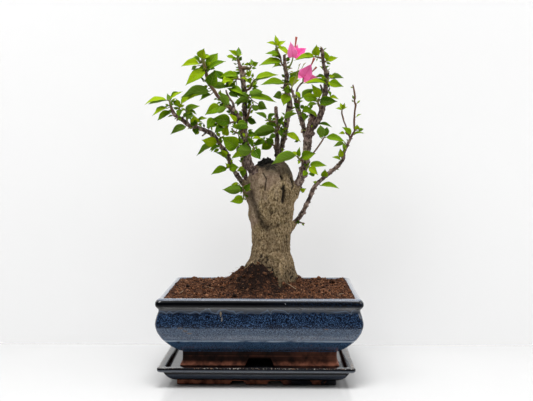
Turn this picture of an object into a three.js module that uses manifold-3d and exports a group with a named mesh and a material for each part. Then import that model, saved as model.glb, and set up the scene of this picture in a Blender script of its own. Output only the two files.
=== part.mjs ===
// A bougainvillea bonsai: a stout old trunk with young leafy branches and two flowers, planted in
// a glazed rectangular pot that stands on its drip tray.
// Millimetres, +Z up, origin on the table under the middle of the pot, front of the pot towards -Y.
import * as THREE from 'three';
import { mergeVertices } from 'three/addons/utils/BufferGeometryUtils.js';
import Module from 'manifold-3d';

const wasm = await Module();
wasm.setup();

// ---------------------------------------------------------------- driving dimensions
const GAP = 0.3; // between pieces that touch
const FINE_WELD = 1e-4; // corners nearer than this are one corner
const COARSE_WELD = 1e-3;

const TRAY_LENGTH = 250;
const TRAY_DEPTH = 180;
const TRAY_CORNER = 10;
const TRAY_OFFSET_X = -4; // the tray sits a little to the left of the pot
const TRAY_RIM_Z = 27;
const TRAY_RIM_WIDTH = 10;
const TRAY_EDGE_HEIGHT = 5;
const TRAY_FLOOR_Z = 21.5;
const TRAY_FLOOR_THICKNESS = 8;
const TRAY_FOOT_INSET = 22;
const TRAY_FOOT_HEIGHT = 7;
const TRAY_FOOT_WIDTH = 12;
const TRAY_NOTCH_SPACING = 48;
const TRAY_NOTCH_WIDTH = 24;
const TRAY_NOTCH_HEIGHT = 5.5;

const POT_LENGTH = 260;
const POT_DEPTH = 190;
const POT_HEIGHT = 94;
const POT_CORNER = 14;
const POT_WALL = 9;
const POT_FLOOR_Z = 28; // inner floor above the foot
const POT_CEILING_Z = 19; // underside of the floor above the foot
const POT_FOOT_INSET = 29; // from the rim
const POT_FOOT_WIDTH = 13;
const POT_ARCH_WIDTH = 42;
const POT_ARCH_TOP_WIDTH = 28;
const POT_ARCH_HEIGHT = 12;
const DRAIN_SPACING = 110;
const DRAIN_DIAMETER = 22;
const DRAIN_SIDES = 16;
const MESH_SIZE = 34;
const MESH_THICKNESS = 1;
const MESH_HOLE = 7;
const MESH_PITCH = 10.3;

const SOIL_EDGE_Z = 114;
const SOIL_BOTTOM_Z = 51.6;
const TRUNK_FOOT_Z = 92;

const LEAF_THICKNESS = 1;
const PETIOLE_RADIUS = 0.8;

// The tree is set out on a front sighting grid. A station gives its grid column, its grid row and
// its depth behind the middle of the pot in millimetres. The eye of the grid and its aim are here.
const EYE = new THREE.Vector3(26, -1047, 288.5);
const EYE_YAW = THREE.MathUtils.degToRad(1.0);
const EYE_PITCH = THREE.MathUtils.degToRad(2.94);
const GRID_REACH = 770; // grid units at unit distance
const GRID_COLUMN = 266.5; // column and row that the eye aims at
const GRID_ROW = 200.5;

const AIM = new THREE.Vector3(
  -Math.sin(EYE_YAW) * Math.cos(EYE_PITCH),
  Math.cos(EYE_YAW) * Math.cos(EYE_PITCH),
  -Math.sin(EYE_PITCH)
);
const RIGHTWARD = new THREE.Vector3(Math.cos(EYE_YAW), Math.sin(EYE_YAW), 0);
const UPWARD = new THREE.Vector3().crossVectors(RIGHTWARD, AIM);

// ---------------------------------------------------------------- materials
const finish = (color, roughness, metalness = 0) =>
  new THREE.MeshStandardMaterial({ color, roughness, metalness });
const GLAZE = finish(0x141c2e, 0.15);
const PLASTIC = finish(0x2b2b2b, 0.6);
const SOIL = finish(0x5a3420, 1);
const OLD_BARK = finish(0x6d5d45, 0.95);
const YOUNG_BARK = finish(0x54423b, 0.85);
const WOUND_PASTE = finish(0x121110, 0.7);
const LEAF = finish(0x4f7d16, 0.5);
const BRACT = finish(0xe0559a, 0.6);

// ---------------------------------------------------------------- stations and sight lines
function sighted(column, row, depth) {
  const ray = new THREE.Vector3()
    .addScaledVector(RIGHTWARD, column - GRID_COLUMN)
    .addScaledVector(UPWARD, GRID_ROW - row)
    .addScaledVector(AIM, GRID_REACH);
  return EYE.clone().addScaledVector(ray, (depth - EYE.y) / ray.y);
}

function gridSize(depth) {
  return (depth - EYE.y) / GRID_REACH; // millimetres in one grid unit at this depth
}

// ---------------------------------------------------------------- solids
function toSolid(geometry, weld = FINE_WELD) {
  geometry.deleteAttribute('normal');
  geometry.deleteAttribute('uv');
  const welded = mergeVertices(geometry, weld);
  return new wasm.Manifold(
    new wasm.Mesh({
      numProp: 3,
      vertProperties: new Float32Array(welded.attributes.position.array),
      triVerts: new Uint32Array(welded.index.array)
    })
  );
}

function toGeometry(solid) {
  const mesh = solid.getMesh();
  const geometry = new THREE.BufferGeometry();
  geometry.setAttribute('position', new THREE.BufferAttribute(mesh.vertProperties, 3));
  geometry.setIndex(new THREE.BufferAttribute(mesh.triVerts, 1));
  geometry.computeVertexNormals();
  return geometry;
}

function joined(solids) {
  return solids.reduce((whole, solid) => whole.add(solid));
}

function largestBody(solid) {
  const bodies = solid.decompose();
  return bodies.reduce((best, body) => (body.volume() > best.volume() ? body : best));
}

function boxesMeet(a, b) {
  const p = a.boundingBox();
  const q = b.boundingBox();
  return [0, 1, 2].every((k) => p.min[k] <= q.max[k] && q.min[k] <= p.max[k]);
}

// A closed body through rings of equally many points, each counter-clockwise about the way from
// the first ring to the last.
function loft(rings) {
  const sides = rings[0].length;
  const levels = rings.length - 1;
  const geometry = new THREE.CylinderGeometry(1, 1, 1, sides, levels);
  const position = geometry.attributes.position;
  const corner = new THREE.Vector3();
  for (let i = 0; i < position.count; i++) {
    corner.fromBufferAttribute(position, i);
    const ring = rings[Math.round((corner.y + 0.5) * levels)];
    const turn = Math.atan2(corner.x, corner.z) / (2 * Math.PI);
    const side = Math.round((turn + 1) * sides) % sides;
    const point = Math.hypot(corner.x, corner.z) < 0.5 ? middle(ring) : ring[side];
    position.setXYZ(i, point.x, point.y, point.z);
  }
  return geometry;
}

function middle(points) {
  const sum = points.reduce((total, point) => total.add(point), new THREE.Vector3());
  return sum.divideScalar(points.length);
}

// ---------------------------------------------------------------- rectangular ware
const CORNER_STEPS = 3;

const SHARPEST_CORNER = 3;
const CORNER_SHRINK = 0.35; // corner radius lost for each millimetre of inset

// A rounded rectangle set in from an outline of the given length, depth and corner.
function insetRing(length, depth, corner, inset, z) {
  const radius = Math.max(corner - inset * CORNER_SHRINK, SHARPEST_CORNER);
  return roundedRing(length - 2 * inset, depth - 2 * inset, radius, z);
}

function roundedRing(length, depth, corner, z) {
  const ring = [];
  const centres = [[1, 1], [-1, 1], [-1, -1], [1, -1]];
  centres.forEach(([sx, sy], quarter) => {
    for (let step = 0; step <= CORNER_STEPS; step++) {
      const angle = (quarter + step / CORNER_STEPS) * (Math.PI / 2);
      ring.push(
        new THREE.Vector3(
          sx * (length / 2 - corner) + corner * Math.cos(angle),
          sy * (depth / 2 - corner) + corner * Math.sin(angle),
          z
        )
      );
    }
  });
  return ring;
}

// Ware of one rounded rectangle per level: [inset from the outline, height].
function ware(length, depth, corner, levels) {
  return loft(levels.map(([inset, z]) => insetRing(length, depth, corner, inset, z)));
}

// A slot through the front and back walls, wide at the bottom and narrower at the top.
function archSlot(x, width, topWidth, bottom, top, run) {
  const outline = new THREE.Shape([
    new THREE.Vector2(-width / 2, bottom),
    new THREE.Vector2(width / 2, bottom),
    new THREE.Vector2(topWidth / 2, top),
    new THREE.Vector2(-topWidth / 2, top)
  ]);
  const slot = new THREE.ExtrudeGeometry(outline, { depth: run, bevelEnabled: false });
  slot.rotateX(Math.PI / 2);
  return slot.translate(x, run / 2, 0);
}

function makeTray() {
  const underRim = TRAY_RIM_Z - TRAY_EDGE_HEIGHT;
  const body = toSolid(
    ware(TRAY_LENGTH, TRAY_DEPTH, TRAY_CORNER, [
      [TRAY_FOOT_INSET, 0],
      [TRAY_FOOT_INSET, TRAY_FOOT_HEIGHT - 1],
      [TRAY_FOOT_INSET - 4, TRAY_FOOT_HEIGHT],
      [TRAY_FOOT_INSET - 11, TRAY_FOOT_HEIGHT + 6],
      [7, underRim - 4],
      [6.5, underRim - 1.5],
      [8, underRim - 0.8],
      [1, underRim],
      [0, underRim + 1],
      [0, TRAY_RIM_Z - 1],
      [1, TRAY_RIM_Z]
    ])
  );
  const well = toSolid(
    ware(TRAY_LENGTH, TRAY_DEPTH, TRAY_CORNER, [
      [TRAY_RIM_WIDTH + 2.5, TRAY_FLOOR_Z],
      [TRAY_RIM_WIDTH + 0.8, TRAY_FLOOR_Z + 1],
      [TRAY_RIM_WIDTH, TRAY_RIM_Z + 1]
    ])
  );
  const footInset = TRAY_FOOT_INSET + TRAY_FOOT_WIDTH;
  const hollow = toSolid(
    ware(TRAY_LENGTH, TRAY_DEPTH, TRAY_CORNER, [
      [footInset, -1],
      [footInset, TRAY_FLOOR_Z - TRAY_FLOOR_THICKNESS - 2],
      [footInset + 2, TRAY_FLOOR_Z - TRAY_FLOOR_THICKNESS]
    ])
  );
  const notches = [-0.5, 0.5].map((side) =>
    toSolid(
      archSlot(
        side * TRAY_NOTCH_SPACING,
        TRAY_NOTCH_WIDTH,
        TRAY_NOTCH_WIDTH * 0.6,
        -1,
        TRAY_NOTCH_HEIGHT,
        TRAY_DEPTH
      )
    )
  );
  return [well, hollow, ...notches].reduce((tray, cut) => tray.subtract(cut), body);
}

// Pot outline from the foot upwards: [inset from the rim, height above the foot].
const POT_PROFILE = [
  [POT_FOOT_INSET, 0],
  [POT_FOOT_INSET - 1.5, 1.2],
  [POT_FOOT_INSET - 1.5, 4],
  [POT_FOOT_INSET + 1, 6.5],
  [POT_FOOT_INSET + 1.5, 20],
  [POT_FOOT_INSET + 1, 22],
  [24, 25.5],
  [17.5, 30.5],
  [11.5, 36.5],
  [6, 44],
  [2.2, 50.5],
  [0.3, 58],
  [0, 63],
  [1.5, 71],
  [3.3, 77.5],
  [3.2, 80],
  [0.8, 84],
  [0, 87],
  [0.6, 90.5],
  [2.8, 93],
  [6, POT_HEIGHT]
];

function makePot() {
  const body = toSolid(ware(POT_LENGTH, POT_DEPTH, POT_CORNER, POT_PROFILE));
  const cavity = toSolid(
    ware(POT_LENGTH, POT_DEPTH, POT_CORNER, [
      [38, POT_FLOOR_Z],
      [30, 35],
      [20, 42],
      [13, 52],
      [POT_WALL + 1, 65],
      [POT_WALL + 1.5, 80],
      [POT_WALL, POT_HEIGHT - 1],
      [POT_WALL - 1.5, POT_HEIGHT + 1]
    ])
  );
  const footInset = POT_FOOT_INSET + POT_FOOT_WIDTH;
  const hollow = toSolid(
    ware(POT_LENGTH, POT_DEPTH, POT_CORNER, [
      [footInset, -1],
      [footInset, POT_CEILING_Z - 3],
      [footInset + 3, POT_CEILING_Z]
    ])
  );
  const arch = toSolid(
    archSlot(0, POT_ARCH_WIDTH, POT_ARCH_TOP_WIDTH, -1, POT_ARCH_HEIGHT, POT_DEPTH)
  );
  const drains = [-0.5, 0.5].map((side) => {
    const radius = DRAIN_DIAMETER / 2;
    const drain = new THREE.CylinderGeometry(radius, radius, POT_FLOOR_Z, DRAIN_SIDES);
    drain.rotateX(Math.PI / 2).translate(side * DRAIN_SPACING, 0, POT_FLOOR_Z);
    return toSolid(drain);
  });
  return [cavity, hollow, arch, ...drains].reduce((pot, cut) => pot.subtract(cut), body);
}

function makeDrainMesh() {
  const block = (size, height, x, y) => {
    const box = new THREE.BoxGeometry(size, size, height);
    return toSolid(box.translate(x, y, MESH_THICKNESS / 2));
  };
  let plate = block(MESH_SIZE, MESH_THICKNESS, 0, 0);
  for (const i of [-1, 0, 1]) {
    for (const j of [-1, 0, 1]) {
      plate = plate.subtract(block(MESH_HOLE, 2 * MESH_THICKNESS, i * MESH_PITCH, j * MESH_PITCH));
    }
  }
  return plate;
}

// ---------------------------------------------------------------- soil
// Mounds on the soil: [height, x, y, spread along x, spread along y].
const SOIL_MOUNDS = [
  [16, 14, -2, 52, 46], // round the trunk
  [17, -24, 4, 20, 24], // the shoulder at its left
  [29, -2, -31, 28, 19], // the bank against its front
  [6, -62, 12, 30, 40],
  [7, 50, 4, 9, 20]
];

function soilHeight(x, y) {
  return SOIL_MOUNDS.reduce(
    (z, [height, moundX, moundY, spreadX, spreadY]) =>
      z + height * Math.exp(-(((x - moundX) / spreadX) ** 2) - ((y - moundY) / spreadY) ** 2),
    SOIL_EDGE_Z
  );
}

const SOIL_RING_SHRINK = [0.97, 0.8, 0.64, 0.5, 0.38, 0.27, 0.14];

function makeSoil() {
  const clear = POT_WALL + GAP;
  const wall = [
    [39, SOIL_BOTTOM_Z],
    [31.5, 57.5],
    [21.2, 64.5],
    [14.2, 74],
    [clear + 1.6, 88],
    [clear + 2, 104],
    [clear + 1.6, SOIL_EDGE_Z - 2]
  ];
  const rings = wall.map(([inset, z]) => insetRing(POT_LENGTH, POT_DEPTH, POT_CORNER, inset, z));
  const edge = rings[rings.length - 1];
  for (const shrink of SOIL_RING_SHRINK) {
    rings.push(
      edge.map((point) => {
        const x = point.x * shrink;
        const y = point.y * shrink;
        return new THREE.Vector3(x, y, soilHeight(x, y));
      })
    );
  }
  return toSolid(loft(rings));
}

// ---------------------------------------------------------------- wood
// A round limb through stations of { point, radius }, swollen by grow.
function limb(stations, sides, grow = 0) {
  const side = new THREE.Vector3();
  const rings = stations.map(({ point, radius }, i) => {
    const before = stations[Math.max(i - 1, 0)].point;
    const after = stations[Math.min(i + 1, stations.length - 1)].point;
    const along = after.clone().sub(before).normalize();
    if (i === 0) side.set(0.3, -1, 0.2);
    side.addScaledVector(along, -side.dot(along)).normalize();
    const other = new THREE.Vector3().crossVectors(along, side);
    const end = i === 0 ? -grow : i === stations.length - 1 ? grow : 0;
    const ring = [];
    for (let k = 0; k < sides; k++) {
      const angle = (2 * Math.PI * k) / sides;
      ring.push(
        point
          .clone()
          .addScaledVector(along, end)
          .addScaledVector(side, (radius + grow) * Math.cos(angle))
          .addScaledVector(other, (radius + grow) * Math.sin(angle))
      );
    }
    return ring;
  });
  return toSolid(loft(rings));
}

const LIMB_SIDES = 6;
const TWIG_SIDES = 4;

function stationsOf(path) {
  return path.map(([column, row, depth, radius]) => ({
    point: sighted(column, row, depth),
    radius
  }));
}

// Trunk outline on the sighting grid: [row, left column, right column, half depth in mm].
const TRUNK_OUTLINE = [
  [282, 238, 299.5, 40],
  [272, 242, 296, 36],
  [266, 245, 294, 32],
  [261, 248, 292.5, 29.5],
  [254, 251, 290.3, 26.5],
  [244, 252.2, 289.8, 25],
  [234, 251.5, 290.5, 25],
  [224, 250.5, 292.3, 27],
  [216, 248.2, 293.3, 28],
  [207, 248.6, 294, 29.5],
  [199, 245.6, 294.6, 31],
  [193, 244.8, 298, 32],
  [187, 245.4, 299, 32],
  [181, 247, 294, 31],
  [175, 249, 292.6, 29],
  [169, 252.5, 290.2, 25.5],
  [165, 257, 287.8, 20.5],
  [162.5, 262, 285.6, 15]
];
const TRUNK_SIDES = 16;
const TRUNK_LOBES = 5; // faint flutes round the old trunk
const LOBE_DEPTH = 0.035;
const SMOOTH_BARK_ROW = 200; // the flutes are fainter above this row

function makeTrunkCore(grow) {
  const levels = TRUNK_OUTLINE.map(([row, left, right, halfDepth]) => ({
    from: sighted(left, row, 0),
    to: sighted(right, row, 0),
    halfDepth,
    lobe: row > SMOOTH_BARK_ROW ? LOBE_DEPTH : LOBE_DEPTH * 0.4
  }));
  const foot = levels[0];
  levels.unshift({
    ...foot,
    from: foot.from.clone().setZ(TRUNK_FOOT_Z),
    to: foot.to.clone().setZ(TRUNK_FOOT_Z)
  });
  const rings = levels.map(({ from, to, halfDepth, lobe }, level) => {
    const centre = from.clone().add(to).multiplyScalar(0.5);
    const halfWidth = from.distanceTo(to) / 2;
    const lift = level === 0 ? -grow : level === levels.length - 1 ? grow : 0;
    const ring = [];
    for (let k = 0; k < TRUNK_SIDES; k++) {
      const angle = (2 * Math.PI * k) / TRUNK_SIDES;
      const flute = 1 - lobe * (1 - Math.cos(TRUNK_LOBES * angle)) * Math.abs(Math.sin(angle));
      ring.push(
        new THREE.Vector3(
          centre.x + (halfWidth * flute + grow) * Math.cos(angle),
          centre.y + (halfDepth * flute + grow) * Math.sin(angle),
          centre.z + lift
        )
      );
    }
    return ring;
  });
  return toSolid(loft(rings));
}

// Surface roots: [column, row, depth, radius] from the trunk outwards and down into the soil.
const ROOTS = [
  [[280, 255, -20, 6], [281.5, 268, -31, 4.6], [281, 279, -38, 4], [280, 290, -44, 3]],
  [[262, 256, -18, 7], [254, 270, -30, 6], [247, 283, -36, 5], [238, 294, -40, 3]],
  [[290, 258, 0, 6], [297, 271, -6, 5], [304, 284, -10, 4], [312, 296, -12, 2.5]],
  [[268, 262, 20, 8], [264, 276, 34, 6], [258, 290, 44, 4], [252, 300, 50, 3]]
];

// Stubs on the trunk: the old cut knob at the left and the torn spur at the right shoulder.
const TRUNK_STUBS = [
  [[251, 192, -8, 6], [247.5, 192.3, -12, 4.8], [245.2, 192.6, -14, 3.6]],
  [[291.5, 190, -4, 6], [293.2, 183.5, -6, 3.2], [293.8, 181.8, -7, 1.8]]
];

function makeTrunk(grow = 0) {
  const limbs = [...ROOTS, ...TRUNK_STUBS].map((path) => limb(stationsOf(path), LIMB_SIDES, grow));
  return joined([makeTrunkCore(grow), ...limbs]);
}

// The black crust of sealing paste over the big cut at the top of the trunk.
const CRUST_CENTRE = [266.8, 165.5, -4];
const CRUST_RADIUS = 12.5;
const CRUST_RINGS = [[1.02, -7], [1.1, -3], [1.0, 2], [0.72, 6.2], [0.45, 8.4], [0.2, 9.3]];
const CRUST_SIDES = 12;

function makeCrust(grow = 0) {
  const centre = sighted(...CRUST_CENTRE);
  const lastLevel = CRUST_RINGS.length - 1;
  const rings = CRUST_RINGS.map(([spread, rise], level) => {
    const ring = [];
    for (let k = 0; k < CRUST_SIDES; k++) {
      const angle = (2 * Math.PI * k) / CRUST_SIDES;
      const lump = 1 + 0.09 * Math.sin(3 * angle + level) + 0.06 * Math.cos(5 * angle - level);
      const radius = CRUST_RADIUS * spread * lump + grow;
      const lift = level === lastLevel ? grow : 0;
      ring.push(
        new THREE.Vector3(
          centre.x + radius * Math.cos(angle),
          centre.y + radius * Math.sin(angle),
          centre.z + rise + lift + 0.8 * Math.sin(4 * angle + 2 * level)
        )
      );
    }
    return ring;
  });
  return toSolid(loft(rings));
}

// Branches, each a list of [column, row, depth, radius] from the trunk outwards, with their spurs
// (short cut stubs, knots and bud bases) and the few small leaves that sit straight on the wood.
const BRANCHES = {
  branch_left_low: {
    path: [
      [250, 188, -2, 3.6], [244, 183.5, -3, 3.4], [238, 177, -6, 3.1], [233, 168.5, -9, 2.9],
      [229, 159, -13, 2.9], [226, 152, -17, 2.8], [221, 146.5, -21, 2.7], [217, 139.5, -25, 2.8],
      [211, 133.2, -28, 3.2], [206, 131, -31, 3], [200, 128.5, -34, 2.8], [195, 127, -36, 2.8],
      [190, 126, -38, 2.8], [187, 124, -40, 2.7], [183, 120.5, -42, 2.6], [178.5, 117, -44, 2.5],
      [174.5, 114.3, -46, 2.4], [172, 110, -48, 2.2]
    ],
    spurs: [
      [[207, 131.5, -31, 1.6], [204.5, 134, -31, 1.1], [202, 136, -30, 0.7]],
      [[178.5, 117, -44, 1.8], [177.5, 120, -45, 1.2]]
    ],
    leaves: [
      [185.6, 126.4, 170.5, 134.5, 6, 8, 'b'], [196, 128.4, 195.4, 134.6, 6, -7, 'd']
    ]
  },
  branch_front_left: {
    path: [
      [258, 182, -14, 6], [253.5, 173.5, -19, 5.8], [249.5, 166, -22, 5.4], [248, 160, -24, 5],
      [247, 153, -26, 4.8], [246, 146, -28, 4.6], [245, 138, -30, 4.5], [243.5, 131, -32, 4.4],
      [241, 124, -34, 4.2], [237.2, 117, -36, 4], [233.4, 110.5, -39, 3.6], [229, 106.8, -41, 2.8],
      [225, 104, -43, 2.2], [221.5, 100, -45, 2], [217.5, 96.3, -47, 2]
    ],
    spurs: [
      [[234.5, 112, -39, 2], [232.8, 103, -42, 1.5], [229.5, 98.5, -43, 1.4], [227.2, 94.2, -44, 1.3],
        [226, 90.2, -44, 1]],
      [[253, 170, -22, 2], [255.5, 166.3, -25, 1.6]]
    ]
  },
  branch_back_left: {
    path: [
      [252, 190, 8, 3.2], [246.5, 182, 14, 2.9], [245, 172, 18, 2.8], [243.6, 164, 20, 2.8],
      [243.4, 152, 24, 3], [244, 140, 27, 3.3], [244.8, 129, 30, 3.4], [245, 118, 32, 3.5],
      [244.8, 107, 34, 3.4], [244.4, 96, 36, 3.4], [243.8, 88, 37, 3.3], [243, 81, 38, 3.2],
      [242.8, 76, 39, 3.8], [241.5, 71.5, 40, 3.5], [240, 66, 41, 2.8]
    ],
    spurs: [[[244, 115, 28, 1.6], [243.6, 119, 26, 1.2]]]
  },
  branch_middle_stub: {
    path: [
      [279.5, 168, 4, 3.6], [277.8, 157, 4, 3.4], [276.9, 148, 3, 3.2], [277, 138, 2, 3],
      [276.8, 126, 1, 2.8], [276.2, 115, 0, 2.6], [275.9, 107.2, -1, 2.6]
    ],
    spurs: [[[276.8, 149.5, 3, 2], [274, 147.2, 1, 1.5]]]
  },
  branch_middle: {
    path: [
      [282.5, 168, 16, 3.8], [280.4, 155, 17, 3.5], [282.4, 144, 17, 3.4], [284.6, 135, 17, 3.3],
      [286.6, 124, 16, 3.2], [287.6, 115, 15, 3.4], [289.3, 108, 14, 3.8], [289.8, 102.5, 13, 3.8],
      [288.6, 97, 12, 3.2], [287, 92.5, 11, 3.2], [286.2, 87, 10, 3.4], [286.4, 81, 9, 3],
      [286.7, 76, 8, 2.9], [285.6, 71, 8, 2.6], [285, 65, 7, 2.4], [284.3, 55.4, 6, 2.1]
    ],
    spurs: [
      [[290, 108, 14, 2], [292.6, 108.6, 12, 1.2]],
      [[286, 88, 9, 2.4], [283.8, 87.4, 6, 2]]
    ],
    leaves: [[283, 129, 288.3, 128.5, 2.6, -6, 'y'], [281, 150, 285, 149.6, 3, -7, 'y']]
  },
  branch_right: {
    path: [
      [292, 193, -6, 6.4], [298, 184, -9, 5.6], [301.8, 175, -12, 5.3], [304.4, 166.5, -14, 5],
      [305.9, 158, -16, 5], [306.9, 148, -18, 5], [308, 139, -19, 5.6], [310.2, 130, -20, 5.6],
      [312, 122.5, -21, 5.4], [313.3, 116, -22, 4.4]
    ],
    spurs: [
      [[297.5, 184, -10, 2.6], [297.3, 180, -13, 1.8], [297.6, 177.2, -14, 1]],
      [[303, 128, -16, 1.6], [301.6, 132.5, -18, 1.4]]
    ],
    leaves: [[301, 191.2, 306.3, 188.4, 4.6, -6, 'y']]
  },
  branch_right_inner: {
    path: [
      [307, 138, -12, 4], [304.2, 130, -12, 3.3], [302.4, 123, -12, 2.9], [300.4, 116.5, -12, 2.8],
      [298.2, 110.5, -12, 3.1], [296.7, 104.5, -13, 2.9], [295.4, 99.5, -14, 2.2],
      [293, 93.8, -15, 1.7], [291.4, 88.5, -16, 1.3]
    ],
    spurs: [
      [[296, 101, -14, 1.6], [296.8, 91, -18, 1.2], [298.4, 87, -20, 1.2], [301.2, 83.6, -22, 1.1],
        [303, 82.4, -23, 1]],
      [[298.5, 107, -13, 1.6], [299.6, 100.5, -17, 1.1]]
    ]
  },
  branch_right_tall: {
    path: [
      [312, 127.5, -21, 4.2], [316.2, 122.8, -26, 4], [319.6, 117.8, -29, 3.8],
      [321.8, 111, -32, 3.7], [323.2, 104.5, -35, 3.5], [324.2, 98, -37, 3.3],
      [325.2, 91.5, -39, 3], [326, 84.5, -41, 2.9], [326.6, 76.5, -43, 3.2], [326, 71, -44, 3],
      [323.8, 65.5, -46, 2.3], [322.8, 58, -47, 2.2], [322.6, 53, -48, 2.4], [321, 47.8, -49, 1.5]
    ],
    spurs: [
      [[322, 52, -48, 1.6], [319.3, 50.2, -49, 1]],
      [[326.2, 95, -38, 1.4], [328.2, 91.6, -36, 1.2], [329.6, 88.3, -35, 0.9]],
      [[324, 94, -38, 1.6], [321.8, 88.4, -42, 1.4], [320.4, 85, -44, 1.1]]
    ],
    leaves: [
      [318.6, 124, 332, 127.2, 3.4, -6, 'd'], [324.5, 69.5, 329.8, 65.8, 2, -4, 'g'],
      [322.8, 69.4, 319.5, 66, 1.6, -5, 'y'], [328.5, 91, 330.6, 97, 2.6, -5, 'g']
    ]
  },
  branch_right_low: {
    path: [
      [287, 231, 8, 4.4], [291.6, 226.4, 12, 3.8], [296.6, 220.6, 16, 3.3], [301.6, 214.2, 20, 3],
      [305.6, 206, 25, 3], [309.6, 198, 29, 2.9], [312.6, 190.4, 32, 2.9], [316.4, 184.4, 35, 2.8],
      [321.4, 179.8, 38, 2.7], [326.6, 175.2, 41, 2.7], [332.6, 170.2, 44, 2.7],
      [337.4, 166.4, 46, 2.8], [341, 162, 48, 2.5], [343.2, 158.8, 49, 2.5],
      [343.8, 153, 50, 2.4], [346.4, 147, 51, 2.2], [348.6, 142.2, 52, 2], [350.9, 137.6, 53, 1.9]
    ],
    spurs: [
      [[306, 205.4, 25, 1.8], [304.6, 203.4, 23, 1]],
      [[313.6, 189, 32, 1.8], [312.3, 188, 30, 1]],
      [[337.8, 166.4, 46, 1.8], [336.8, 164, 45, 1]],
      [[298, 222, 14, 1.2], [304.6, 223.4, 8, 0.8]],
      [[326.6, 175.2, 41, 2], [330, 174.2, 38, 1.4]]
    ],
    leaves: [
      [296.8, 220.6, 299, 224.4, 3.6, -7, 'd'], [302.4, 223.4, 304, 225.8, 2, -2, 'g'],
      [317, 182.8, 312.8, 181.8, 3, -4, 'y'], [320.8, 185.6, 339.2, 188.6, 4.6, -7, 'g'],
      [324, 177, 325, 169, 6.6, -8, 'g']
    ]
  }
};

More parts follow.
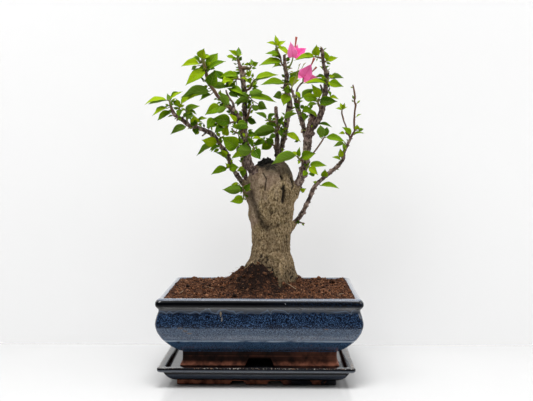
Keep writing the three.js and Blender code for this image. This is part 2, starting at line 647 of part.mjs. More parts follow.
// Leafy shoots. stem: [column, row, depth relative to the branch, radius], starting on the branch.
// leaves: [blade base column, row, blade tip column, row, width seen, reach in depth, tone].
// Tones: y young, g green, d dark, b seen from below.
const SHOOTS = {
  shoot_left_tip: {
    host: 'branch_left_low',
    stem: [[172.2, 111, 0, 1.9], [170.8, 106, -1, 1.7], [169.6, 100.8, -2, 1.3]],
    leaves: [
      [166.5, 100, 144.5, 105, 4.5, -8, 'y'], [170.4, 98.8, 183, 91.5, 3.5, 12, 'y'],
      [169.2, 100, 167, 93.5, 4, 8, 'b'], [168, 108, 152, 116, 4, -12, 'y'],
      [170, 112, 157.5, 120.5, 6, 12, 'g'], [168.6, 105.5, 165, 104, 1.5, -3, 'y'],
      [172, 102, 176.5, 98.5, 2, -4, 'y']
    ]
  },
  shoot_left_second: {
    host: 'branch_left_low',
    stem: [[178.5, 117, 0, 1.3], [179.4, 113, -2, 1.1], [179.4, 107, -4, 1]],
    leaves: [
      [181, 104, 199, 94.5, 5, -9, 'y'], [178, 105.4, 174, 101, 4, 8, 'g'],
      [179.6, 109.5, 179, 117.5, 5, -14, 'd']
    ]
  },
  shoot_left_third: {
    host: 'branch_left_low',
    stem: [[187.4, 124.4, 0, 1.3], [186.6, 118, 4, 1.1], [186.2, 111.6, 6, 1]],
    leaves: [
      [186.6, 110, 199.5, 106, 5, 14, 'g'], [187, 111, 190, 119, 6, -14, 'b'],
      [190, 110.6, 196.8, 114.5, 2.5, 12, 'g'], [185.4, 110.4, 181, 108.5, 2, 4, 'y'],
      [186, 113, 183, 118.4, 3, 8, 'b']
    ]
  },
  shoot_left_fourth: {
    host: 'branch_left_low',
    stem: [[196.6, 127.4, 0, 1.3], [196.8, 123.6, -4, 1.1], [196.8, 120.6, -5, 1]],
    leaves: [
      [196, 121.6, 193.5, 114.5, 6.5, -13, 'y'], [195.4, 124.8, 190.5, 118.5, 5.5, -8, 'd'],
      [198, 120, 207.6, 118, 3, 8, 'y'],
      [198.8, 122, 202.6, 122.6, 1.6, -3, 'y'], [198.4, 124, 202, 127, 2, -4, 'y']
    ]
  },
  shoot_left_top: {
    host: 'shoot_front_left_tip',
    stem: [
      [206.8, 78.6, 0, 2], [205.6, 70, -2, 2.2], [204.2, 64.4, -3, 2.1], [202.6, 58.4, -4, 2.3]
    ],
    leaves: [
      [200.4, 57, 204, 48.5, 7, -8, 'y'], [199, 63.6, 181, 66.5, 5.5, -10, 'y'],
      [199.6, 60.4, 194.5, 55.5, 2, 5, 'b'], [199, 61.4, 190, 58.5, 2.4, 10, 'y'],
      [196.6, 66, 191.5, 70, 3, -8, 'b'], [204, 58.6, 213, 56, 3, 10, 'y'],
      [207.4, 66.6, 218, 53, 7.5, 10, 'd'], [209, 69, 226, 61.5, 5, -8, 'g'],
      [204.4, 70.4, 185.5, 85.5, 8, -14, 'g'], [203.6, 68.8, 191, 72.4, 2.6, 12, 'y']
    ]
  },
  shoot_front_left_tip: {
    host: 'branch_front_left',
    stem: [[217.5, 96.3, 0, 2.1], [214.4, 91, -3, 2.2], [210.6, 86, -5, 1.9], [207.6, 81, -6, 1.9]],
    leaves: [
      [210.8, 85.4, 215, 70, 9, -16, 'd'], [209, 92.4, 181, 97.5, 7, -12, 'b'],
      [210.4, 94.6, 199, 101, 3.4, 14, 'd'], [203.4, 81.6, 197, 76.2, 1.6, 4, 'd']
    ]
  },
  shoot_middle_left: {
    host: 'branch_back_left',
    stem: [[243, 80, 0, 1.2], [238, 79, -8, 1.1], [231, 79.6, -14, 1], [226.6, 82.4, -18, 0.9]],
    leaves: [
      [224, 79, 213.5, 70, 6, 8, 'd'], [225.5, 86, 210, 86.5, 6, -10, 'b'],
      [238, 76.6, 226, 75, 4.5, 14, 'd'], [237, 77.4, 227, 80, 4, -14, 'y'],
      [231, 78, 229, 86, 5, -12, 'y'], [233.6, 84.6, 235, 80.4, 2.4, -4, 'y']
    ]
  },
  shoot_front_left_low: {
    host: 'branch_front_left',
    stem: [[231, 108.4, 0, 1.4], [228.6, 107, -5.5, 1.2], [225, 106.2, -8.5, 1]],
    leaves: [
      [228, 104.6, 219.5, 92, 7, -12, 'b'], [219.6, 106.6, 205, 115, 8, -12, 'g'],
      [221.6, 108.8, 222, 102.5, 4, 10, 'd'], [226, 107.6, 216.5, 112.8, 5, -14, 'b']
    ]
  },
  shoot_back_left_top: {
    host: 'branch_back_left',
    stem: [[239.9, 65.6, 0, 2.4], [238.6, 61.6, 1, 1.9], [237.4, 57.6, 1, 1.5]],
    leaves: [
      [236.6, 55.4, 228.5, 50, 3.5, -6, 'y'], [238, 55.6, 238.6, 47, 5, 6, 'b'],
      [234, 58, 226.5, 56, 3.5, 8, 'y'], [235.4, 57.6, 232, 61, 4, -6, 'g'],
      [239, 57, 242.5, 54, 1.6, 4, 'y'], [236, 64.4, 233.6, 63.2, 1.4, -2, 'd']
    ]
  },
  shoot_back_left_knob: {
    host: 'branch_back_left',
    stem: [[242, 68, 0, 2.8], [246, 68, -3, 2.8], [249.4, 68.6, -4, 2], [251.4, 66.4, -5, 0.9]],
    leaves: [
      [252.6, 64.8, 251, 59, 4, 6, 'b'], [253, 65.2, 258.4, 62.6, 4.5, -6, 'g'],
      [249.4, 64, 243.6, 65, 2.5, -4, 'y']
    ]
  },
  shoot_back_left_right: {
    host: 'branch_back_left',
    stem: [[244.4, 91, 0, 1.6], [249.6, 88.6, -4, 1.5], [252, 83.4, -6, 1.1], [254.6, 79.6, -7, 1]],
    leaves: [
      [247.4, 76, 251.6, 70, 4.6, -8, 'y'], [252.4, 77, 253.2, 73, 2.4, -3, 'y'],
      [255.6, 79, 278.6, 74.8, 5.5, -8, 'y'], [247.4, 80.4, 240.4, 78, 2.4, -8, 'y'],
      [248.4, 82, 252, 77, 4, -10, 'y'], [249, 82.4, 245.4, 78, 3, 8, 'y'],
      [251.6, 87.6, 257.4, 82, 3.4, 8, 'g']
    ]
  },
  shoot_back_left_wide: {
    host: 'branch_back_left',
    stem: [[244.4, 97, 0, 1.4], [247.4, 96.6, -10, 1.2], [249.4, 97.4, -14, 1]],
    leaves: [
      [250, 94.4, 262.6, 91.6, 8.5, -12, 'b'], [250.6, 97.6, 276.4, 102.4, 6, -8, 'g'],
      [258.4, 104, 267, 109, 8, 10, 'b'], [248, 97.6, 239, 93, 6.5, -8, 'b'],
      [241, 96.4, 227, 88, 6, 10, 'd'], [245, 99.6, 234.6, 103, 3, -10, 'y'],
      [242, 99.6, 237, 106.6, 4, -12, 'd']
    ]
  },
  shoot_back_left_spur: {
    host: 'branch_back_left',
    stem: [
      [245, 118, 0, 1.8], [247.6, 117.4, -4.5, 1.7], [249.4, 110.4, -6, 1.5], [251.4, 107, -7, 1.3],
      [253.6, 104.6, -8, 0.9]
    ],
    leaves: [[251.8, 106.6, 259.6, 108.6, 5, -10, 'b'], [247.4, 119.4, 256.4, 123.2, 5.6, 10, 'd']]
  },
  shoot_left_inner: {
    host: 'branch_front_left',
    stem: [[239, 120.4, 0, 1.3], [231, 122.6, -7, 1.2], [223, 125.4, -10, 1.1], [216.6, 123.6, -12, 0.9]],
    leaves: [
      [228.4, 122.4, 213, 119.6, 8, -9, 'd'], [212.6, 119.4, 207, 128, 5.2, -12, 'g'],
      [217.2, 126.4, 208, 127, 2.6, 10, 'g'], [221, 127, 214.5, 133, 5, -12, 'b'],
      [236.6, 121.4, 229, 114, 4, -8, 'y']
    ]
  },
  shoot_left_round: {
    host: 'branch_left_low',
    stem: [[222.6, 148, 0, 1.4], [220.4, 144.4, -6, 1.2], [218.6, 141.4, -7, 1], [220.4, 137.4, -7, 0.9]],
    leaves: [
      [216.6, 143, 202, 140.4, 8, -8, 'y'], [214.4, 144.4, 196.5, 156, 4.5, -12, 'b'],
      [219.6, 145.4, 209.5, 150.6, 4, -14, 'd'], [214.4, 148.4, 211, 152, 2, -4, 'y'],
      [219, 136, 217, 131.6, 3, -4, 'y'], [224.6, 135, 228, 127, 5, -10, 'g']
    ]
  },
  shoot_middle_round: {
    host: 'branch_front_left',
    stem: [[246, 147, 0, 1.3], [241, 147.4, -9, 1.1], [237.6, 147, -11, 1]],
    leaves: [[236.6, 146.6, 222.5, 137.4, 12, -12, 'g'], [237, 148.4, 226, 149.4, 2.4, -8, 'g']]
  },
  shoot_front_left_twig: {
    host: 'branch_front_left',
    stem: [
      [243.4, 128, 0, 1.6], [243.2, 127.4, -7.5, 1.5], [242, 131.4, -8, 1.5],
      [238, 133, -9, 1.4], [234, 131.4, -10, 1.2], [231.6, 128.6, -11, 0.9]
    ],
    leaves: [
      [237.6, 127, 232, 124.4, 4, -8, 'g'], [245, 121.6, 238, 129.4, 9, -6, 'd'],
      [240.4, 144, 239, 135.6, 4, -6, 'd']
    ]
  },
  shoot_left_elbow: {
    host: 'branch_left_low',
    stem: [[229.6, 161, 0, 1.4], [228.4, 162, -6, 1.2], [229.4, 167.6, -7, 1]],
    leaves: [
      [226.4, 158.6, 215.5, 152.4, 4, 10, 'b'], [226.4, 155.6, 220.6, 150, 6, -8, 'y'],
      [229.6, 167, 225.4, 163, 3.5, -8, 'y'], [230.4, 168, 239, 167.2, 7.4, -10, 'g'],
      [226.6, 168.4, 211, 174.6, 6, -8, 'g'], [231, 163, 233.4, 159.4, 1.6, -3, 'y']
    ]
  },
  shoot_back_left_low: {
    host: 'branch_back_left',
    stem: [[244.6, 168, 0, 1.3], [243.6, 167, -6, 1.2], [242.8, 162, -6, 1.1], [243.2, 156, -6, 1]],
    leaves: [
      [242.6, 154.4, 231, 158.8, 4.6, -10, 'g'], [242.6, 160, 240.4, 157.4, 3, -5, 'd'],
      [243.6, 168, 236.4, 171.6, 4.4, -12, 'y'], [244, 169, 242, 178.4, 4.6, -10, 'g']
    ]
  },
  shoot_trunk_left: {
    host: 'branch_left_low',
    stem: [
      [243.6, 183.4, 0, 1.4], [243.4, 190, -14, 1.2], [243.8, 195.4, -14, 1.1],
      [243.6, 198.6, -14, 1]
    ],
    leaves: [
      [242, 189, 222.5, 189.6, 8, -8, 'b'], [245, 189.6, 250.4, 183, 5.6, -16, 'd'],
      [238.4, 183.4, 231, 185, 2.6, 4, 'y'], [242.4, 199, 230, 201.6, 6, -14, 'g'],
      [243, 191, 239, 191.8, 2, -6, 'd']
    ]
  },
  shoot_front_middle: {
    host: 'branch_front_left',
    stem: [
      [247.6, 152, 0, 1.4], [251, 152, -7, 1.3], [254, 149.6, -8, 1.2], [252.6, 144.6, -9, 1],
      [249.4, 138, -10, 0.9], [248, 134.6, -11, 0.8]
    ],
    leaves: [
      [250.6, 151.6, 237.4, 150.4, 10, -12, 'b'], [255, 150, 260.4, 159.4, 8, -12, 'd'],
      [252.6, 146.6, 246.6, 137, 3.6, -6, 'd'], [252.6, 151.6, 252.4, 148.6, 2.6, -4, 'y'],
      [248.4, 134, 257, 134.4, 5, -8, 'd']
    ]
  },
  shoot_middle_low: {
    host: 'branch_middle_stub',
    stem: [[277, 147, 0, 1.4], [273, 145, -6, 1.2], [266.6, 142.4, -9, 1], [262.4, 139.6, -11, 0.8]],
    leaves: [
      [264, 140.6, 253, 146.2, 4.4, -10, 'd'], [261.4, 139, 251.6, 138.8, 3, -12, 'y'],
      [272, 143.4, 266, 137.8, 6.4, -12, 'd'], [271.4, 145.6, 262, 149.8, 6, 12, 'g']
    ]
  },
  shoot_middle_top: {
    host: 'branch_middle',
    stem: [
      [285, 67.6, 0, 1.4], [281.8, 63.6, -4, 1.2], [280.4, 57, -5, 1.2], [278, 52.4, -5, 1.8],
      [276, 48.6, -5, 2.2]
    ],
    leaves: [
      [276.4, 46, 275.2, 35, 4, 4, 'y'], [275.4, 45, 266.5, 42.6, 3, -6, 'y'],
      [277.6, 46, 285.7, 41, 3.6, 6, 'y'], [279.4, 47.6, 289.4, 55.6, 4.5, -10, 'y'],
      [278.6, 46.6, 283, 47.6, 2.6, -6, 'y'], [279.6, 54.6, 265, 53.4, 4, -10, 'g'],
      [279.6, 57, 270.6, 56.2, 3, 10, 'g'], [281, 62, 259, 65.6, 6.4, -8, 'g'],
      [281, 65.8, 272, 67.5, 2.6, 12, 'y']
    ]
  },
  shoot_middle_upper: {
    host: 'branch_middle',
    stem: [[286.4, 84.4, 0, 1.4], [286.6, 84, -6.5, 1.2], [289.6, 84.4, -7, 1]],
    leaves: [
      [284, 83.4, 260.5, 85, 6, -10, 'g'], [290, 83.4, 299.4, 75.4, 6, -12, 'y'],
      [290.8, 79, 299, 71, 3.4, 10, 'd'], [295, 78, 304, 70, 4, -14, 'b'],
      [293.6, 84.6, 300.4, 79.6, 3, -6, 'y'], [291.4, 86, 293.6, 83, 2.4, -6, 'y']
    ]
  },
  shoot_middle_node: {
    host: 'branch_middle',
    stem: [[288.2, 97, 0, 1.6], [287.4, 94.4, -6, 1.3], [286, 93, -7, 1.2]],
    leaves: [
      [281.4, 93.8, 273, 97, 7, 10, 'b'], [287, 94.8, 283.4, 105.6, 9, -10, 'g'],
      [290.4, 89.6, 282, 90.4, 6.4, -10, 'd'], [289.6, 92, 292.4, 87.6, 4, -8, 'd']
    ]
  },
  shoot_right_inner_top: {
    host: 'branch_right_inner',
    stem: [[296.4, 102.6, 0, 1.5], [298.8, 100.4, -6, 1.2], [298.2, 96.6, -9, 1]],
    leaves: [
      [296, 92, 300.8, 98.6, 3.6, -7, 'y'], [302, 97.4, 314.4, 88.8, 6, -10, 'b'],
      [299.6, 102.4, 303.4, 100.8, 1.6, -2, 'g'], [298.6, 107, 293.6, 103, 5, -10, 'd']
    ]
  },
  shoot_right_tall_top: {
    host: 'branch_right_tall',
    stem: [[322.8, 58.4, 0, 1.4], [318.6, 57.4, -4, 1.2], [315.4, 56.8, -5, 0.9]],
    leaves: [
      [314, 56.6, 294, 60.6, 5.4, 10, 'g'], [313, 57, 307.6, 53.6, 3.6, 6, 'y'],
      [315.4, 55.6, 316.6, 44.6, 7.6, -8, 'y']
    ]
  },
  shoot_right_tall_bud: {
    host: 'branch_right_tall',
    stem: [[323.4, 63, 0, 1.2], [325.4, 61.4, -1, 1.2], [327, 60.6, -1, 0.8]],
    leaves: [
      [327, 60, 324.4, 51, 4.5, 6, 'y'], [327.6, 60.4, 338, 57.6, 4.6, -8, 'y'],
      [327.4, 59.4, 331.4, 56.6, 3.4, 8, 'b']
    ]
  },
  shoot_right_tall_middle: {
    host: 'branch_right_tall',
    stem: [[326.6, 81, 0, 1.5], [327.6, 82, -6, 1.2], [328, 80, -7, 1]],
    leaves: [
      [326.6, 83, 303, 81, 4.6, -8, 'y'], [329.6, 82, 343.6, 86.6, 7, -12, 'g'],
      [329.6, 78, 343.8, 78, 4.6, 14, 'b'], [329, 76.6, 334.8, 76.4, 3, 6, 'y'],
      [324.6, 77.4, 314.8, 77, 3, 10, 'd'], [324.4, 79.4, 320.8, 75.8, 3, -5, 'y'],
      [329.4, 81.4, 331, 86.6, 3.4, -5, 'y']
    ]
  },
  shoot_right_tall_low: {
    host: 'branch_right_tall',
    stem: [[322.4, 109, 0, 1.7], [319.6, 106.6, -4, 1.5], [318.2, 103, -6, 1.2], [318, 99.6, -7, 1]],
    leaves: [
      [316.6, 98.6, 302.6, 96.6, 8.4, 12, 'g'], [316.6, 103.8, 306.6, 106.4, 3.2, -12, 'd'],
      [313, 105, 309.4, 109.4, 3, 8, 'd'], [320, 101, 337.4, 101.4, 9, -10, 'd'],
      [320, 97, 311.6, 84, 7, -10, 'y'], [329.6, 97, 338.8, 99.2, 3.2, 4, 'y']
    ]
  },
  shoot_right_inner_low: {
    host: 'branch_right_inner',
    stem: [[300.6, 117, 0, 1.5], [302.6, 112.6, -6, 1.3], [303, 110.6, -7, 1.1]],
    leaves: [
      [303, 109.4, 312, 109.8, 6.4, -12, 'g'], [305, 110.8, 318.4, 118.6, 4.2, -10, 'y'],
      [303.4, 113, 305, 121.4, 4.4, -8, 'd'], [305.6, 119, 308.6, 114.8, 2.4, 6, 'd'],
      [304, 108.6, 300.6, 105, 4, 8, 'd']
    ]
  },
  shoot_middle_leafy: {
    host: 'branch_middle_stub',
    stem: [[277, 134, 0, 1.6], [278.4, 129.6, -5, 1.3], [280.4, 124, -7, 1], [283.4, 118.8, -8, 0.8]],
    leaves: [
      [284, 118, 297.6, 113.4, 4.8, 10, 'b'], [278.6, 123, 284, 117, 4, -8, 'd'],
      [276.6, 126, 265.4, 123.6, 5, 12, 'd'], [275.6, 129.4, 250, 136.2, 9, -10, 'b'],
      [280.8, 122.6, 283.6, 128.4, 2, -4, 'd'], [275, 134.4, 268.4, 139.2, 4.4, -8, 'd'],
      [280.4, 130, 281.6, 137.4, 4.6, -8, 'd'], [280, 127.6, 284.4, 132.4, 3, 4, 'd']
    ]
  },
  shoot_middle_stub_top: {
    host: 'branch_middle_stub',
    stem: [[276.6, 121.6, 0, 1.2], [270.6, 121.4, -6, 1.1], [267.4, 119.6, -8, 0.9]],
    leaves: [
      [266.2, 118.4, 254.8, 112.6, 3.6, 10, 'd'], [268, 118.6, 276, 113.4, 4, -12, 'd'],
      [272, 120.4, 276.4, 119.4, 3, -12, 'g']
    ]
  },
  shoot_middle_right: {
    host: 'branch_middle',
    stem: [[284.8, 134.6, 0, 1.5], [285.4, 134, -6, 1.2], [287.2, 133, -9.5, 1]],
    leaves: [[287.2, 133.4, 300.8, 142, 5.6, -10, 'y'], [298.6, 140.4, 294.4, 142, 2.4, 3, 'g']]
  },
  shoot_right_low: {
    host: 'branch_right',
    stem: [[304.4, 162, 0, 1.6], [300.4, 160, -6, 1.4], [297.6, 157, -8, 1.2]],
    leaves: [
      [296, 155.6, 271.5, 164.6, 9, -14, 'b'], [299.4, 156.4, 299.6, 147, 3.8, -6, 'g'],
      [297.4, 155, 291.6, 152, 3.2, 8, 'y'], [302, 156.4, 315.6, 153.4, 9, -10, 'g'],
      [299.6, 161, 298, 164.2, 3, -4, 'y']
    ]
  },
  shoot_right_side: {
    host: 'branch_right',
    stem: [[304.6, 168, 0, 1.5], [306.4, 167.4, -5.5, 1.2], [309, 166.4, -9, 1]],
    leaves: [
      [309.8, 165.4, 326.8, 166, 5.6, 10, 'g'], [309.6, 167.2, 318, 175, 6.4, -10, 'y'],
      [314.8, 173.6, 308.4, 174, 5.4, -4, 'd'], [306.6, 171, 303, 176.4, 5.4, -6, 'g']
    ]
  },
  twig_right_red: {
    host: 'branch_right',
    stem: [
      [305.8, 160, 0, 1.5], [310.6, 156, -3, 1.2], [315, 151, -5, 1.1], [319, 145.4, -7, 1.1],
      [322.6, 140, -8, 1.1], [323.6, 138, -8, 0.9]
    ],
    leaves: [
      [322.4, 137, 320.4, 125, 8, -12, 'b'], [325, 136.4, 327, 127, 5.4, 10, 'd'],
      [326.6, 137, 345, 141.8, 6.4, -8, 'g'], [321.4, 138.4, 319.6, 136.2, 1.2, -2, 'y']
    ]
  },
  shoot_right_far: {
    host: 'branch_right_low',
    stem: [[343.4, 158.4, 0, 1.5], [342.8, 156, -5, 1.1], [344, 149.6, -6, 1], [345.2, 144.6, -6, 0.9]],
    leaves: [
      [341, 157, 340, 148.4, 5.4, -8, 'y'], [340.8, 160, 331.8, 157, 2.8, -8, 'g'],
      [344, 143.8, 333.4, 146.6, 4, -12, 'b'], [344.4, 144.6, 342.8, 149.4, 3.4, -8, 'g']
    ]
  },
  twig_right_forked: {
    host: 'branch_right_low',
    stem: [
      [350.4, 138.6, 0, 1.6], [348.8, 134.6, -1, 1.5], [346.4, 133, -2, 1.3], [346.2, 127, -1, 1],
      [344, 121.6, 0, 1], [343, 117.6, 1, 1.2], [341.9, 113.6, 1, 1.1], [342, 110, 1, 0.9]
    ],
    leaves: [
      [351, 134, 342, 127, 5, -10, 'g'], [350.4, 134.4, 346, 128.2, 3, -7, 'y'],
      [344.4, 133, 338.8, 133.6, 3, -8, 'y'], [342, 109, 340.4, 102.8, 3, 4, 'y'],
      [342.4, 109, 344.8, 102.8, 3.4, -6, 'y'], [341.6, 109.4, 335.6, 108.6, 2.6, -6, 'y'],
      [343, 109.4, 347.4, 106.8, 1.6, 4, 'y']
    ]
  },
  twig_right_far: {
    host: 'branch_right_low',
    stem: [
      [350.9, 137.8, 0, 1.7], [353, 133.4, -1, 1.4], [354.6, 130.6, -2, 1.4], [354.2, 125, -2, 1.4],
      [354.2, 119.4, -2, 1.4], [354.8, 111, -3, 1.3], [355.6, 105, -3, 1.5], [354.4, 101.2, -3, 1.3],
      [355, 97.4, -4, 1.4], [354.2, 91, -4, 1.3], [352.9, 85, -4, 1]
    ],
    leaves: [
      [356.8, 129.6, 357, 124.6, 4.8, -5, 'y'], [358, 130.2, 363.6, 129, 3.2, -6, 'b'],
      [353.6, 135, 364.8, 133.2, 1.8, 6, 'y'], [356.4, 117, 361.6, 114, 1.4, -3, 'y'],
      [357.4, 103.2, 360.2, 100.4, 1.6, -2, 'y'], [353.4, 98.6, 352.4, 95, 1.8, -2, 'g'],
      [352.6, 101.6, 352, 99.6, 1.2, -2, 'd'], [352.4, 87.6, 350.4, 87, 1.4, -1, 'y']
    ]
  }
};

// ---------------------------------------------------------------- leaves
// The blade's frame: its run from base to tip, its cross direction and its upper side.
function bladeFrame(base, tip, widthSeen, tone) {
  const run = tip.clone().sub(base);
  const length = run.length();
  const along = run.clone().normalize();
  const seenAcross = new THREE.Vector3(-along.z, 0, along.x).normalize();
  if (seenAcross.z < 0) seenAcross.negate();
  const towardEye = new THREE.Vector3().crossVectors(along, seenAcross).normalize();
  if (towardEye.y > 0) towardEye.negate();
  const width = Math.max(widthSeen, 0.44 * length);
  const roll = Math.acos(Math.min(widthSeen / width, 1));
  const upper = towardEye
    .clone()
    .multiplyScalar(tone === 'b' ? -Math.cos(roll) : Math.cos(roll))
    .addScaledVector(seenAcross, Math.sin(roll))
    .normalize();
  const across = new THREE.Vector3().crossVectors(upper, along).normalize();
  return { length, along, across, upper, width };
}

// Stations along a blade: [share of the length, share of the half width].
const BLADE_STATIONS = [[0, 0.1], [0.4, 1], [1, 0.04]];
const BLADE_FOLD = 0.12;
const BLADE_ARCH = 0.07;
const SHORT_PETIOLE = 6; // under this a blade runs straight from the stem
const ROOT_LEAD = 0.05; // share of the petiole's run left out at the middle of the stem
const EDGE_CLEARANCE = 5; // a blade's sharp edge and keel are swollen this much more
const KEEL_CLEARANCE = 3;

function leafBody(root, base, tip, widthSeen, tone, grow) {
  const { length, along, across, upper, width } = bladeFrame(base, tip, widthSeen, tone);
  const half = LEAF_THICKNESS / 2 + grow;
  const section = (centre, halfWidth) => {
    const rise = half + BLADE_FOLD * halfWidth;
    const spread = halfWidth + EDGE_CLEARANCE * grow;
    return [
      centre.clone().addScaledVector(across, spread).addScaledVector(upper, rise),
      centre.clone().addScaledVector(across, -spread).addScaledVector(upper, rise),
      centre.clone().addScaledVector(upper, -half - KEEL_CLEARANCE * grow)
    ];
  };
  const rings = BLADE_STATIONS.map(([share, spread]) => {
    const bow = BLADE_ARCH * length * 4 * share * (1 - share);
    const centre = base.clone().lerp(tip, share).addScaledVector(upper, bow);
    return section(centre, (width / 2) * spread + PETIOLE_RADIUS);
  });
  const lastCentre = tip.clone().addScaledVector(along, grow);
  rings[rings.length - 1] = section(lastCentre, PETIOLE_RADIUS * 0.5);
  if (root.distanceTo(base) < SHORT_PETIOLE) rings.shift();
  rings.unshift(section(root, PETIOLE_RADIUS));
  return toSolid(loft(rings));
}

function nearestOn(stations, column, row) {
  let best = null;
  for (let i = 0; i + 1 < stations.length; i++) {
    const [a, b] = [stations[i], stations[i + 1]];
    const [du, dv] = [b[0] - a[0], b[1] - a[1]];
    const share = ((column - a[0]) * du + (row - a[1]) * dv) / (du * du + dv * dv || 1);
    const t = Math.min(Math.max(share, 0), 1);
    const station = a.map((value, k) => value + (b[k] - value) * t);
    const distance = Math.hypot(station[0] - column, station[1] - row);
    if (!best || distance < best.distance) best = { station, distance };
  }
  return best.station;
}

function leavesOn(path, leaves, grow) {
  return leaves.map(([baseColumn, baseRow, tipColumn, tipRow, width, reach, tone]) => {
    const [rootColumn, rootRow, depth] = nearestOn(path, baseColumn, baseRow);
    const base = sighted(baseColumn, baseRow, depth + 0.15 * reach);
    const root = sighted(rootColumn, rootRow, depth).lerp(base, ROOT_LEAD);
    const tip = sighted(tipColumn, tipRow, depth + reach);
    return leafBody(root, base, tip, width * gridSize(depth), tone, grow);
  });
}

// The real path of a shoot's stem, starting on its branch.
function stemPath(shoot) {
  const hostPath = shoot.host in BRANCHES ? BRANCHES[shoot.host].path : stemPath(SHOOTS[shoot.host]);
  const [column, row] = shoot.stem[0];
  const start = nearestOn(hostPath, column, row);
  return shoot.stem.map(([u, v, offset, radius], i) =>
    i === 0 ? [start[0], start[1], start[2], radius] : [u, v, start[2] + offset, radius]
  );
}

function makeBranch({ path, spurs = [], leaves = [] }, grow = 0) {
  return joined([
    limb(stationsOf(path), LIMB_SIDES, grow),
    ...spurs.map((spur) => limb(stationsOf(spur), TWIG_SIDES, grow)),
    ...leavesOn(path, leaves, grow)
  ]);
}

function makeShoot(shoot, grow = 0) {
  const path = stemPath(shoot);
  return joined([
    limb(stationsOf(path), TWIG_SIDES, grow),
    ...leavesOn(path.slice(1), shoot.leaves, grow)
  ]);
}

// ---------------------------------------------------------------- flowers
// Each flower: its stalk on the grid, its heart, and papery bracts and tubes round the heart.
const FLOWERS = {
  flower_upper: {
    stalk: [[285.4, 67, 7, 1.3], [289.4, 66.2, 2, 1.3], [292, 61.6, -1, 1], [293, 57.4, -2, 0.9]],
    bracts: [
      [293, 57.4, 290.4, 41.8, 9.5, -10, 'g'], [293.4, 57.2, 305.8, 47.8, 8, 6, 'g'],
      [293, 57.2, 297.6, 44.4, 8, -2, 'b']
    ],
    tubes: [[293.2, 55, -3, 1], [295.2, 46, -4, 1.1], [296.3, 37.8, -4, 1.4]]
  },
  flower_lower: {
    stalk: [[303, 82.4, -23, 1], [303, 79, -26, 1]],
    bracts: [
      [303.2, 78.2, 311.4, 63.8, 13, -12, 'g'], [303, 78, 299.8, 68.6, 8, 6, 'b'],
      [303.4, 78.6, 321, 79.7, 9, -6, 'g']
    ],
    tubes: [[305, 76, -30, 1], [311.4, 64.6, -33, 1.1], [314, 58.8, -34, 1.5]]
  }
};

function makeFlower({ stalk, bracts, tubes }, grow = 0) {
  return joined([
    limb(stationsOf(stalk), TWIG_SIDES, grow),
    limb(stationsOf(tubes), TWIG_SIDES, grow),
    ...leavesOn(stalk, bracts, grow)
  ]);
}

// ---------------------------------------------------------------- assembly
const bonsai = new THREE.Group();
const tray = new THREE.Group();
tray.position.x = TRAY_OFFSET_X;
const pot = new THREE.Group();
pot.position.z = TRAY_FLOOR_Z + GAP;
bonsai.add(tray, pot);

function place(parent, name, geometry, material) {
  const mesh = new THREE.Mesh(geometry, material);
  mesh.name = name;
  parent.add(mesh);
  return mesh;
}

place(tray, 'drip_tray', toGeometry(makeTray()), GLAZE);
place(pot, 'pot', toGeometry(makePot()), GLAZE);
for (const [side, name] of [[-0.5, 'drain_mesh_left'], [0.5, 'drain_mesh_right']]) {
  const mesh = place(pot, name, toGeometry(makeDrainMesh()), PLASTIC);
  mesh.position.set(side * DRAIN_SPACING, 0, POT_FLOOR_Z + GAP);
}

const trunk = makeTrunk();
const grownTrunk = makeTrunk(GAP);
place(bonsai, 'soil', toGeometry(makeSoil().subtract(grownTrunk)), SOIL);
place(bonsai, 'trunk', toGeometry(trunk), OLD_BARK);

// Wood, paste, shoots and flowers are laid in turn, each cut clear of what is already there.
const laid = [grownTrunk];

function lay(name, solid, grownSolid, material) {
  const clear = laid
    .filter((other) => boxesMeet(other, solid))
    .reduce((left, other) => left.subtract(other), solid);
  const body = largestBody(toSolid(toGeometry(largestBody(clear)), COARSE_WELD));
  laid.push(grownSolid);
  place(bonsai, name, toGeometry(body), material);
}

for (const [name, branch] of Object.entries(BRANCHES)) {
  lay(name, makeBranch(branch), makeBranch(branch, GAP), YOUNG_BARK);
}
lay('wound_crust', makeCrust(), makeCrust(GAP), WOUND_PASTE);
for (const [name, flower] of Object.entries(FLOWERS)) {
  lay(name, makeFlower(flower), makeFlower(flower, GAP), BRACT);
}
for (const [name, shoot] of Object.entries(SHOOTS)) {
  lay(name, makeShoot(shoot), makeShoot(shoot, GAP), LEAF);
}

export default bonsai;
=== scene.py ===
"""A bougainvillea bonsai: an old trunk with young leafy branches and two flowers, in a glazed pot
with its drip tray. Sizes are in metres unless a name or a table says millimetres."""

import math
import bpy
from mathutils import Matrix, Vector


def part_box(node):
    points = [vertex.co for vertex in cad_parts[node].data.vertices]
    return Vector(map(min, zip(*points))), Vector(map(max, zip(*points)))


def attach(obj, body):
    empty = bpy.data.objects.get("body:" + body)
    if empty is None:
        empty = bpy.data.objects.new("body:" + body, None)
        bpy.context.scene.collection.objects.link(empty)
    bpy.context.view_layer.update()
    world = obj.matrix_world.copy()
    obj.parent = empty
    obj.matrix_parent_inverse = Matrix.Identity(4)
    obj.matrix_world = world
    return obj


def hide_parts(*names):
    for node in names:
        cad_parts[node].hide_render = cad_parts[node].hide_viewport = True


bl_info = {
    "name": "Bougainvillea Bonsai",
    "version": (1, 0, 0),
    "blender": (4, 5, 0),
    "location": "3D View > Sidebar > Bonsai",
    "description": "Builds a bougainvillea bonsai in a glazed pot on its drip tray",
    "category": "Add Mesh",
}

import bpy
import numpy as np
from bpy.props import FloatProperty, FloatVectorProperty, IntProperty, PointerProperty
from mathutils import Vector, noise

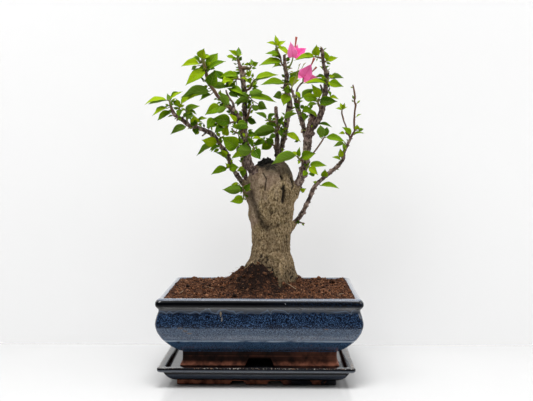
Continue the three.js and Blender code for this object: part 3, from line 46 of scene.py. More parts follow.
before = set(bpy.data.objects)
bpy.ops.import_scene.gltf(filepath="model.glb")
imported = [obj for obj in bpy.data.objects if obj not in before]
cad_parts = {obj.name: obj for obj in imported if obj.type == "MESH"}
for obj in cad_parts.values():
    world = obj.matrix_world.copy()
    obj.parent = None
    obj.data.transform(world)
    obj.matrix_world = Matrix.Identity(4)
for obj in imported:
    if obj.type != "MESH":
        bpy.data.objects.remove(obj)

# ------------------------------------------------------------------------------------- sizes
MM = 0.001
SENSOR_WIDTH_MM = 36

TRAY_LOW, TRAY_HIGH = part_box("drip_tray")
POT_LOW, POT_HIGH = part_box("pot")
TRAY_LENGTH = TRAY_HIGH.x - TRAY_LOW.x
TRAY_DEPTH = TRAY_HIGH.y - TRAY_LOW.y
TRAY_CORNER = 0.006
TRAY_X = (TRAY_HIGH.x + TRAY_LOW.x) / 2
TRAY_FLARE = 0.0016
POT_LENGTH = POT_HIGH.x - POT_LOW.x
POT_DEPTH = POT_HIGH.y - POT_LOW.y
POT_CORNER = 0.008
POT_FLARE = 0.0027
ARCH_WIDTH = 0.042
ARCH_TOP_WIDTH = 0.028
ARCH_HEIGHT = 0.012
DRAIN_X = 0.055
DRAIN_RADIUS = 0.011
DRAIN_ENDS = (0.010, 0.034)
TRAY_NOTCH_SPACING = 0.048
TRAY_NOTCH_WIDTH = 0.024
TRAY_NOTCH_TOP_SHARE = 0.6
TRAY_NOTCH_HEIGHT = 0.0055

# Where the flare of a corner starts and over what run it grows, as shares of the way from the
# middle out to both ends at once, how much a corner's radius shrinks as its wall leans in, how
# far a cut reaches past a face, and the angle from which an edge is sharp.
CORNER_START = 0.82
CORNER_RUN = 0.18
CORNER_DRAWN_IN = 0.35
CUT_SPARE = 0.001
SHARP_EDGE = math.radians(50)

# The soil: its edge, the rings of its surface, the crumbs, of which a share stays small while the
# others are twice as large, and the coir fibres.
SOIL_EDGE_Z = 0.114
SOIL_INSET = 0.0088
SOIL_HALF_X = POT_LENGTH / 2 - SOIL_INSET
SOIL_HALF_Y = POT_DEPTH / 2 - SOIL_INSET
SOIL_RINGS = 84
CRUMB_RADIUS = (0.0005, 0.0017)
SMALL_CRUMBS = 0.92
FIBRE_LENGTH = (0.003, 0.011)
FIBRE_RADIUS = (0.00010, 0.00022)

# Heights of the pot's glaze bands over the floor, from the foot up to the rim. The neck, belly and
# slope bands also carry painted reflections, and a highlight is painted along CREASE_Z.
FOOT_RIDGE = (0.0363, 0.0375)
CLAY_TOP_Z = 0.0433
SLOPE_TOP_Z = 0.0603
CREASE_Z = 0.0613
BELLY_TOP_Z = 0.0789
NECK_BOTTOM_Z = 0.0965
SHOULDER_TOP_Z = 0.0967
ARCS_Z = 0.0972
PALE_NECK = (0.0974, 0.1020)
NECK_TOP_Z = 0.1025
RIM_TOP_Z = 0.1142

# Heights between which the pot's glaze is duller than elsewhere.
DULL_LOW_BELLY = (0.0625, 0.0700)
DULL_LOW_SHOULDER = (0.0794, 0.0870)
DULL_NECK = (0.0975, 0.1056)

# Heights of the tray's glaze bands, and the lip's reach inwards from the rim.
TRAY_BLACK_SLOPE = (0.0070, 0.0100)
TRAY_COVE = (0.0105, 0.0172)
TRAY_BLACK_NECK = (0.0172, 0.0189)
TRAY_PALE_BAND = (0.0219, 0.0247)
TRAY_BLACK_RIM = (0.0250, 0.0266)
TRAY_BLACK_LIP = (-0.0114, -0.0078)
TRAY_RIM_INSET = 0.0016

# The tree is set out on the grid of the camera's view, in columns to the right and rows down. A
# station gives its column, its row and its depth behind the middle of the pot in millimetres. The
# camera stands at EYE, and GRID_REACH grid units in front of it lies the grid.
EYE = np.array([26.0, -1047.0, 288.5]) * MM
EYE_YAW = math.radians(1.0)
EYE_PITCH = math.radians(2.94)
GRID_REACH = 770
GRID_WIDTH = 533
GRID_COLUMN = 266.5
GRID_ROW = 200.5
LEVEL_AIM = math.cos(EYE_PITCH)
AIM = np.array(
    [-math.sin(EYE_YAW) * LEVEL_AIM, math.cos(EYE_YAW) * LEVEL_AIM, -math.sin(EYE_PITCH)]
)
RIGHTWARD = np.array([math.cos(EYE_YAW), math.sin(EYE_YAW), 0.0])
UPWARD = np.cross(RIGHTWARD, AIM)

# Outlines, each a list of (inset from the rim, height) in millimetres, from the middle of the
# underside, over the foot and the wall to the rim, and down inside to the middle of the floor.
POT_UNDER = [(45, 19), (42, 16), (42, 1), (40.5, 0), (30.5, 0)]
POT_WALL = [
    (29, 0.5), (27.5, 1.8), (27.2, 3), (27.6, 4.4), (29.6, 6.2), (30.2, 8), (30.4, 14), (30.4, 20.4),
    (29.8, 21.6), (26.5, 23.2), (21.5, 26.8), (16, 31.4), (11.2, 36.2), (7.6, 40.6), (6.5, 42.2),
    (4.2, 46.6), (2.1, 51), (0.7, 56.5), (0.1, 61.5), (0.5, 66.5), (1.7, 72), (2.9, 76),
    (3.4, 78.4), (3.1, 80.4), (1.6, 82.2), (0.5, 84.2), (0.1, 86.6), (0.4, 89.4), (1.4, 91.6),
    (3, 93.2), (5, 93.9), (6.8, 94), (8.2, 93.2), (8.9, 91.6),
]
POT_INSIDE = [(10, 80), (10, 65), (13, 52), (20, 42), (30, 35), (38, 28)]
TRAY_UNDER = [(36, 13.5), (34, 11.5), (34, 0.8), (33, 0)]
TRAY_WALL = [
    (22.6, 0), (22, 0.6), (22, 5.6), (21.2, 6.6), (18.6, 7.4), (15.8, 8.8), (13, 10.8),
    (10.6, 13.2), (8.6, 16), (7.2, 18.4), (6.6, 20), (6.9, 20.9), (7.6, 21.2), (3.4, 21.5),
    (1, 22), (0.2, 22.8), (0, 23.8), (0, 25.4), (0.4, 26.4), (1.3, 26.9), (2.6, 27), (7.4, 26.9),
    (9.2, 26.6), (10.2, 25.7), (10.6, 24), (11.2, 22.4), (12.4, 21.7), (14.5, 21.5),
]
TRAY_INSIDE = [(30, 21.5)]

# Mounds on the soil in millimetres: (height, x, y, spread along x, spread along y).
SOIL_MOUNDS = [
    (16, 14, -2, 52, 46), (17, -24, 4, 20, 24), (27, -4, -32, 26, 19), (6, -62, 12, 30, 40),
    (7, 50, 4, 9, 20),
]

# The soil's sides and underside, (inset from the pot's rim, height) in millimetres, from the
# middle up, and its straws and yellow scraps, (one end, the other end, radius) in metres.
SOIL_SKIRT = [(39, 51.8), (31.5, 57.5), (21.2, 64.5), (14.2, 74), (10.6, 88), (10.6, 106)]
SOIL_STRAWS = [
    ((0.036, -0.036), (0.047, -0.045), 0.0004), ((-0.074, -0.02), (-0.062, -0.03), 0.0003),
    ((0.101, -0.061), (0.109, -0.052), 0.0003), ((-0.106, -0.05), (-0.101, -0.042), 0.0003),
]

# Trunk outline on the grid: (row, left column, right column, half depth in mm).
TRUNK_OUTLINE = [
    (282, 238, 299.5, 40), (272, 242, 296, 36), (266, 245, 294, 32), (261, 248, 292.5, 29.5),
    (254, 251, 290.3, 26.5), (244, 252.2, 289.8, 25), (234, 251.5, 290.5, 25),
    (224, 250.5, 292.3, 27), (216, 248.2, 293.3, 28), (207, 248.6, 294, 29.5),
    (199, 245.6, 294.6, 31), (193, 244.8, 298, 32), (187, 245.4, 299, 32), (181, 247, 294, 31),
    (175, 249, 292.6, 29), (169, 252.5, 290.2, 25.5), (165, 257, 287.8, 20.5),
    (162.5, 262, 285.6, 15),
]
TRUNK_FOOT_Z = 0.092
TRUNK_VOXEL = 0.00085

# The trunk's flutes, as shares of its radius, are shallower above a height.
FLUTES_EASE_Z = 0.20
FLUTES_BELOW = 0.03
FLUTES_ABOVE = 0.012

# Surface roots and stubs: (column, row, depth, radius in mm) outwards from the trunk.
ROOTS = [
    [(280, 255, -20, 6), (281.5, 268, -31, 4.6), (281, 279, -38, 4), (280, 290, -44, 3)],
    [(262, 256, -18, 7), (254, 270, -30, 6), (247, 283, -36, 5), (238, 294, -40, 3)],
    [(287, 256, 0, 6), (291, 269, -6, 5), (293, 284, -10, 4), (294, 296, -12, 2.5)],
    [(268, 262, 20, 8), (264, 276, 34, 6), (258, 290, 44, 4), (252, 300, 50, 3)],
]
FINE_ROOTS = [
    [(277.5, 257, -23, 2.4), (278.6, 264, -28, 2.2), (280.4, 272, -34, 1.8), (280.8, 280, -39, 1.2)],
    [(273.4, 258, -24, 2), (272.4, 266, -29, 1.7), (275, 273, -34, 1.2), (277, 278, -38, 0.8)],
    [(284, 257, -20, 2.2), (286.4, 266, -26, 1.9), (286, 275, -32, 1.3), (288, 281, -36, 0.9)],
    [(255, 259, -20, 3.4), (252.4, 262.6, -24, 3.2), (250.8, 264.4, -27, 2.8)],
]
TRUNK_STUBS = [
    [(251, 192, -8, 6), (247.5, 192.3, -12, 4.8), (245.2, 192.6, -14, 3.6)],
    [(291.5, 190, -4, 6), (293.2, 183.5, -6, 3.2), (293.8, 181.8, -7, 1.8)],
]

# The bark turns from smooth to fissured at one row. A branch that starts under the other one
# grows from the trunk itself.
TRUNK_ROUGH_ROW = 204
BRANCH_ON_TRUNK_ROW = 160

# Marks on the front of the trunk: (stations on the grid, reach in grid units, depth in mm, how dark). A
# negative depth stands out and a negative darkness is pale. A positive darkness is painted shade in the
# cracks, holes and hollows, with a broad band of it low on the trunk.
TRUNK_MARKS = [
    ([(284, 186), (284.2, 194), (283.2, 202)], 3.4, 2.8, 0.95),
    ([(281.6, 188.6), (285.6, 190.4), (284.6, 194)], 2.6, 1.4, 0.85),
    ([(281.2, 176), (282.6, 178.6)], 2.4, 2.2, 1.0),
    ([(262.8, 173), (266.2, 178.6), (264.8, 190)], 1.3, 1.4, 0.85),
    ([(250, 192), (251.8, 200), (256.6, 213), (263, 226), (266.4, 229)], 7.0, 2.4, 0.62),
    ([(250.6, 196), (252.4, 203)], 2.4, 1.0, 0.4),
    ([(267, 227), (274, 228), (281, 224)], 3.6, 0.8, 0.42),
    ([(271.9, 223.6), (272, 224)], 1.2, 1.2, 0.8),
    ([(286.6, 235), (286.8, 247)], 0.8, 1.6, 0.9),
    ([(285.2, 240), (285.8, 249)], 0.8, -0.7, -0.8),
    ([(290.5, 178), (293.5, 186), (292, 190)], 1.6, 1.2, 0.85),
    ([(289, 184), (292.6, 196)], 2.0, -0.9, -0.3),
    ([(256, 249), (264, 252.4)], 1.0, -0.5, -0.6),
    ([(271, 236), (273, 241)], 1.8, -0.3, -0.4),
    ([(259.6, 170), (258, 182), (259.4, 196)], 2.6, -0.9, -0.25),
    ([(245.2, 192.2), (245.8, 193.6)], 2.2, -0.2, -1.6),
    ([(278.6, 262), (280.4, 273)], 1.0, -0.4, -0.9),
    ([(255, 256), (264, 258.6), (275, 260)], 7.0, 0.0, 0.32),
    ([(251.4, 261.6), (252.2, 262.6)], 1.9, -0.4, -1.3),
    ([(272, 231), (274, 243)], 5.0, 0.0, -0.2),
]

# Small leaves at the knots of a branch: (the share of its length where they start, how many,
# their length in metres).
SMALL_LEAVES = {
    "branch_left_low": (0.45, 24, 0.0082), "branch_front_left": (0.35, 30, 0.0092),
    "branch_back_left": (0.28, 38, 0.0094), "branch_middle": (0.35, 24, 0.0080),
    "branch_right_inner": (0.4, 7, 0.006), "branch_right_tall": (0.45, 9, 0.006),
    "branch_right": (0.6, 4, 0.006), "branch_right_low": (0.6, 9, 0.0045),
}

# Runs of sealing paste on the bark: (line on the grid, reach, softness, strength).
PASTE_RUNS = [([(260, 163), (273, 165)], 3.6, 3.5, 1.0), ([(270, 165), (287, 168)], 4.0, 8, 0.75)]

# Finishes of the tree by number, and how far each kind of leaf has gone from young to old. The dark
# kind stands for old leaves and for leaves in shade, so its darkness is partly painted shade.
BARK, LEAF_UPPER, LEAF_UNDER, STEM, TUBE, BRACT, SCALE = range(7)
LEAF = (LEAF_UPPER, LEAF_UNDER)
TINTS = {"y": 0.08, "g": 0.5, "d": 0.95, "b": 0.6}

# Leaves: how much wider than it shows a blade is made, its least width as a share of its length,
# the shortest stalk that is made and the radius of a small leaf's stalk. Then how ruffled a bract
# is, and how far the swelling of a knot reaches along the wood.
LEAF_SPARE = 1.08
LEAF_WIDTH_SHARE = 0.46
SHORTEST_STALK = 0.0008
SMALL_STALK_RADIUS = 0.00034
BRACT_RUFFLE = 0.10
KNOT_REACH = 0.0011

# Rear leaves: the front leaves longer than this on the grid have one, with these shares of their
# length and width.
SHORTEST_WITH_REAR = 8.5
REAR_LENGTH = 0.84
REAR_WIDTH = 0.8

# The stage: its half length, where the floor starts and ends, and the wall.
STAGE_HALF = 3
FLOOR_START = -0.62
FLOOR_END = 4
WALL_Y = 0.154
WALL_TOP = 2.2

# A leaf, a bract or a scale is a row of (base column, base row, tip column, tip row, the width that
# shows in grid units, how much deeper its tip lies in mm, kind). The kinds are "y" for young or pale,
# "g" for grown, "d" for dark leaves, old ones and ones painted darker for the shade they lie in, and
# "b" for one that shows its under side.

# Dry scales and dead tips on the wood.
DRY_SCALES = {
    "branch_middle": [
        (288, 70, 292.6, 68.4, 1.6, -6, "y"), (289, 73, 294, 72.6, 1.4, -8, "y"),
        (285, 57, 287, 53.4, 1.2, -3, "g"), (289.6, 100.6, 293, 97.4, 1.4, -5, "y"),
    ],
    "branch_right_inner": [(299, 66.6, 300.8, 63.4, 1.2, -4, "g"), (303, 66, 306, 62.6, 1.2, -4, "g")],
    "branch_back_left": [
        (244.6, 76, 247.4, 78, 1.4, -6, "y"), (242, 73, 240.2, 75.4, 1.4, -6, "y"),
        (247, 110, 250, 112, 1.2, -4, "y"), (243.4, 84, 245.4, 86, 1.2, -5, "y"),
    ],
    "branch_left_low": [
        (178, 119, 176.6, 121.4, 1.4, -4, "y"), (206, 133, 203, 136.4, 1.2, -3, "y"),
        (190, 127.6, 187.8, 129.4, 1.3, -4, "y"),
    ],
    "branch_right_tall": [(322, 48.6, 320, 46.4, 1.1, -2, "g"), (325.6, 74, 328, 72.6, 1.2, -4, "y")],
    "branch_right": [(303, 130, 301.4, 133, 1.3, -4, "y")],
}

# Flaws in the pot's front glaze: (x, height, half width, half height in mm, colour).
POT_FLAWS = [
    (-93, 75.5, 3.4, 1.6, (0.085, 0.064, 0.048)), (-87, 72.2, 3.2, 1.4, (0.105, 0.075, 0.052)),
    (-48, 97, 1.2, 3.0, (0.30, 0.23, 0.15)), (-46.5, 90.5, 1.0, 2.6, (0.24, 0.22, 0.20)),
    (33, 110.4, 0.55, 0.5, (0.75, 0.75, 0.78)), (84.5, 78.6, 2.6, 0.9, (0.090, 0.050, 0.032)),
    (66, 55, 0.9, 0.9, (0.10, 0.045, 0.025)), (-103, 59.5, 3.6, 1.2, (0.008, 0.012, 0.022)),
    (-99, 79.4, 3.4, 1.4, (0.075, 0.062, 0.055)), (18, 90, 3.0, 1.4, (0.004, 0.007, 0.016)),
    (-20, 94, 6.0, 1.2, (0.004, 0.007, 0.016)), (-80, 95, 9.0, 1.3, (0.004, 0.007, 0.016)),
]

# The black crust of sealing paste: its middle on the grid, and rings of (spread, rise in mm).
CRUST_CENTRE = (266.8, 165.5, -4)
CRUST_RADIUS_MM = 12.5
CRUST_RINGS = [(1.02, -7), (1.1, -3), (1.0, 2), (0.72, 6.2), (0.45, 8.4), (0.2, 9.3)]

# Flowers: the stalk, the papery bracts and the slender tubes. The stations of stalks and tubes
# are (column, row, depth, radius in mm).
FLOWERS = {
    "flower_upper": {
        "stalk": [(285.4, 67, 7, 1.3), (289.4, 66.2, 2, 1.3), (292, 61.6, -1, 1), (293, 57.4, -2, 0.9)],
        "bracts": [
            (293, 57.4, 290.4, 41.8, 9.5, -10, "g"), (293.4, 57.0, 306.2, 48.2, 10.5, 3, "y"),
            (293, 57.2, 297.6, 44.4, 8, -2, "b"),
        ],
        "tubes": [[(293.2, 55, -3, 1), (295.2, 46, -4, 1.1), (296.3, 37.8, -4, 1.4)]],
    },
    "flower_lower": {
        "stalk": [(303, 82.4, -23, 1), (303, 79, -26, 1)],
        "bracts": [
            (303.2, 78.2, 311.4, 63.8, 13, -12, "g"), (303, 78, 299.8, 68.6, 8, 6, "b"),
            (303.4, 78.6, 321, 79.7, 9, -6, "g"),
        ],
        "tubes": [
            [(305, 76, -30, 1), (311.4, 64.6, -33, 1.1), (314, 58.8, -34, 1.5)],
            [(306, 76, -29, 0.9), (312, 71.6, -31, 0.9), (316, 67.6, -31, 1.2)],
        ],
    },
}

# Leaves that start left of this column, where the crown is fuller, are made wider than they are
# set out, apart from the narrow ones.
FULL_CROWN_COLUMN = 292
NARROW_LEAF = 2.0
LEAF_WIDENING = 1.075

# Branches and shoots, with stations of (column, row, depth, radius in mm). The depths of a
# shoot's stem are counted from the place where it leaves its host.
BRANCHES = {}
SHOOTS = {}


def widened(leaf):
    """A leaf as it is made: a bit wider than set out where the crown is fuller, to a tenth."""
    column, width = leaf[0], leaf[4]
    if column >= FULL_CROWN_COLUMN or width < NARROW_LEAF:
        return leaf
    return (*leaf[:4], round(width * LEAF_WIDENING, 1), *leaf[5:])


def branch(name, path, spurs=(), leaves=()):
    """Sets out a branch: its path from the trunk outwards, its spurs and leaves on its wood."""
    leaves = [widened(leaf) for leaf in leaves]
    BRANCHES[name] = {"path": path, "spurs": spurs, "leaves": leaves}


def shoot(name, host, stem, leaves):
    """Sets out a shoot: what it grows on, its stem with depths from its foot, and its leaves."""
    leaves = [widened(leaf) for leaf in leaves]
    SHOOTS[name] = {"host": host, "stem": stem, "leaves": leaves}


branch("branch_left_low", [
    (250, 188, -2, 3.6), (244, 183.5, -3, 3.4), (238, 177, -6, 3.1), (233, 168.5, -9, 2.9),
    (229, 159, -13, 2.9), (226, 152, -17, 2.8), (221, 146.5, -21, 2.7), (217, 139.5, -25, 2.8),
    (211, 133.2, -28, 3.2), (206, 131, -31, 3), (200, 128.5, -34, 2.8), (195, 127, -36, 2.8),
    (190, 126, -38, 2.8), (187, 124, -40, 2.7), (183, 120.5, -42, 2.6), (178.5, 117, -44, 2.5),
    (174.5, 114.3, -46, 2.4), (172, 110, -48, 2.2),
], spurs=[
    [(207, 131.5, -31, 1.6), (204.5, 134, -31, 1.1), (202, 136, -30, 0.7)],
    [(178.5, 117, -44, 1.8), (177.5, 120, -45, 1.2)],
], leaves=[
    (185.6, 126.4, 170.5, 134.5, 6, 8, "b"), (196, 128.4, 195.4, 134.6, 6, -7, "d"),
])
branch("branch_front_left", [
    (258, 182, -14, 6), (253.5, 173.5, -19, 5.8), (249.5, 166, -22, 5.4), (248, 160, -24, 5),
    (247, 153, -26, 4.8), (246, 146, -28, 4.6), (245, 138, -30, 4.5), (243.5, 131, -32, 4.4),
    (241, 124, -34, 4.2), (237.2, 117, -36, 4), (233.4, 110.5, -39, 3.6), (229, 106.8, -41, 2.8),
    (225, 104, -43, 2.2), (221.5, 100, -45, 2), (217.5, 96.3, -47, 2),
], spurs=[
    [
        (234.5, 112, -39, 2), (232.8, 103, -42, 1.5), (229.5, 98.5, -43, 1.4), (227.2, 94.2, -44, 1.3),
        (226, 90.2, -44, 1),
    ],
    [(253, 170, -22, 2), (255.5, 166.3, -25, 1.6)],
])
branch("branch_back_left", [
    (252, 190, 8, 3.2), (246.5, 182, 14, 2.9), (245, 172, 18, 2.8), (243.6, 164, 20, 2.8),
    (243.4, 152, 24, 3), (244, 140, 27, 3.3), (244.8, 129, 30, 3.4), (245, 118, 32, 3.5),
    (244.8, 107, 34, 3.4), (244.4, 96, 36, 3.4), (243.8, 88, 37, 3.3), (243, 81, 38, 3.2),
    (242.8, 76, 39, 3.8), (241.5, 71.5, 40, 3.5), (240, 66, 41, 2.8),
], spurs=[
    [(244, 115, 28, 1.6), (243.6, 119, 26, 1.2)],
])
branch("branch_middle_stub", [
    (279.5, 168, 4, 3.6), (277.8, 157, 4, 3.4), (276.9, 148, 3, 3.2), (277, 138, 2, 3),
    (276.8, 126, 1, 2.8), (276.2, 115, 0, 2.6), (275.9, 107.2, -1, 2.6),
], spurs=[
    [(276.8, 149.5, 3, 2), (274, 147.2, 1, 1.5)],
])
branch("branch_middle", [
    (282.5, 168, 16, 3.8), (280.4, 155, 17, 3.5), (282.4, 144, 17, 3.4), (284.6, 135, 17, 3.3),
    (286.6, 124, 16, 3.2), (287.6, 115, 15, 3.4), (289.3, 108, 14, 3.8), (289.8, 102.5, 13, 3.8),
    (288.6, 97, 12, 3.2), (287, 92.5, 11, 3.2), (286.2, 87, 10, 3.4), (286.4, 81, 9, 3),
    (286.7, 76, 8, 2.9), (285.6, 71, 8, 2.6), (285, 65, 7, 2.4), (284.3, 55.4, 6, 2.1),
], spurs=[
    [(290, 108, 14, 2), (292.6, 108.6, 12, 1.2)],
    [(286, 88, 9, 2.4), (283.8, 87.4, 6, 2)],
], leaves=[
    (283, 129, 288.3, 128.5, 2.6, -6, "y"), (281, 150, 285, 149.6, 3, -7, "y"),
])
branch("branch_right", [
    (292, 193, -6, 6.4), (298, 184, -9, 5.6), (301.8, 175, -12, 5.3), (304.4, 166.5, -14, 5),
    (305.9, 158, -16, 5), (306.9, 148, -18, 5), (308, 139, -19, 5.6), (310.2, 130, -20, 5.6),
    (312, 122.5, -21, 5.4), (313.3, 116, -22, 4.4),
], spurs=[
    [(297.5, 184, -10, 2.6), (297.3, 180, -13, 1.8), (297.6, 177.2, -14, 1)],
    [(303, 128, -16, 1.6), (301.6, 132.5, -18, 1.4)],
], leaves=[
    (301, 191.2, 306.3, 188.4, 4.6, -6, "y"),
])
branch("branch_right_inner", [
    (307, 138, -12, 4), (304.2, 130, -12, 3.3), (302.4, 123, -12, 2.9), (300.4, 116.5, -12, 2.8),
    (298.2, 110.5, -12, 3.1), (296.7, 104.5, -13, 2.9), (295.4, 99.5, -14, 2.2), (293, 93.8, -15, 1.7),
    (291.4, 88.5, -16, 1.3),
], spurs=[
    [
        (296, 101, -14, 1.6), (296.8, 91, -18, 1.2), (298.4, 87, -20, 1.2), (301.2, 83.6, -22, 1.1),
        (303, 82.4, -23, 1),
    ],
    [(298.5, 107, -13, 1.6), (299.6, 100.5, -17, 1.1)],
])
branch("branch_right_tall", [
    (312, 127.5, -21, 4.2), (316.2, 122.8, -26, 4), (319.6, 117.8, -29, 3.8), (321.8, 111, -32, 3.7),
    (323.2, 104.5, -35, 3.5), (324.2, 98, -37, 3.3), (325.2, 91.5, -39, 3), (326, 84.5, -41, 2.9),
    (326.6, 76.5, -43, 3.2), (326, 71, -44, 3), (323.8, 65.5, -46, 2.3), (322.8, 58, -47, 2.2),
    (322.6, 53, -48, 2.4), (321, 47.8, -49, 1.5),
], spurs=[
    [(322, 52, -48, 1.6), (319.3, 50.2, -49, 1)],
    [(326.2, 95, -38, 1.4), (328.2, 91.6, -36, 1.2), (329.6, 88.3, -35, 0.9)],
    [(324, 94, -38, 1.6), (321.8, 88.4, -42, 1.4), (320.4, 85, -44, 1.1)],
], leaves=[
    (318.6, 124, 332, 127.2, 3.4, -6, "d"), (324.5, 69.5, 329.8, 65.8, 2, -4, "g"),
    (322.8, 69.4, 319.5, 66, 1.6, -5, "y"), (328.5, 91, 330.6, 97, 2.6, -5, "g"),
])
branch("branch_right_low", [
    (287, 231, 8, 4.4), (291.6, 226.4, 12, 3.8), (296.6, 220.6, 16, 3.3), (301.6, 214.2, 20, 3),
    (305.6, 206, 25, 3), (309.6, 198, 29, 2.9), (312.6, 190.4, 32, 2.9), (316.4, 184.4, 35, 2.8),
    (321.4, 179.8, 38, 2.7), (326.6, 175.2, 41, 2.7), (332.6, 170.2, 44, 2.7), (337.4, 166.4, 46, 2.8),
    (341, 162, 48, 2.5), (343.2, 158.8, 49, 2.5), (343.8, 153, 50, 2.4), (346.4, 147, 51, 2.2),
    (348.6, 142.2, 52, 2), (350.9, 137.6, 53, 1.9),
], spurs=[
    [(306, 205.4, 25, 1.8), (304.6, 203.4, 23, 1)],
    [(313.6, 189, 32, 1.8), (312.3, 188, 30, 1)],
    [(337.8, 166.4, 46, 1.8), (336.8, 164, 45, 1)],
    [(298, 222, 14, 1.2), (304.6, 223.4, 8, 0.8)],
    [(326.6, 175.2, 41, 2), (330, 174.2, 38, 1.4)],
], leaves=[
    (296.8, 220.6, 299, 224.4, 3.6, -7, "d"), (302.4, 223.4, 304, 225.8, 2, -2, "g"),
    (317, 182.8, 312.8, 181.8, 3, -4, "y"), (320.8, 185.6, 339.2, 188.6, 4.6, -7, "g"),
    (324, 177, 325, 169, 6.6, -8, "g"),
])
shoot("shoot_left_tip", "branch_left_low", [
    (172.2, 111, 0, 1.9), (170.8, 106, -1, 1.7), (169.6, 100.8, -2, 1.3),
], [
    (166.5, 100, 144.5, 105, 4.5, -8, "y"), (170.4, 98.8, 183, 91.5, 3.5, 12, "y"),
    (169.2, 100, 167, 93.5, 4, 8, "b"), (168, 108, 152, 116, 4, -12, "y"),
    (170, 112, 157.5, 120.5, 6, 12, "g"), (168.6, 105.5, 165, 104, 1.5, -3, "y"),
    (172, 102, 176.5, 98.5, 2, -4, "y"),
])
shoot("shoot_left_second", "branch_left_low", [
    (178.5, 117, 0, 1.3), (179.4, 113, -2, 1.1), (179.4, 107, -4, 1),
], [
    (181, 104, 199, 94.5, 5.6, -9, "y"), (179.4, 106, 173.6, 100.4, 4.6, 8, "g"),
    (179.6, 104.6, 175.6, 98.6, 3.4, -6, "y"), (182, 106.6, 177, 103, 3.4, -9, "y"),
    (179.6, 109.5, 179, 117.5, 5, -14, "d"),
])
shoot("shoot_left_third", "branch_left_low", [
    (187.4, 124.4, 0, 1.3), (186.6, 118, 4, 1.1), (186.2, 111.6, 6, 1),
], [
    (185.4, 109.8, 200, 106, 5.4, 14, "g"), (187, 110.6, 190.4, 119, 7, -14, "b"),
    (190, 110.6, 196.8, 114.5, 2.5, 12, "g"), (185.4, 110.4, 181, 108.5, 2, 4, "y"),
    (186, 113, 183, 118.4, 3, 8, "b"),
])
shoot("shoot_left_fourth", "branch_left_low", [
    (196.6, 127.4, 0, 1.3), (196.8, 123.6, -4, 1.1), (196.8, 120.6, -5, 1),
], [
    (195.6, 122, 193.5, 114.5, 7.4, -13, "y"), (195.4, 124.8, 190, 117.8, 6.4, -8, "d"),
    (198, 120, 207.6, 118, 3, 8, "y"), (198.8, 122, 202.6, 122.6, 1.6, -3, "y"),
    (198.4, 124, 202, 127, 2, -4, "y"),
])
shoot("shoot_left_top", "shoot_front_left_tip", [
    (206.8, 78.6, 0, 2), (205.6, 70, -2, 2.2), (204.2, 64.4, -3, 2.1), (202.6, 58.4, -4, 2.3),
], [
    (200.4, 57.6, 204.2, 48.4, 8.4, -8, "y"), (199, 63.6, 181, 66.5, 6.2, -10, "y"),
    (199.6, 60.4, 194.5, 55.5, 2, 5, "b"), (199, 61.4, 190, 58.5, 2.4, 10, "y"),
    (196.6, 66, 191.5, 70, 3, -8, "b"), (204, 58.6, 213, 56, 3, 10, "y"),
    (206.6, 67.6, 218, 53, 9.4, 10, "g"), (209, 69, 226, 61.5, 5, -8, "g"),
    (204.4, 70.4, 185.5, 85.5, 9.4, -14, "y"), (214.6, 68.4, 192, 72.6, 5, 8, "g"),
])
shoot("shoot_front_left_tip", "branch_front_left", [
    (217.5, 96.3, 0, 2.1), (214.4, 91, -3, 2.2), (210.6, 86, -5, 1.9), (207.6, 81, -6, 1.9),
], [
    (210.8, 85.4, 215, 69.8, 11, -16, "d"), (209, 91.4, 181, 97.5, 8.4, -12, "b"),
    (210.4, 94.6, 199, 101, 3.4, 14, "d"), (203.4, 81.6, 197, 76.2, 1.6, 4, "d"),
])
shoot("shoot_middle_left", "branch_back_left", [
    (243, 80, 0, 1.2), (238, 79, -8, 1.1), (231, 79.6, -14, 1), (226.6, 82.4, -18, 0.9),
], [
    (224, 79, 213.5, 70, 6, 8, "d"), (225.5, 86, 210, 86.5, 6, -10, "b"),
    (238, 76.6, 226, 75, 4.5, 14, "d"), (237, 77.4, 227, 80, 4, -14, "y"),
    (231, 78, 229, 86, 5, -12, "y"), (233.6, 84.6, 235, 80.4, 2.4, -4, "y"),
    (237, 75.6, 219.6, 77.4, 6, -10, "g"), (236.4, 86, 221.6, 88.6, 4.8, -10, "g"),
    (227.6, 78, 223.6, 84.4, 6, -16, "y"), (221.6, 82, 232.6, 80.6, 4.4, -12, "y"),
])
shoot("shoot_front_left_low", "branch_front_left", [
    (231, 108.4, 0, 1.4), (228.6, 107, -5.5, 1.2), (225, 106.2, -8.5, 1),
], [
    (228, 104.6, 219.5, 92, 7, -12, "b"), (219.8, 106.2, 205, 115, 9, -12, "g"),
    (221.6, 108.8, 222, 102.5, 4, 10, "d"), (226, 107.6, 216.5, 112.8, 5, -14, "b"),
])
shoot("shoot_back_left_top", "branch_back_left", [
    (239.9, 65.6, 0, 2.4), (238.6, 61.6, 1, 1.9), (237.4, 57.6, 1, 1.5),
], [
    (236.6, 55.4, 228.5, 50, 3.5, -6, "y"), (238, 55.6, 238.6, 47, 5, 6, "b"),
    (234, 58, 226.5, 56, 3.5, 8, "y"), (235.4, 57.6, 232, 61, 4, -6, "g"),
    (239, 57, 242.5, 54, 1.6, 4, "y"), (236, 64.4, 233.6, 63.2, 1.4, -2, "d"),
])
shoot("shoot_back_left_knob", "branch_back_left", [
    (242, 68, 0, 2.8), (246, 68, -3, 2.8), (249.4, 68.6, -4, 2), (251.4, 66.4, -5, 0.9),
], [
    (252.6, 64.8, 251, 59, 4, 6, "b"), (253, 65.2, 258.4, 62.6, 4.5, -6, "g"),
    (249.4, 64, 243.6, 65, 2.5, -4, "y"),
])
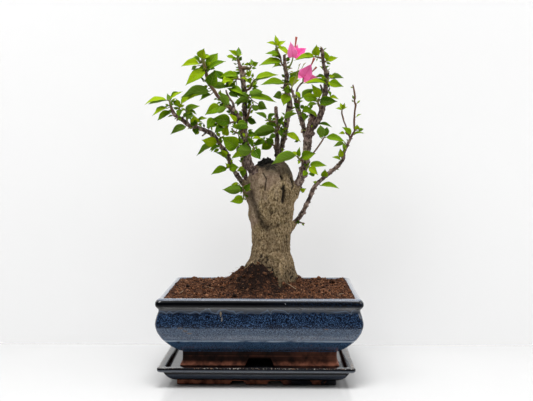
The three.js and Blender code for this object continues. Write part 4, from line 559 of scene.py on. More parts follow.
shoot("shoot_back_left_right", "branch_back_left", [
    (244.4, 91, 0, 1.6), (249.6, 88.6, -4, 1.5), (252, 83.4, -6, 1.1), (254.6, 79.6, -7, 1),
], [
    (247.4, 76, 251.6, 70, 4.6, -8, "y"), (252.4, 77, 253.2, 73, 2.4, -3, "y"),
    (255.6, 79, 278.6, 74.8, 5.5, -8, "y"), (247.4, 80.4, 240.4, 78, 2.4, -8, "y"),
    (248.4, 82, 252, 77, 4, -10, "y"), (249, 82.4, 245.4, 78, 3, 8, "y"),
    (251.6, 87.6, 257.4, 82, 3.4, 8, "g"),
])
shoot("shoot_back_left_wide", "branch_back_left", [
    (244.4, 97, 0, 1.4), (247.4, 96.6, -10, 1.2), (249.4, 97.4, -14, 1),
], [
    (250, 94.4, 262.6, 91.6, 8.5, -12, "b"), (250.6, 97.6, 276.4, 102.4, 6, -8, "g"),
    (258.4, 104, 267, 109, 8, 10, "b"), (248, 97.6, 239, 93, 6.5, -8, "b"),
    (241, 96.4, 227, 88, 6, 10, "d"), (245, 99.6, 234.6, 103, 3, -10, "y"),
    (242, 99.6, 237, 106.6, 4, -12, "d"), (231, 88, 243.6, 94.8, 6, -14, "g"),
    (229.4, 92.4, 238.6, 97.8, 5, -10, "d"), (248, 99.8, 234, 104, 5, -14, "b"),
])
shoot("shoot_back_left_spur", "branch_back_left", [
    (245, 118, 0, 1.8), (247.6, 117.4, -4.5, 1.7), (249.4, 110.4, -6, 1.5), (251.4, 107, -7, 1.3),
    (253.6, 104.6, -8, 0.9),
], [
    (251.8, 106.6, 259.6, 108.6, 5, -10, "b"), (247.4, 119.4, 256.4, 123.2, 5.6, 10, "d"),
])
shoot("shoot_left_inner", "branch_front_left", [
    (239, 120.4, 0, 1.3), (231, 122.6, -7, 1.2), (223, 125.4, -10, 1.1), (216.6, 123.6, -12, 0.9),
], [
    (229.8, 121, 212.2, 118.6, 11, -9, "d"), (213.4, 118.4, 207, 128, 7.2, -12, "g"),
    (217.6, 125.6, 208, 127, 3.6, 10, "g"), (222, 126.4, 214.5, 133, 6.6, -12, "d"),
    (236.6, 121.4, 229, 114, 4, -8, "y"),
])
shoot("shoot_left_round", "branch_left_low", [
    (222.6, 148, 0, 1.4), (220.4, 144.4, -6, 1.2), (218.6, 141.4, -7, 1), (220.4, 137.4, -7, 0.9),
], [
    (216.8, 142.6, 201.6, 140, 8.8, -8, "y"), (214.4, 144.4, 196.5, 156, 4.5, -12, "b"),
    (219.6, 145.4, 209.5, 150.6, 4, -14, "d"), (214.4, 148.4, 211, 152, 2, -4, "y"),
    (219, 136, 217, 131.6, 3, -4, "y"), (224.6, 135, 228, 126.6, 6.8, -10, "y"),
])
shoot("shoot_middle_round", "branch_front_left", [
    (246, 147, 0, 1.3), (241, 147.4, -9, 1.1), (237.6, 147, -11, 1),
], [
    (237, 147, 222, 137, 13.4, -12, "g"), (237, 148.4, 226, 149.4, 2.4, -8, "g"),
])
shoot("shoot_front_left_twig", "branch_front_left", [
    (243.4, 128, 0, 1.6), (243.2, 127.4, -7.5, 1.5), (242, 131.4, -8, 1.5), (238, 133, -9, 1.4),
    (234, 131.4, -10, 1.2), (231.6, 128.6, -11, 0.9),
], [
    (237.6, 127, 232, 124.4, 4, -8, "g"), (245, 121.6, 238, 129.4, 9, -6, "d"),
    (247.8, 127.4, 231, 126.6, 6, -10, "b"), (240.4, 144, 239, 135.6, 4, -6, "d"),
])
shoot("shoot_left_elbow", "branch_left_low", [
    (229.6, 161, 0, 1.4), (228.4, 162, -6, 1.2), (229.4, 167.6, -7, 1),
], [
    (226.4, 158.6, 215.5, 152.4, 4, 10, "b"), (226.4, 155.6, 220.6, 150, 6, -8, "y"),
    (229.6, 167, 225.4, 163, 3.5, -8, "y"), (230.4, 168, 239, 167.2, 7.4, -10, "g"),
    (226.6, 168.4, 211, 174.6, 6, -8, "g"), (231, 163, 233.4, 159.4, 1.6, -3, "y"),
])
shoot("shoot_back_left_low", "branch_back_left", [
    (244.6, 168, 0, 1.3), (243.6, 167, -6, 1.2), (242.8, 162, -6, 1.1), (243.2, 156, -6, 1),
], [
    (244.6, 153.6, 231, 158.8, 5.2, -10, "g"), (242.6, 160, 240.4, 157.4, 3, -5, "d"),
    (243.6, 168, 236.4, 171.6, 4.4, -12, "y"), (244, 169, 242, 178.4, 4.6, -10, "g"),
])
shoot("shoot_trunk_left", "branch_left_low", [
    (243.6, 183.4, 0, 1.4), (243.4, 190, -14, 1.2), (243.8, 195.4, -14, 1.1), (243.6, 198.6, -14, 1),
], [
    (242, 189, 222.5, 189.6, 8, -8, "b"), (245, 189.6, 250.4, 183, 5.6, -16, "d"),
    (238.4, 183.4, 231, 185, 2.6, 4, "y"), (243, 198.6, 230, 201.8, 7, -14, "g"),
    (243, 191, 239, 191.8, 2, -6, "d"),
])
shoot("shoot_front_middle", "branch_front_left", [
    (247.6, 152, 0, 1.4), (251, 152, -7, 1.3), (254, 149.6, -8, 1.2), (252.6, 144.6, -9, 1),
    (249.4, 138, -10, 0.9), (248, 134.6, -11, 0.8),
], [
    (251.4, 150.6, 236.6, 149.6, 10.6, -12, "b"), (254.4, 150.4, 260.4, 159.6, 9.6, -12, "d"),
    (252.6, 146.6, 246.6, 137, 3.6, -6, "d"), (252.6, 151.6, 252.4, 148.6, 2.6, -4, "y"),
    (248.4, 134, 257, 134.4, 5, -8, "d"),
])
shoot("shoot_middle_low", "branch_middle_stub", [
    (277, 147, 0, 1.4), (273, 145, -6, 1.2), (266.6, 142.4, -9, 1), (262.4, 139.6, -11, 0.8),
], [
    (264.6, 140, 253, 146.4, 5.4, -10, "d"), (261.4, 139, 251.6, 138.8, 3, -12, "y"),
    (272, 143.4, 266, 137.8, 6.4, -12, "d"), (272.6, 140, 261.4, 149.6, 8.4, 12, "g"),
])
shoot("shoot_middle_top", "branch_middle", [
    (285, 67.6, 0, 1.4), (281.8, 63.6, -4, 1.2), (280.4, 57, -5, 1.2), (278, 52.4, -5, 1.8),
    (276, 48.6, -5, 2.2),
], [
    (276.4, 46, 275.2, 35, 4, 4, "y"), (275.4, 45, 266.5, 42.6, 3, -6, "y"),
    (277.6, 46, 285.7, 41, 3.6, 6, "y"), (279.4, 47.6, 289.4, 55.6, 4.5, -10, "y"),
    (278.6, 46.6, 283, 47.6, 2.6, -6, "y"), (279.6, 54.6, 265, 53.4, 4, -10, "g"),
    (279.6, 57, 270.6, 56.2, 3, 10, "g"), (281, 62, 259, 65.6, 6.4, -8, "g"),
    (281, 65.8, 272, 67.5, 2.6, 12, "y"),
])
shoot("shoot_middle_upper", "branch_middle", [
    (286.4, 84.4, 0, 1.4), (286.6, 84, -6.5, 1.2), (289.6, 84.4, -7, 1),
], [
    (284, 83.4, 260.5, 85, 6, -10, "g"), (290, 83.4, 299.4, 75.4, 6, -12, "y"),
    (290.8, 79, 299, 71, 3.4, 10, "d"), (295, 78, 304, 70, 4, -14, "b"),
    (293.6, 84.6, 300.4, 79.6, 3, -6, "y"), (291.4, 86, 293.6, 83, 2.4, -6, "y"),
])
shoot("shoot_middle_node", "branch_middle", [
    (288.2, 97, 0, 1.6), (287.4, 94.4, -6, 1.3), (286, 93, -7, 1.2),
], [
    (281.4, 93.8, 273, 97, 7, 10, "b"), (287, 94.8, 283.4, 105.6, 9, -10, "g"),
    (290.4, 89.6, 282, 90.4, 6.4, -10, "d"), (289.6, 92, 292.4, 87.6, 4, -8, "d"),
])
shoot("shoot_right_inner_top", "branch_right_inner", [
    (296.4, 102.6, 0, 1.5), (298.8, 100.4, -6, 1.2), (298.2, 96.6, -9, 1),
], [
    (296, 92, 300.8, 98.6, 3.6, -7, "y"), (302, 97.4, 314.4, 88.8, 6, -10, "b"),
    (299.6, 102.4, 303.4, 100.8, 1.6, -2, "g"), (298.6, 107, 293.6, 103, 5, -10, "d"),
])
shoot("shoot_right_tall_top", "branch_right_tall", [
    (322.8, 58.4, 0, 1.4), (318.6, 57.4, -4, 1.2), (315.4, 56.8, -5, 0.9),
], [
    (314, 56.6, 294, 60.6, 5.4, 10, "g"), (313, 57, 307.6, 53.6, 3.6, 6, "y"),
    (315.4, 55.6, 316.6, 44.6, 7.6, -8, "y"),
])
shoot("shoot_right_tall_bud", "branch_right_tall", [
    (323.4, 63, 0, 1.2), (325.4, 61.4, -1, 1.2), (327, 60.6, -1, 0.8),
], [
    (327, 60, 324.4, 51, 4.5, 6, "y"), (327.6, 60.4, 338, 57.6, 4.6, -8, "y"),
    (327.4, 59.4, 331.4, 56.6, 3.4, 8, "b"),
])
shoot("shoot_right_tall_middle", "branch_right_tall", [
    (326.6, 81, 0, 1.5), (327.6, 82, -6, 1.2), (328, 80, -7, 1),
], [
    (326.6, 84, 303, 83.6, 4.4, -4, "y"), (329.6, 82, 343.6, 86.6, 7, -12, "g"),
    (329.6, 78, 343.8, 78, 4.6, 14, "b"), (329, 76.6, 334.8, 76.4, 3, 6, "y"),
    (324.6, 77.4, 314.8, 77, 3, 10, "d"), (324.4, 79.4, 320.8, 75.8, 3, -5, "y"),
    (329.4, 81.4, 331, 86.6, 3.4, -5, "y"),
])
shoot("shoot_right_tall_low", "branch_right_tall", [
    (322.4, 109, 0, 1.7), (319.6, 106.6, -4, 1.5), (318.2, 103, -6, 1.2), (318, 99.6, -7, 1),
], [
    (316.6, 98.6, 302.6, 96.6, 8.4, 12, "g"), (316.6, 103.8, 306.6, 106.4, 3.2, -12, "d"),
    (313, 105, 309.4, 109.4, 3, 8, "d"), (320, 101, 337.4, 101.4, 9, -10, "d"),
    (320, 97, 311.6, 84, 7, -10, "y"), (329.6, 97, 338.8, 99.2, 3.2, 4, "y"),
])
shoot("shoot_right_inner_low", "branch_right_inner", [
    (300.6, 117, 0, 1.5), (302.6, 112.6, -6, 1.3), (303, 110.6, -7, 1.1),
], [
    (303, 109.4, 312, 109.8, 6.4, -12, "g"), (305, 110.8, 318.4, 118.6, 4.2, -10, "y"),
    (303.4, 113, 305, 121.4, 4.4, -8, "d"), (305.6, 119, 308.6, 114.8, 2.4, 6, "d"),
    (304, 108.6, 300.6, 105, 4, 8, "d"),
])
shoot("shoot_middle_leafy", "branch_middle_stub", [
    (277, 134, 0, 1.6), (278.4, 129.6, -5, 1.3), (280.4, 124, -7, 1), (283.4, 118.8, -8, 0.8),
], [
    (284, 118, 297.6, 113.4, 4.8, 10, "b"), (278.6, 123, 284, 117, 4, -8, "d"),
    (276.6, 126, 265.4, 123.6, 5, 12, "d"), (275.6, 129.4, 250, 136.2, 9, -10, "b"),
    (280.8, 122.6, 283.6, 128.4, 2, -4, "d"), (275, 134.4, 268.4, 139.2, 4.4, -8, "d"),
    (280.4, 130, 281.6, 137.4, 4.6, -8, "d"), (280, 127.6, 284.4, 132.4, 3, 4, "d"),
])
shoot("shoot_middle_stub_top", "branch_middle_stub", [
    (276.6, 121.6, 0, 1.2), (270.6, 121.4, -6, 1.1), (267.4, 119.6, -8, 0.9),
], [
    (266.2, 118.4, 254.8, 112.6, 3.6, 10, "d"), (268, 118.6, 276, 113.4, 4, -12, "d"),
    (272, 120.4, 276.4, 119.4, 3, -12, "g"),
])
shoot("shoot_middle_right", "branch_middle", [
    (284.8, 134.6, 0, 1.5), (285.4, 134, -6, 1.2), (287.2, 133, -9.5, 1),
], [
    (287.2, 133.4, 300.8, 142, 5.6, -10, "y"), (298.6, 140.4, 294.4, 142, 2.4, 3, "g"),
])
shoot("shoot_right_low", "branch_right", [
    (304.4, 162, 0, 1.6), (300.4, 160, -6, 1.4), (297.6, 157, -8, 1.2),
], [
    (296, 155.6, 271.5, 164.6, 9, -14, "b"), (299.4, 156.4, 299.6, 147, 3.8, -6, "g"),
    (297.4, 155, 291.6, 152, 3.2, 8, "y"), (302, 156.4, 315.6, 153.4, 9, -10, "g"),
    (299.6, 161, 298, 164.2, 3, -4, "y"),
])
shoot("shoot_right_side", "branch_right", [
    (304.6, 168, 0, 1.5), (306.4, 167.4, -5.5, 1.2), (309, 166.4, -9, 1),
], [
    (309.8, 165.4, 326.8, 166, 5.6, 10, "g"), (309.6, 167.2, 318, 175, 6.4, -10, "y"),
    (314.8, 173.6, 308.4, 174, 5.4, -4, "d"), (306.6, 171, 303, 176.4, 5.4, -6, "g"),
])
shoot("twig_right_red", "branch_right", [
    (305.8, 160, 0, 1.5), (310.6, 156, -3, 1.2), (315, 151, -5, 1.1), (319, 145.4, -7, 1.1),
    (322.6, 140, -8, 1.1), (323.6, 138, -8, 0.9),
], [
    (322.4, 137, 320.4, 125, 8, -12, "b"), (325, 136.4, 327, 127, 5.4, 10, "d"),
    (326.6, 137, 345, 141.8, 6.4, -8, "g"), (321.4, 138.4, 319.6, 136.2, 1.2, -2, "y"),
])
shoot("shoot_right_far", "branch_right_low", [
    (343.4, 158.4, 0, 1.5), (342.8, 156, -5, 1.1), (344, 149.6, -6, 1), (345.2, 144.6, -6, 0.9),
], [
    (341, 157, 340, 148.4, 5.4, -8, "y"), (340.8, 160, 331.8, 157, 2.8, -8, "g"),
    (344, 143.8, 333.4, 146.6, 4, -12, "b"), (344.4, 144.6, 342.8, 149.4, 3.4, -8, "g"),
])
shoot("twig_right_forked", "branch_right_low", [
    (350.4, 138.6, 0, 1.6), (348.8, 134.6, -1, 1.5), (346.4, 133, -2, 1.3), (346.2, 127, -1, 1),
    (344, 121.6, 0, 1), (343, 117.6, 1, 1.2), (341.9, 113.6, 1, 1.1), (342, 110, 1, 0.9),
], [
    (351, 134, 342, 127, 5, -10, "g"), (350.4, 134.4, 346, 128.2, 3, -7, "y"),
    (344.4, 133, 338.8, 133.6, 3, -8, "y"), (342, 109, 340.4, 102.8, 3, 4, "y"),
    (342.4, 109, 344.8, 102.8, 3.4, -6, "y"), (341.6, 109.4, 335.6, 108.6, 2.6, -6, "y"),
    (343, 109.4, 347.4, 106.8, 1.6, 4, "y"),
])
shoot("twig_right_far", "branch_right_low", [
    (350.9, 137.8, 0, 1.7), (353, 133.4, -1, 1.4), (354.6, 130.6, -2, 1.4), (354.2, 125, -2, 1.4),
    (354.2, 119.4, -2, 1.4), (354.8, 111, -3, 1.3), (355.6, 105, -3, 1.5), (354.4, 101.2, -3, 1.3),
    (355, 97.4, -4, 1.4), (354.2, 91, -4, 1.3), (352.9, 85, -4, 1),
], [
    (356.8, 129.6, 357, 124.6, 4.8, -5, "y"), (358, 130.2, 363.6, 129, 3.2, -6, "b"),
    (353.6, 135, 364.8, 133.2, 1.8, 6, "y"), (356.4, 117, 361.6, 114, 1.4, -3, "y"),
    (357.4, 103.2, 360.2, 100.4, 1.6, -2, "y"), (353.4, 98.6, 352.4, 95, 1.8, -2, "g"),
    (352.6, 101.6, 352, 99.6, 1.2, -2, "d"), (352.4, 87.6, 350.4, 87, 1.4, -1, "y"),
])

# ------------------------------------------------------------------------------------ points
def sighted(column, row, depth_mm):
    """The point seen at a grid column and row, at a depth behind the middle of the pot."""
    ray = (
        RIGHTWARD * (column - GRID_COLUMN) + UPWARD * (GRID_ROW - row) + AIM * GRID_REACH
    )
    return EYE + ray * ((depth_mm * MM - EYE[1]) / ray[1])


def grid_size(depth_mm):
    """The length of one grid unit at a depth."""
    return (depth_mm * MM - EYE[1]) / GRID_REACH


def seen_at(points):
    """Grid column and row of each point."""
    ray = points - EYE
    reach = ray @ AIM
    column = GRID_COLUMN + GRID_REACH * (ray @ RIGHTWARD) / reach
    row = GRID_ROW - GRID_REACH * (ray @ UPWARD) / reach
    return np.stack([column, row], axis=1)


def unit(vector):
    return vector / max(np.linalg.norm(vector), 1e-9)


def stations_of(path):
    """Rows of x, y, z and radius for a path on the grid."""
    return np.array([[*sighted(u, v, depth), radius * MM] for u, v, depth, radius in path])


def smooth_run(rows, spacing):
    """Rows resampled along a Catmull-Rom curve through them, about one for each spacing."""
    rows = np.asarray(rows, float)
    padded = np.vstack([2 * rows[0] - rows[1], rows, 2 * rows[-1] - rows[-2]])
    out = []
    for a, b, c, d in zip(padded, padded[1:], padded[2:], padded[3:]):
        count = max(int(np.linalg.norm((c - b)[:3]) / spacing), 1)
        for t in np.arange(count)[:, None] / count:
            out.append(
                0.5 * (2 * b + (c - a) * t + (2 * a - 5 * b + 4 * c - d) * t**2
                       + (3 * b - a - 3 * c + d) * t**3)
            )
    return np.vstack([*out, rows[-1]])


def eased(share):
    """A share from 0 to 1 with a slow start and a slow end."""
    return share * share * (3 - 2 * share)


def circle(count):
    """Evenly spaced angles once round."""
    return np.arange(count) * 2 * math.pi / count


def rough(points, size, octaves=3, stretch=(1, 1, 1), shift=0.0):
    """Fractal noise, about -1 to 1, at each point, with bumps of a size in metres."""
    scaled = points / (np.array(stretch) * size) + shift
    return np.array([noise.fractal(Vector(p), 1.0, 2.0, octaves) for p in scaled])


def near_line(places, line):
    """Distance of each place on the grid from a line of stations."""
    best = np.full(len(places), np.inf)
    for a, b in zip(np.array(line, float), np.array(line[1:], float)):
        run = b - a
        share = np.clip((places - a) @ run / max(run @ run, 1e-9), 0, 1)
        best = np.minimum(best, np.linalg.norm(places - a - share[:, None] * run, axis=1))
    return best


# ------------------------------------------------------------------------------------ meshes
class Piece:
    """The points and faces of one piece, gathered part by part, with a finish for each part."""

    def __init__(self):
        self.points = []
        self.faces = []
        self.finishes = []
        self.marks = []
        self.count = 0

    def add(self, points, faces, finish=0, marks=(0, 0, 0)):
        """Adds a part. Its marks are three numbers a point, or three for the whole part, and its
        finish is one number, or one for each face."""
        points = np.asarray(points, float)
        self.points.append(points)
        self.marks.append(np.broadcast_to(np.asarray(marks, float), (len(points), 3)))
        self.faces += [[i + self.count for i in face] for face in faces]
        self.finishes += [int(k) for k in np.broadcast_to(finish, len(faces))]
        self.count += len(points)

    def build(self, name, materials, sharp_angle=None):
        """The object, with its marks in the attribute "marks"."""
        mesh = bpy.data.meshes.new(name)
        mesh.from_pydata(np.vstack(self.points).tolist(), [], self.faces)
        mesh.polygons.foreach_set("material_index", self.finishes)
        marks = mesh.attributes.new("marks", "FLOAT_VECTOR", "POINT")
        marks.data.foreach_set("vector", np.vstack(self.marks).ravel())
        for material in materials:
            mesh.materials.append(material)
        mesh.shade_smooth()
        if sharp_angle is not None:
            mesh.set_sharp_from_angle(angle=sharp_angle)
        made = bpy.data.objects.new(name, mesh)
        bpy.context.scene.collection.objects.link(made)
        return made


def strip_faces(levels, sides):
    """Quads between rings of points."""
    return [
        (a + i, a + (i + 1) % sides, a + sides + (i + 1) % sides, a + sides + i)
        for a in range(0, (levels - 1) * sides, sides)
        for i in range(sides)
    ]


def closed_loft(rings):
    """Points and faces of a closed body through rings of equally many points."""
    rings = np.asarray(rings, float)
    levels, sides, _ = rings.shape
    points = np.vstack([rings.reshape(-1, 3), rings[0].mean(0), rings[-1].mean(0)])
    first, last = levels * sides, levels * sides + 1
    top = (levels - 1) * sides
    faces = strip_faces(levels, sides)
    faces += [(first, (i + 1) % sides, i) for i in range(sides)]
    faces += [(last, top + i, top + (i + 1) % sides) for i in range(sides)]
    return points, faces


TIP_REACH = 0.5
TIP_RADIUS = 0.45
LUMP_SIZE = 0.006


def limb(rows, sides, lump=0.0, rounded=True, shift=0.0):
    """Points and faces of a limb through rows of x, y, z and radius. A rounded one gets one more,
    smaller ring at its tip."""
    rows = np.asarray(rows, float)
    middle, radius = rows[:, :3], rows[:, 3].copy()
    if rounded:
        end = middle[-1] + unit(middle[-1] - middle[-2]) * radius[-1] * TIP_REACH
        middle = np.vstack([middle, end])
        radius = np.append(radius, radius[-1] * TIP_RADIUS)
    side = np.array([0.3, -1.0, 0.2])
    rings = []
    angles = circle(sides)
    for i, (point, size) in enumerate(zip(middle, radius)):
        along = unit(middle[min(i + 1, len(middle) - 1)] - middle[max(i - 1, 0)])
        side = unit(side - (side @ along) * along)
        other = np.cross(along, side)
        around = np.outer(np.cos(angles), side) + np.outer(np.sin(angles), other)
        rings.append(point + around * size)
    points, faces = closed_loft(rings)
    if lump:
        centres = np.vstack([np.repeat(middle, sides, axis=0), middle[0], middle[-1]])
        swell = rough(points, LUMP_SIZE, 3, (1, 1, 2), shift)
        points = centres + (points - centres) * (1 + lump * swell)[:, None]
    return points, faces


def rounded_loop(length, depth, corner, z, long_steps=44, short_steps=32, corner_steps=10):
    """Points round a rounded rectangle, counter-clockwise from the front right corner."""
    reach_x, reach_y = length / 2 - corner, depth / 2 - corner
    quarters = [(1, -1, -90, short_steps), (1, 1, 0, long_steps), (-1, 1, 90, short_steps),
                (-1, -1, 180, long_steps)]

    def on_corner(side_x, side_y, degrees):
        angle = math.radians(degrees)
        return side_x * reach_x + corner * math.cos(angle), side_y * reach_y + corner * math.sin(angle)

    loop = []
    for index, (side_x, side_y, start, steps) in enumerate(quarters):
        for k in range(corner_steps + 1):
            loop.append(on_corner(side_x, side_y, start + 90 * k / corner_steps))
        x, y = loop[-1]
        next_x, next_y = on_corner(*quarters[(index + 1) % 4][:3])
        for k in range(1, steps):
            share = k / steps
            loop.append((x + (next_x - x) * share, y + (next_y - y) * share))
    return np.array([(x, y, z) for x, y in loop])


def ware_rings(length, depth, corner, outline, base_z, middle_x=0.0):
    """One loop for each (inset, height) in millimetres of an outline."""
    rings = []
    for inset_mm, height_mm in outline:
        inset = inset_mm * MM
        radius = max(corner - inset * CORNER_DRAWN_IN, 0.003)
        loop = rounded_loop(length - 2 * inset, depth - 2 * inset, radius, base_z + height_mm * MM)
        rings.append(loop + (middle_x, 0, 0))
    return rings


def applied(made, *modifiers):
    """Applies modifiers, each (kind, settings), to an object's mesh."""
    for kind, settings in modifiers:
        modifier = made.modifiers.new(kind, kind)
        for key, value in settings.items():
            setattr(modifier, key, value)
    depsgraph = bpy.context.evaluated_depsgraph_get()
    mesh = bpy.data.meshes.new_from_object(made.evaluated_get(depsgraph))
    made.modifiers.clear()
    made.data = mesh
    return made


def cut(made, cutters):
    """Cuts closed bodies, each points and faces, out of an object."""
    for points, faces in cutters:
        tool = Piece()
        tool.add(points, faces)
        cutter = tool.build("cutter", [])
        applied(made, ("BOOLEAN", {"operation": "DIFFERENCE", "solver": "EXACT", "object": cutter}))
        bpy.data.objects.remove(cutter)
    return made


def slot_body(x, width, top_width, bottom, top, run):
    """Points and faces of a slot from front to back, wide at the bottom and narrower at the top."""
    outline = [
        (-width / 2, bottom), (width / 2, bottom), (top_width / 2, top), (-top_width / 2, top)
    ]
    front = np.array([(x + px, -run / 2, pz) for px, pz in outline])
    back = front + (0, run, 0)
    return closed_loft([back, front])


def points_of(mesh):
    points = np.zeros(len(mesh.vertices) * 3)
    mesh.vertices.foreach_get("co", points)
    return points.reshape(-1, 3)


def normals_of(mesh):
    normals = np.zeros(len(mesh.vertices) * 3)
    mesh.vertex_normals.foreach_get("vector", normals)
    return normals.reshape(-1, 3)


def settle(made, node):
    """The piece stands for a CAD node: it hangs under the root, and the node is hidden."""
    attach(made, "root")
    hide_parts(node)
    return made

# --------------------------------------------------------------------------------- materials
class Value:
    """A socket of a material or of the surroundings. Arithmetic on it adds Math nodes."""

    def __init__(self, graph, socket):
        self.graph = graph
        self.socket = socket

    def math(self, operation, *operands):
        return self.graph.node(
            "ShaderNodeMath", {"operation": operation}, dict(enumerate(operands))
        )

    def __add__(self, other):
        return self.math("ADD", self, other)

    def __sub__(self, other):
        return self.math("SUBTRACT", self, other)

    def __rsub__(self, other):
        return self.math("SUBTRACT", other, self)

    def __mul__(self, other):
        return self.math("MULTIPLY", self, other)

    def __truediv__(self, other):
        return self.math("DIVIDE", self, other)

    def __abs__(self):
        return self.math("ABSOLUTE", self)

    __radd__ = __add__
    __rmul__ = __mul__

    def most(self, other):
        return self.math("MAXIMUM", self, other)

    def wave(self):
        return self.math("SINE", self)

    def above(self, edge, soft):
        """1 above an edge and 0 below it, with a soft step that reaches as far to each side."""
        return self.rise(edge - soft, edge + soft)

    def below(self, edge, soft):
        """1 below an edge and 0 above it."""
        return self.rise(edge + soft, edge - soft)

    def between(self, low, high, soft):
        """1 from low to high and 0 outside."""
        return self.above(low, soft) * self.below(high, soft)

    def rise(self, low, high):
        """0 below low, 1 above high, smooth between. With low above high it falls."""
        return self.graph.node(
            "ShaderNodeMapRange",
            {"interpolation_type": "SMOOTHSTEP"},
            {"Value": self, "From Min": low, "From Max": high},
        )


class Graph:
    """The node tree of one new material, or of new surroundings."""

    def __init__(self, name, kind="materials"):
        self.owner = getattr(bpy.data, kind).new(name)
        self.owner.use_nodes = True
        self.tree = self.owner.node_tree
        self.tree.nodes.clear()

    def node(self, kind, settings=None, sockets=None, output=0):
        """One node: its settings are set first, then the values or links of its sockets."""
        made = self.tree.nodes.new(kind)
        for key, value in (settings or {}).items():
            if key == "stops":
                self.fill_ramp(made.color_ramp, value)
            else:
                setattr(made, key, value)
        for key, value in (sockets or {}).items():
            if isinstance(value, Value):
                self.tree.links.new(value.socket, made.inputs[key])
            else:
                made.inputs[key].default_value = value
        return Value(self, made.outputs[output]) if made.outputs else None

    @staticmethod
    def fill_ramp(ramp, stops):
        """Colour stops of a ramp, the first and the last on the two it starts with."""
        first, *between, last = stops
        for element, (place, shade) in zip(ramp.elements, (first, last)):
            element.position = place
            element.color = (*shade, 1)
        for place, shade in between:
            ramp.elements.new(place).color = (*shade, 1)

    def place(self):
        """The point on the surface, in metres."""
        return self.node("ShaderNodeTexCoord", output="Object")

    def stretched(self, place, x, y, z):
        """A place with its parts multiplied, which draws a pattern out where a factor is small."""
        sockets = {0: place, 1: (x, y, z)}
        return self.node("ShaderNodeVectorMath", {"operation": "MULTIPLY"}, sockets)

    def parts(self, vector):
        """The three numbers of a vector."""
        split = self.node("ShaderNodeSeparateXYZ", None, {0: vector})
        outputs = split.socket.node.outputs
        return [Value(self, outputs[k]) for k in range(3)]

    def marks(self):
        """The three numbers that the mesh carries."""
        carried = self.node("ShaderNodeAttribute", {"attribute_name": "marks"}, output="Vector")
        return self.parts(carried)

    def noise(self, place, size, detail=3.0, rough=0.55, warp=0.0):
        """Noise from 0 to 1 with bumps of a size in metres."""
        sockets = {"Vector": place, "Scale": 1 / size, "Detail": detail, "Roughness": rough}
        return self.node("ShaderNodeTexNoise", None, {**sockets, "Distortion": warp})

    def cells(self, place, size, feature="F1"):
        """How far it is to the middle of the nearest cell, or to the nearest edge."""
        sockets = {"Vector": place, "Scale": 1 / size}
        return self.node("ShaderNodeTexVoronoi", {"feature": feature}, sockets, "Distance")

    def mix(self, factor, base, over):
        """Colours mixed by a factor."""
        sockets = {0: factor, 6: self.shade(base), 7: self.shade(over)}
        return self.node("ShaderNodeMix", {"data_type": "RGBA"}, sockets, 2)

    @staticmethod
    def shade(colour):
        """A colour as a Mix node takes it."""
        return colour if isinstance(colour, Value) else (*colour, 1.0)

    def ramp(self, factor, *stops):
        """A colour from stops, each a place from 0 to 1 and its colour."""
        return self.node("ShaderNodeValToRGB", {"stops": stops}, {0: factor})

    def bump(self, height, distance, strength=1.0):
        """A normal from a height of 0 to 1 that stands for a distance in metres."""
        sockets = {"Height": height, "Distance": distance, "Strength": strength}
        return self.node("ShaderNodeBump", None, sockets)

    def finish(self, colour, roughness, height, distance, strength=1.0, **sockets):
        """The finished material: its shader has a colour, a roughness, a bump and named sockets."""
        named = {key.replace("_", " "): value for key, value in sockets.items()}
        named |= {"Base Color": colour, "Roughness": roughness}
        named["Normal"] = self.bump(height, distance, strength)
        shader = self.node("ShaderNodeBsdfPrincipled", None, named)
        self.node("ShaderNodeOutputMaterial", None, {"Surface": shader})
        return self.owner


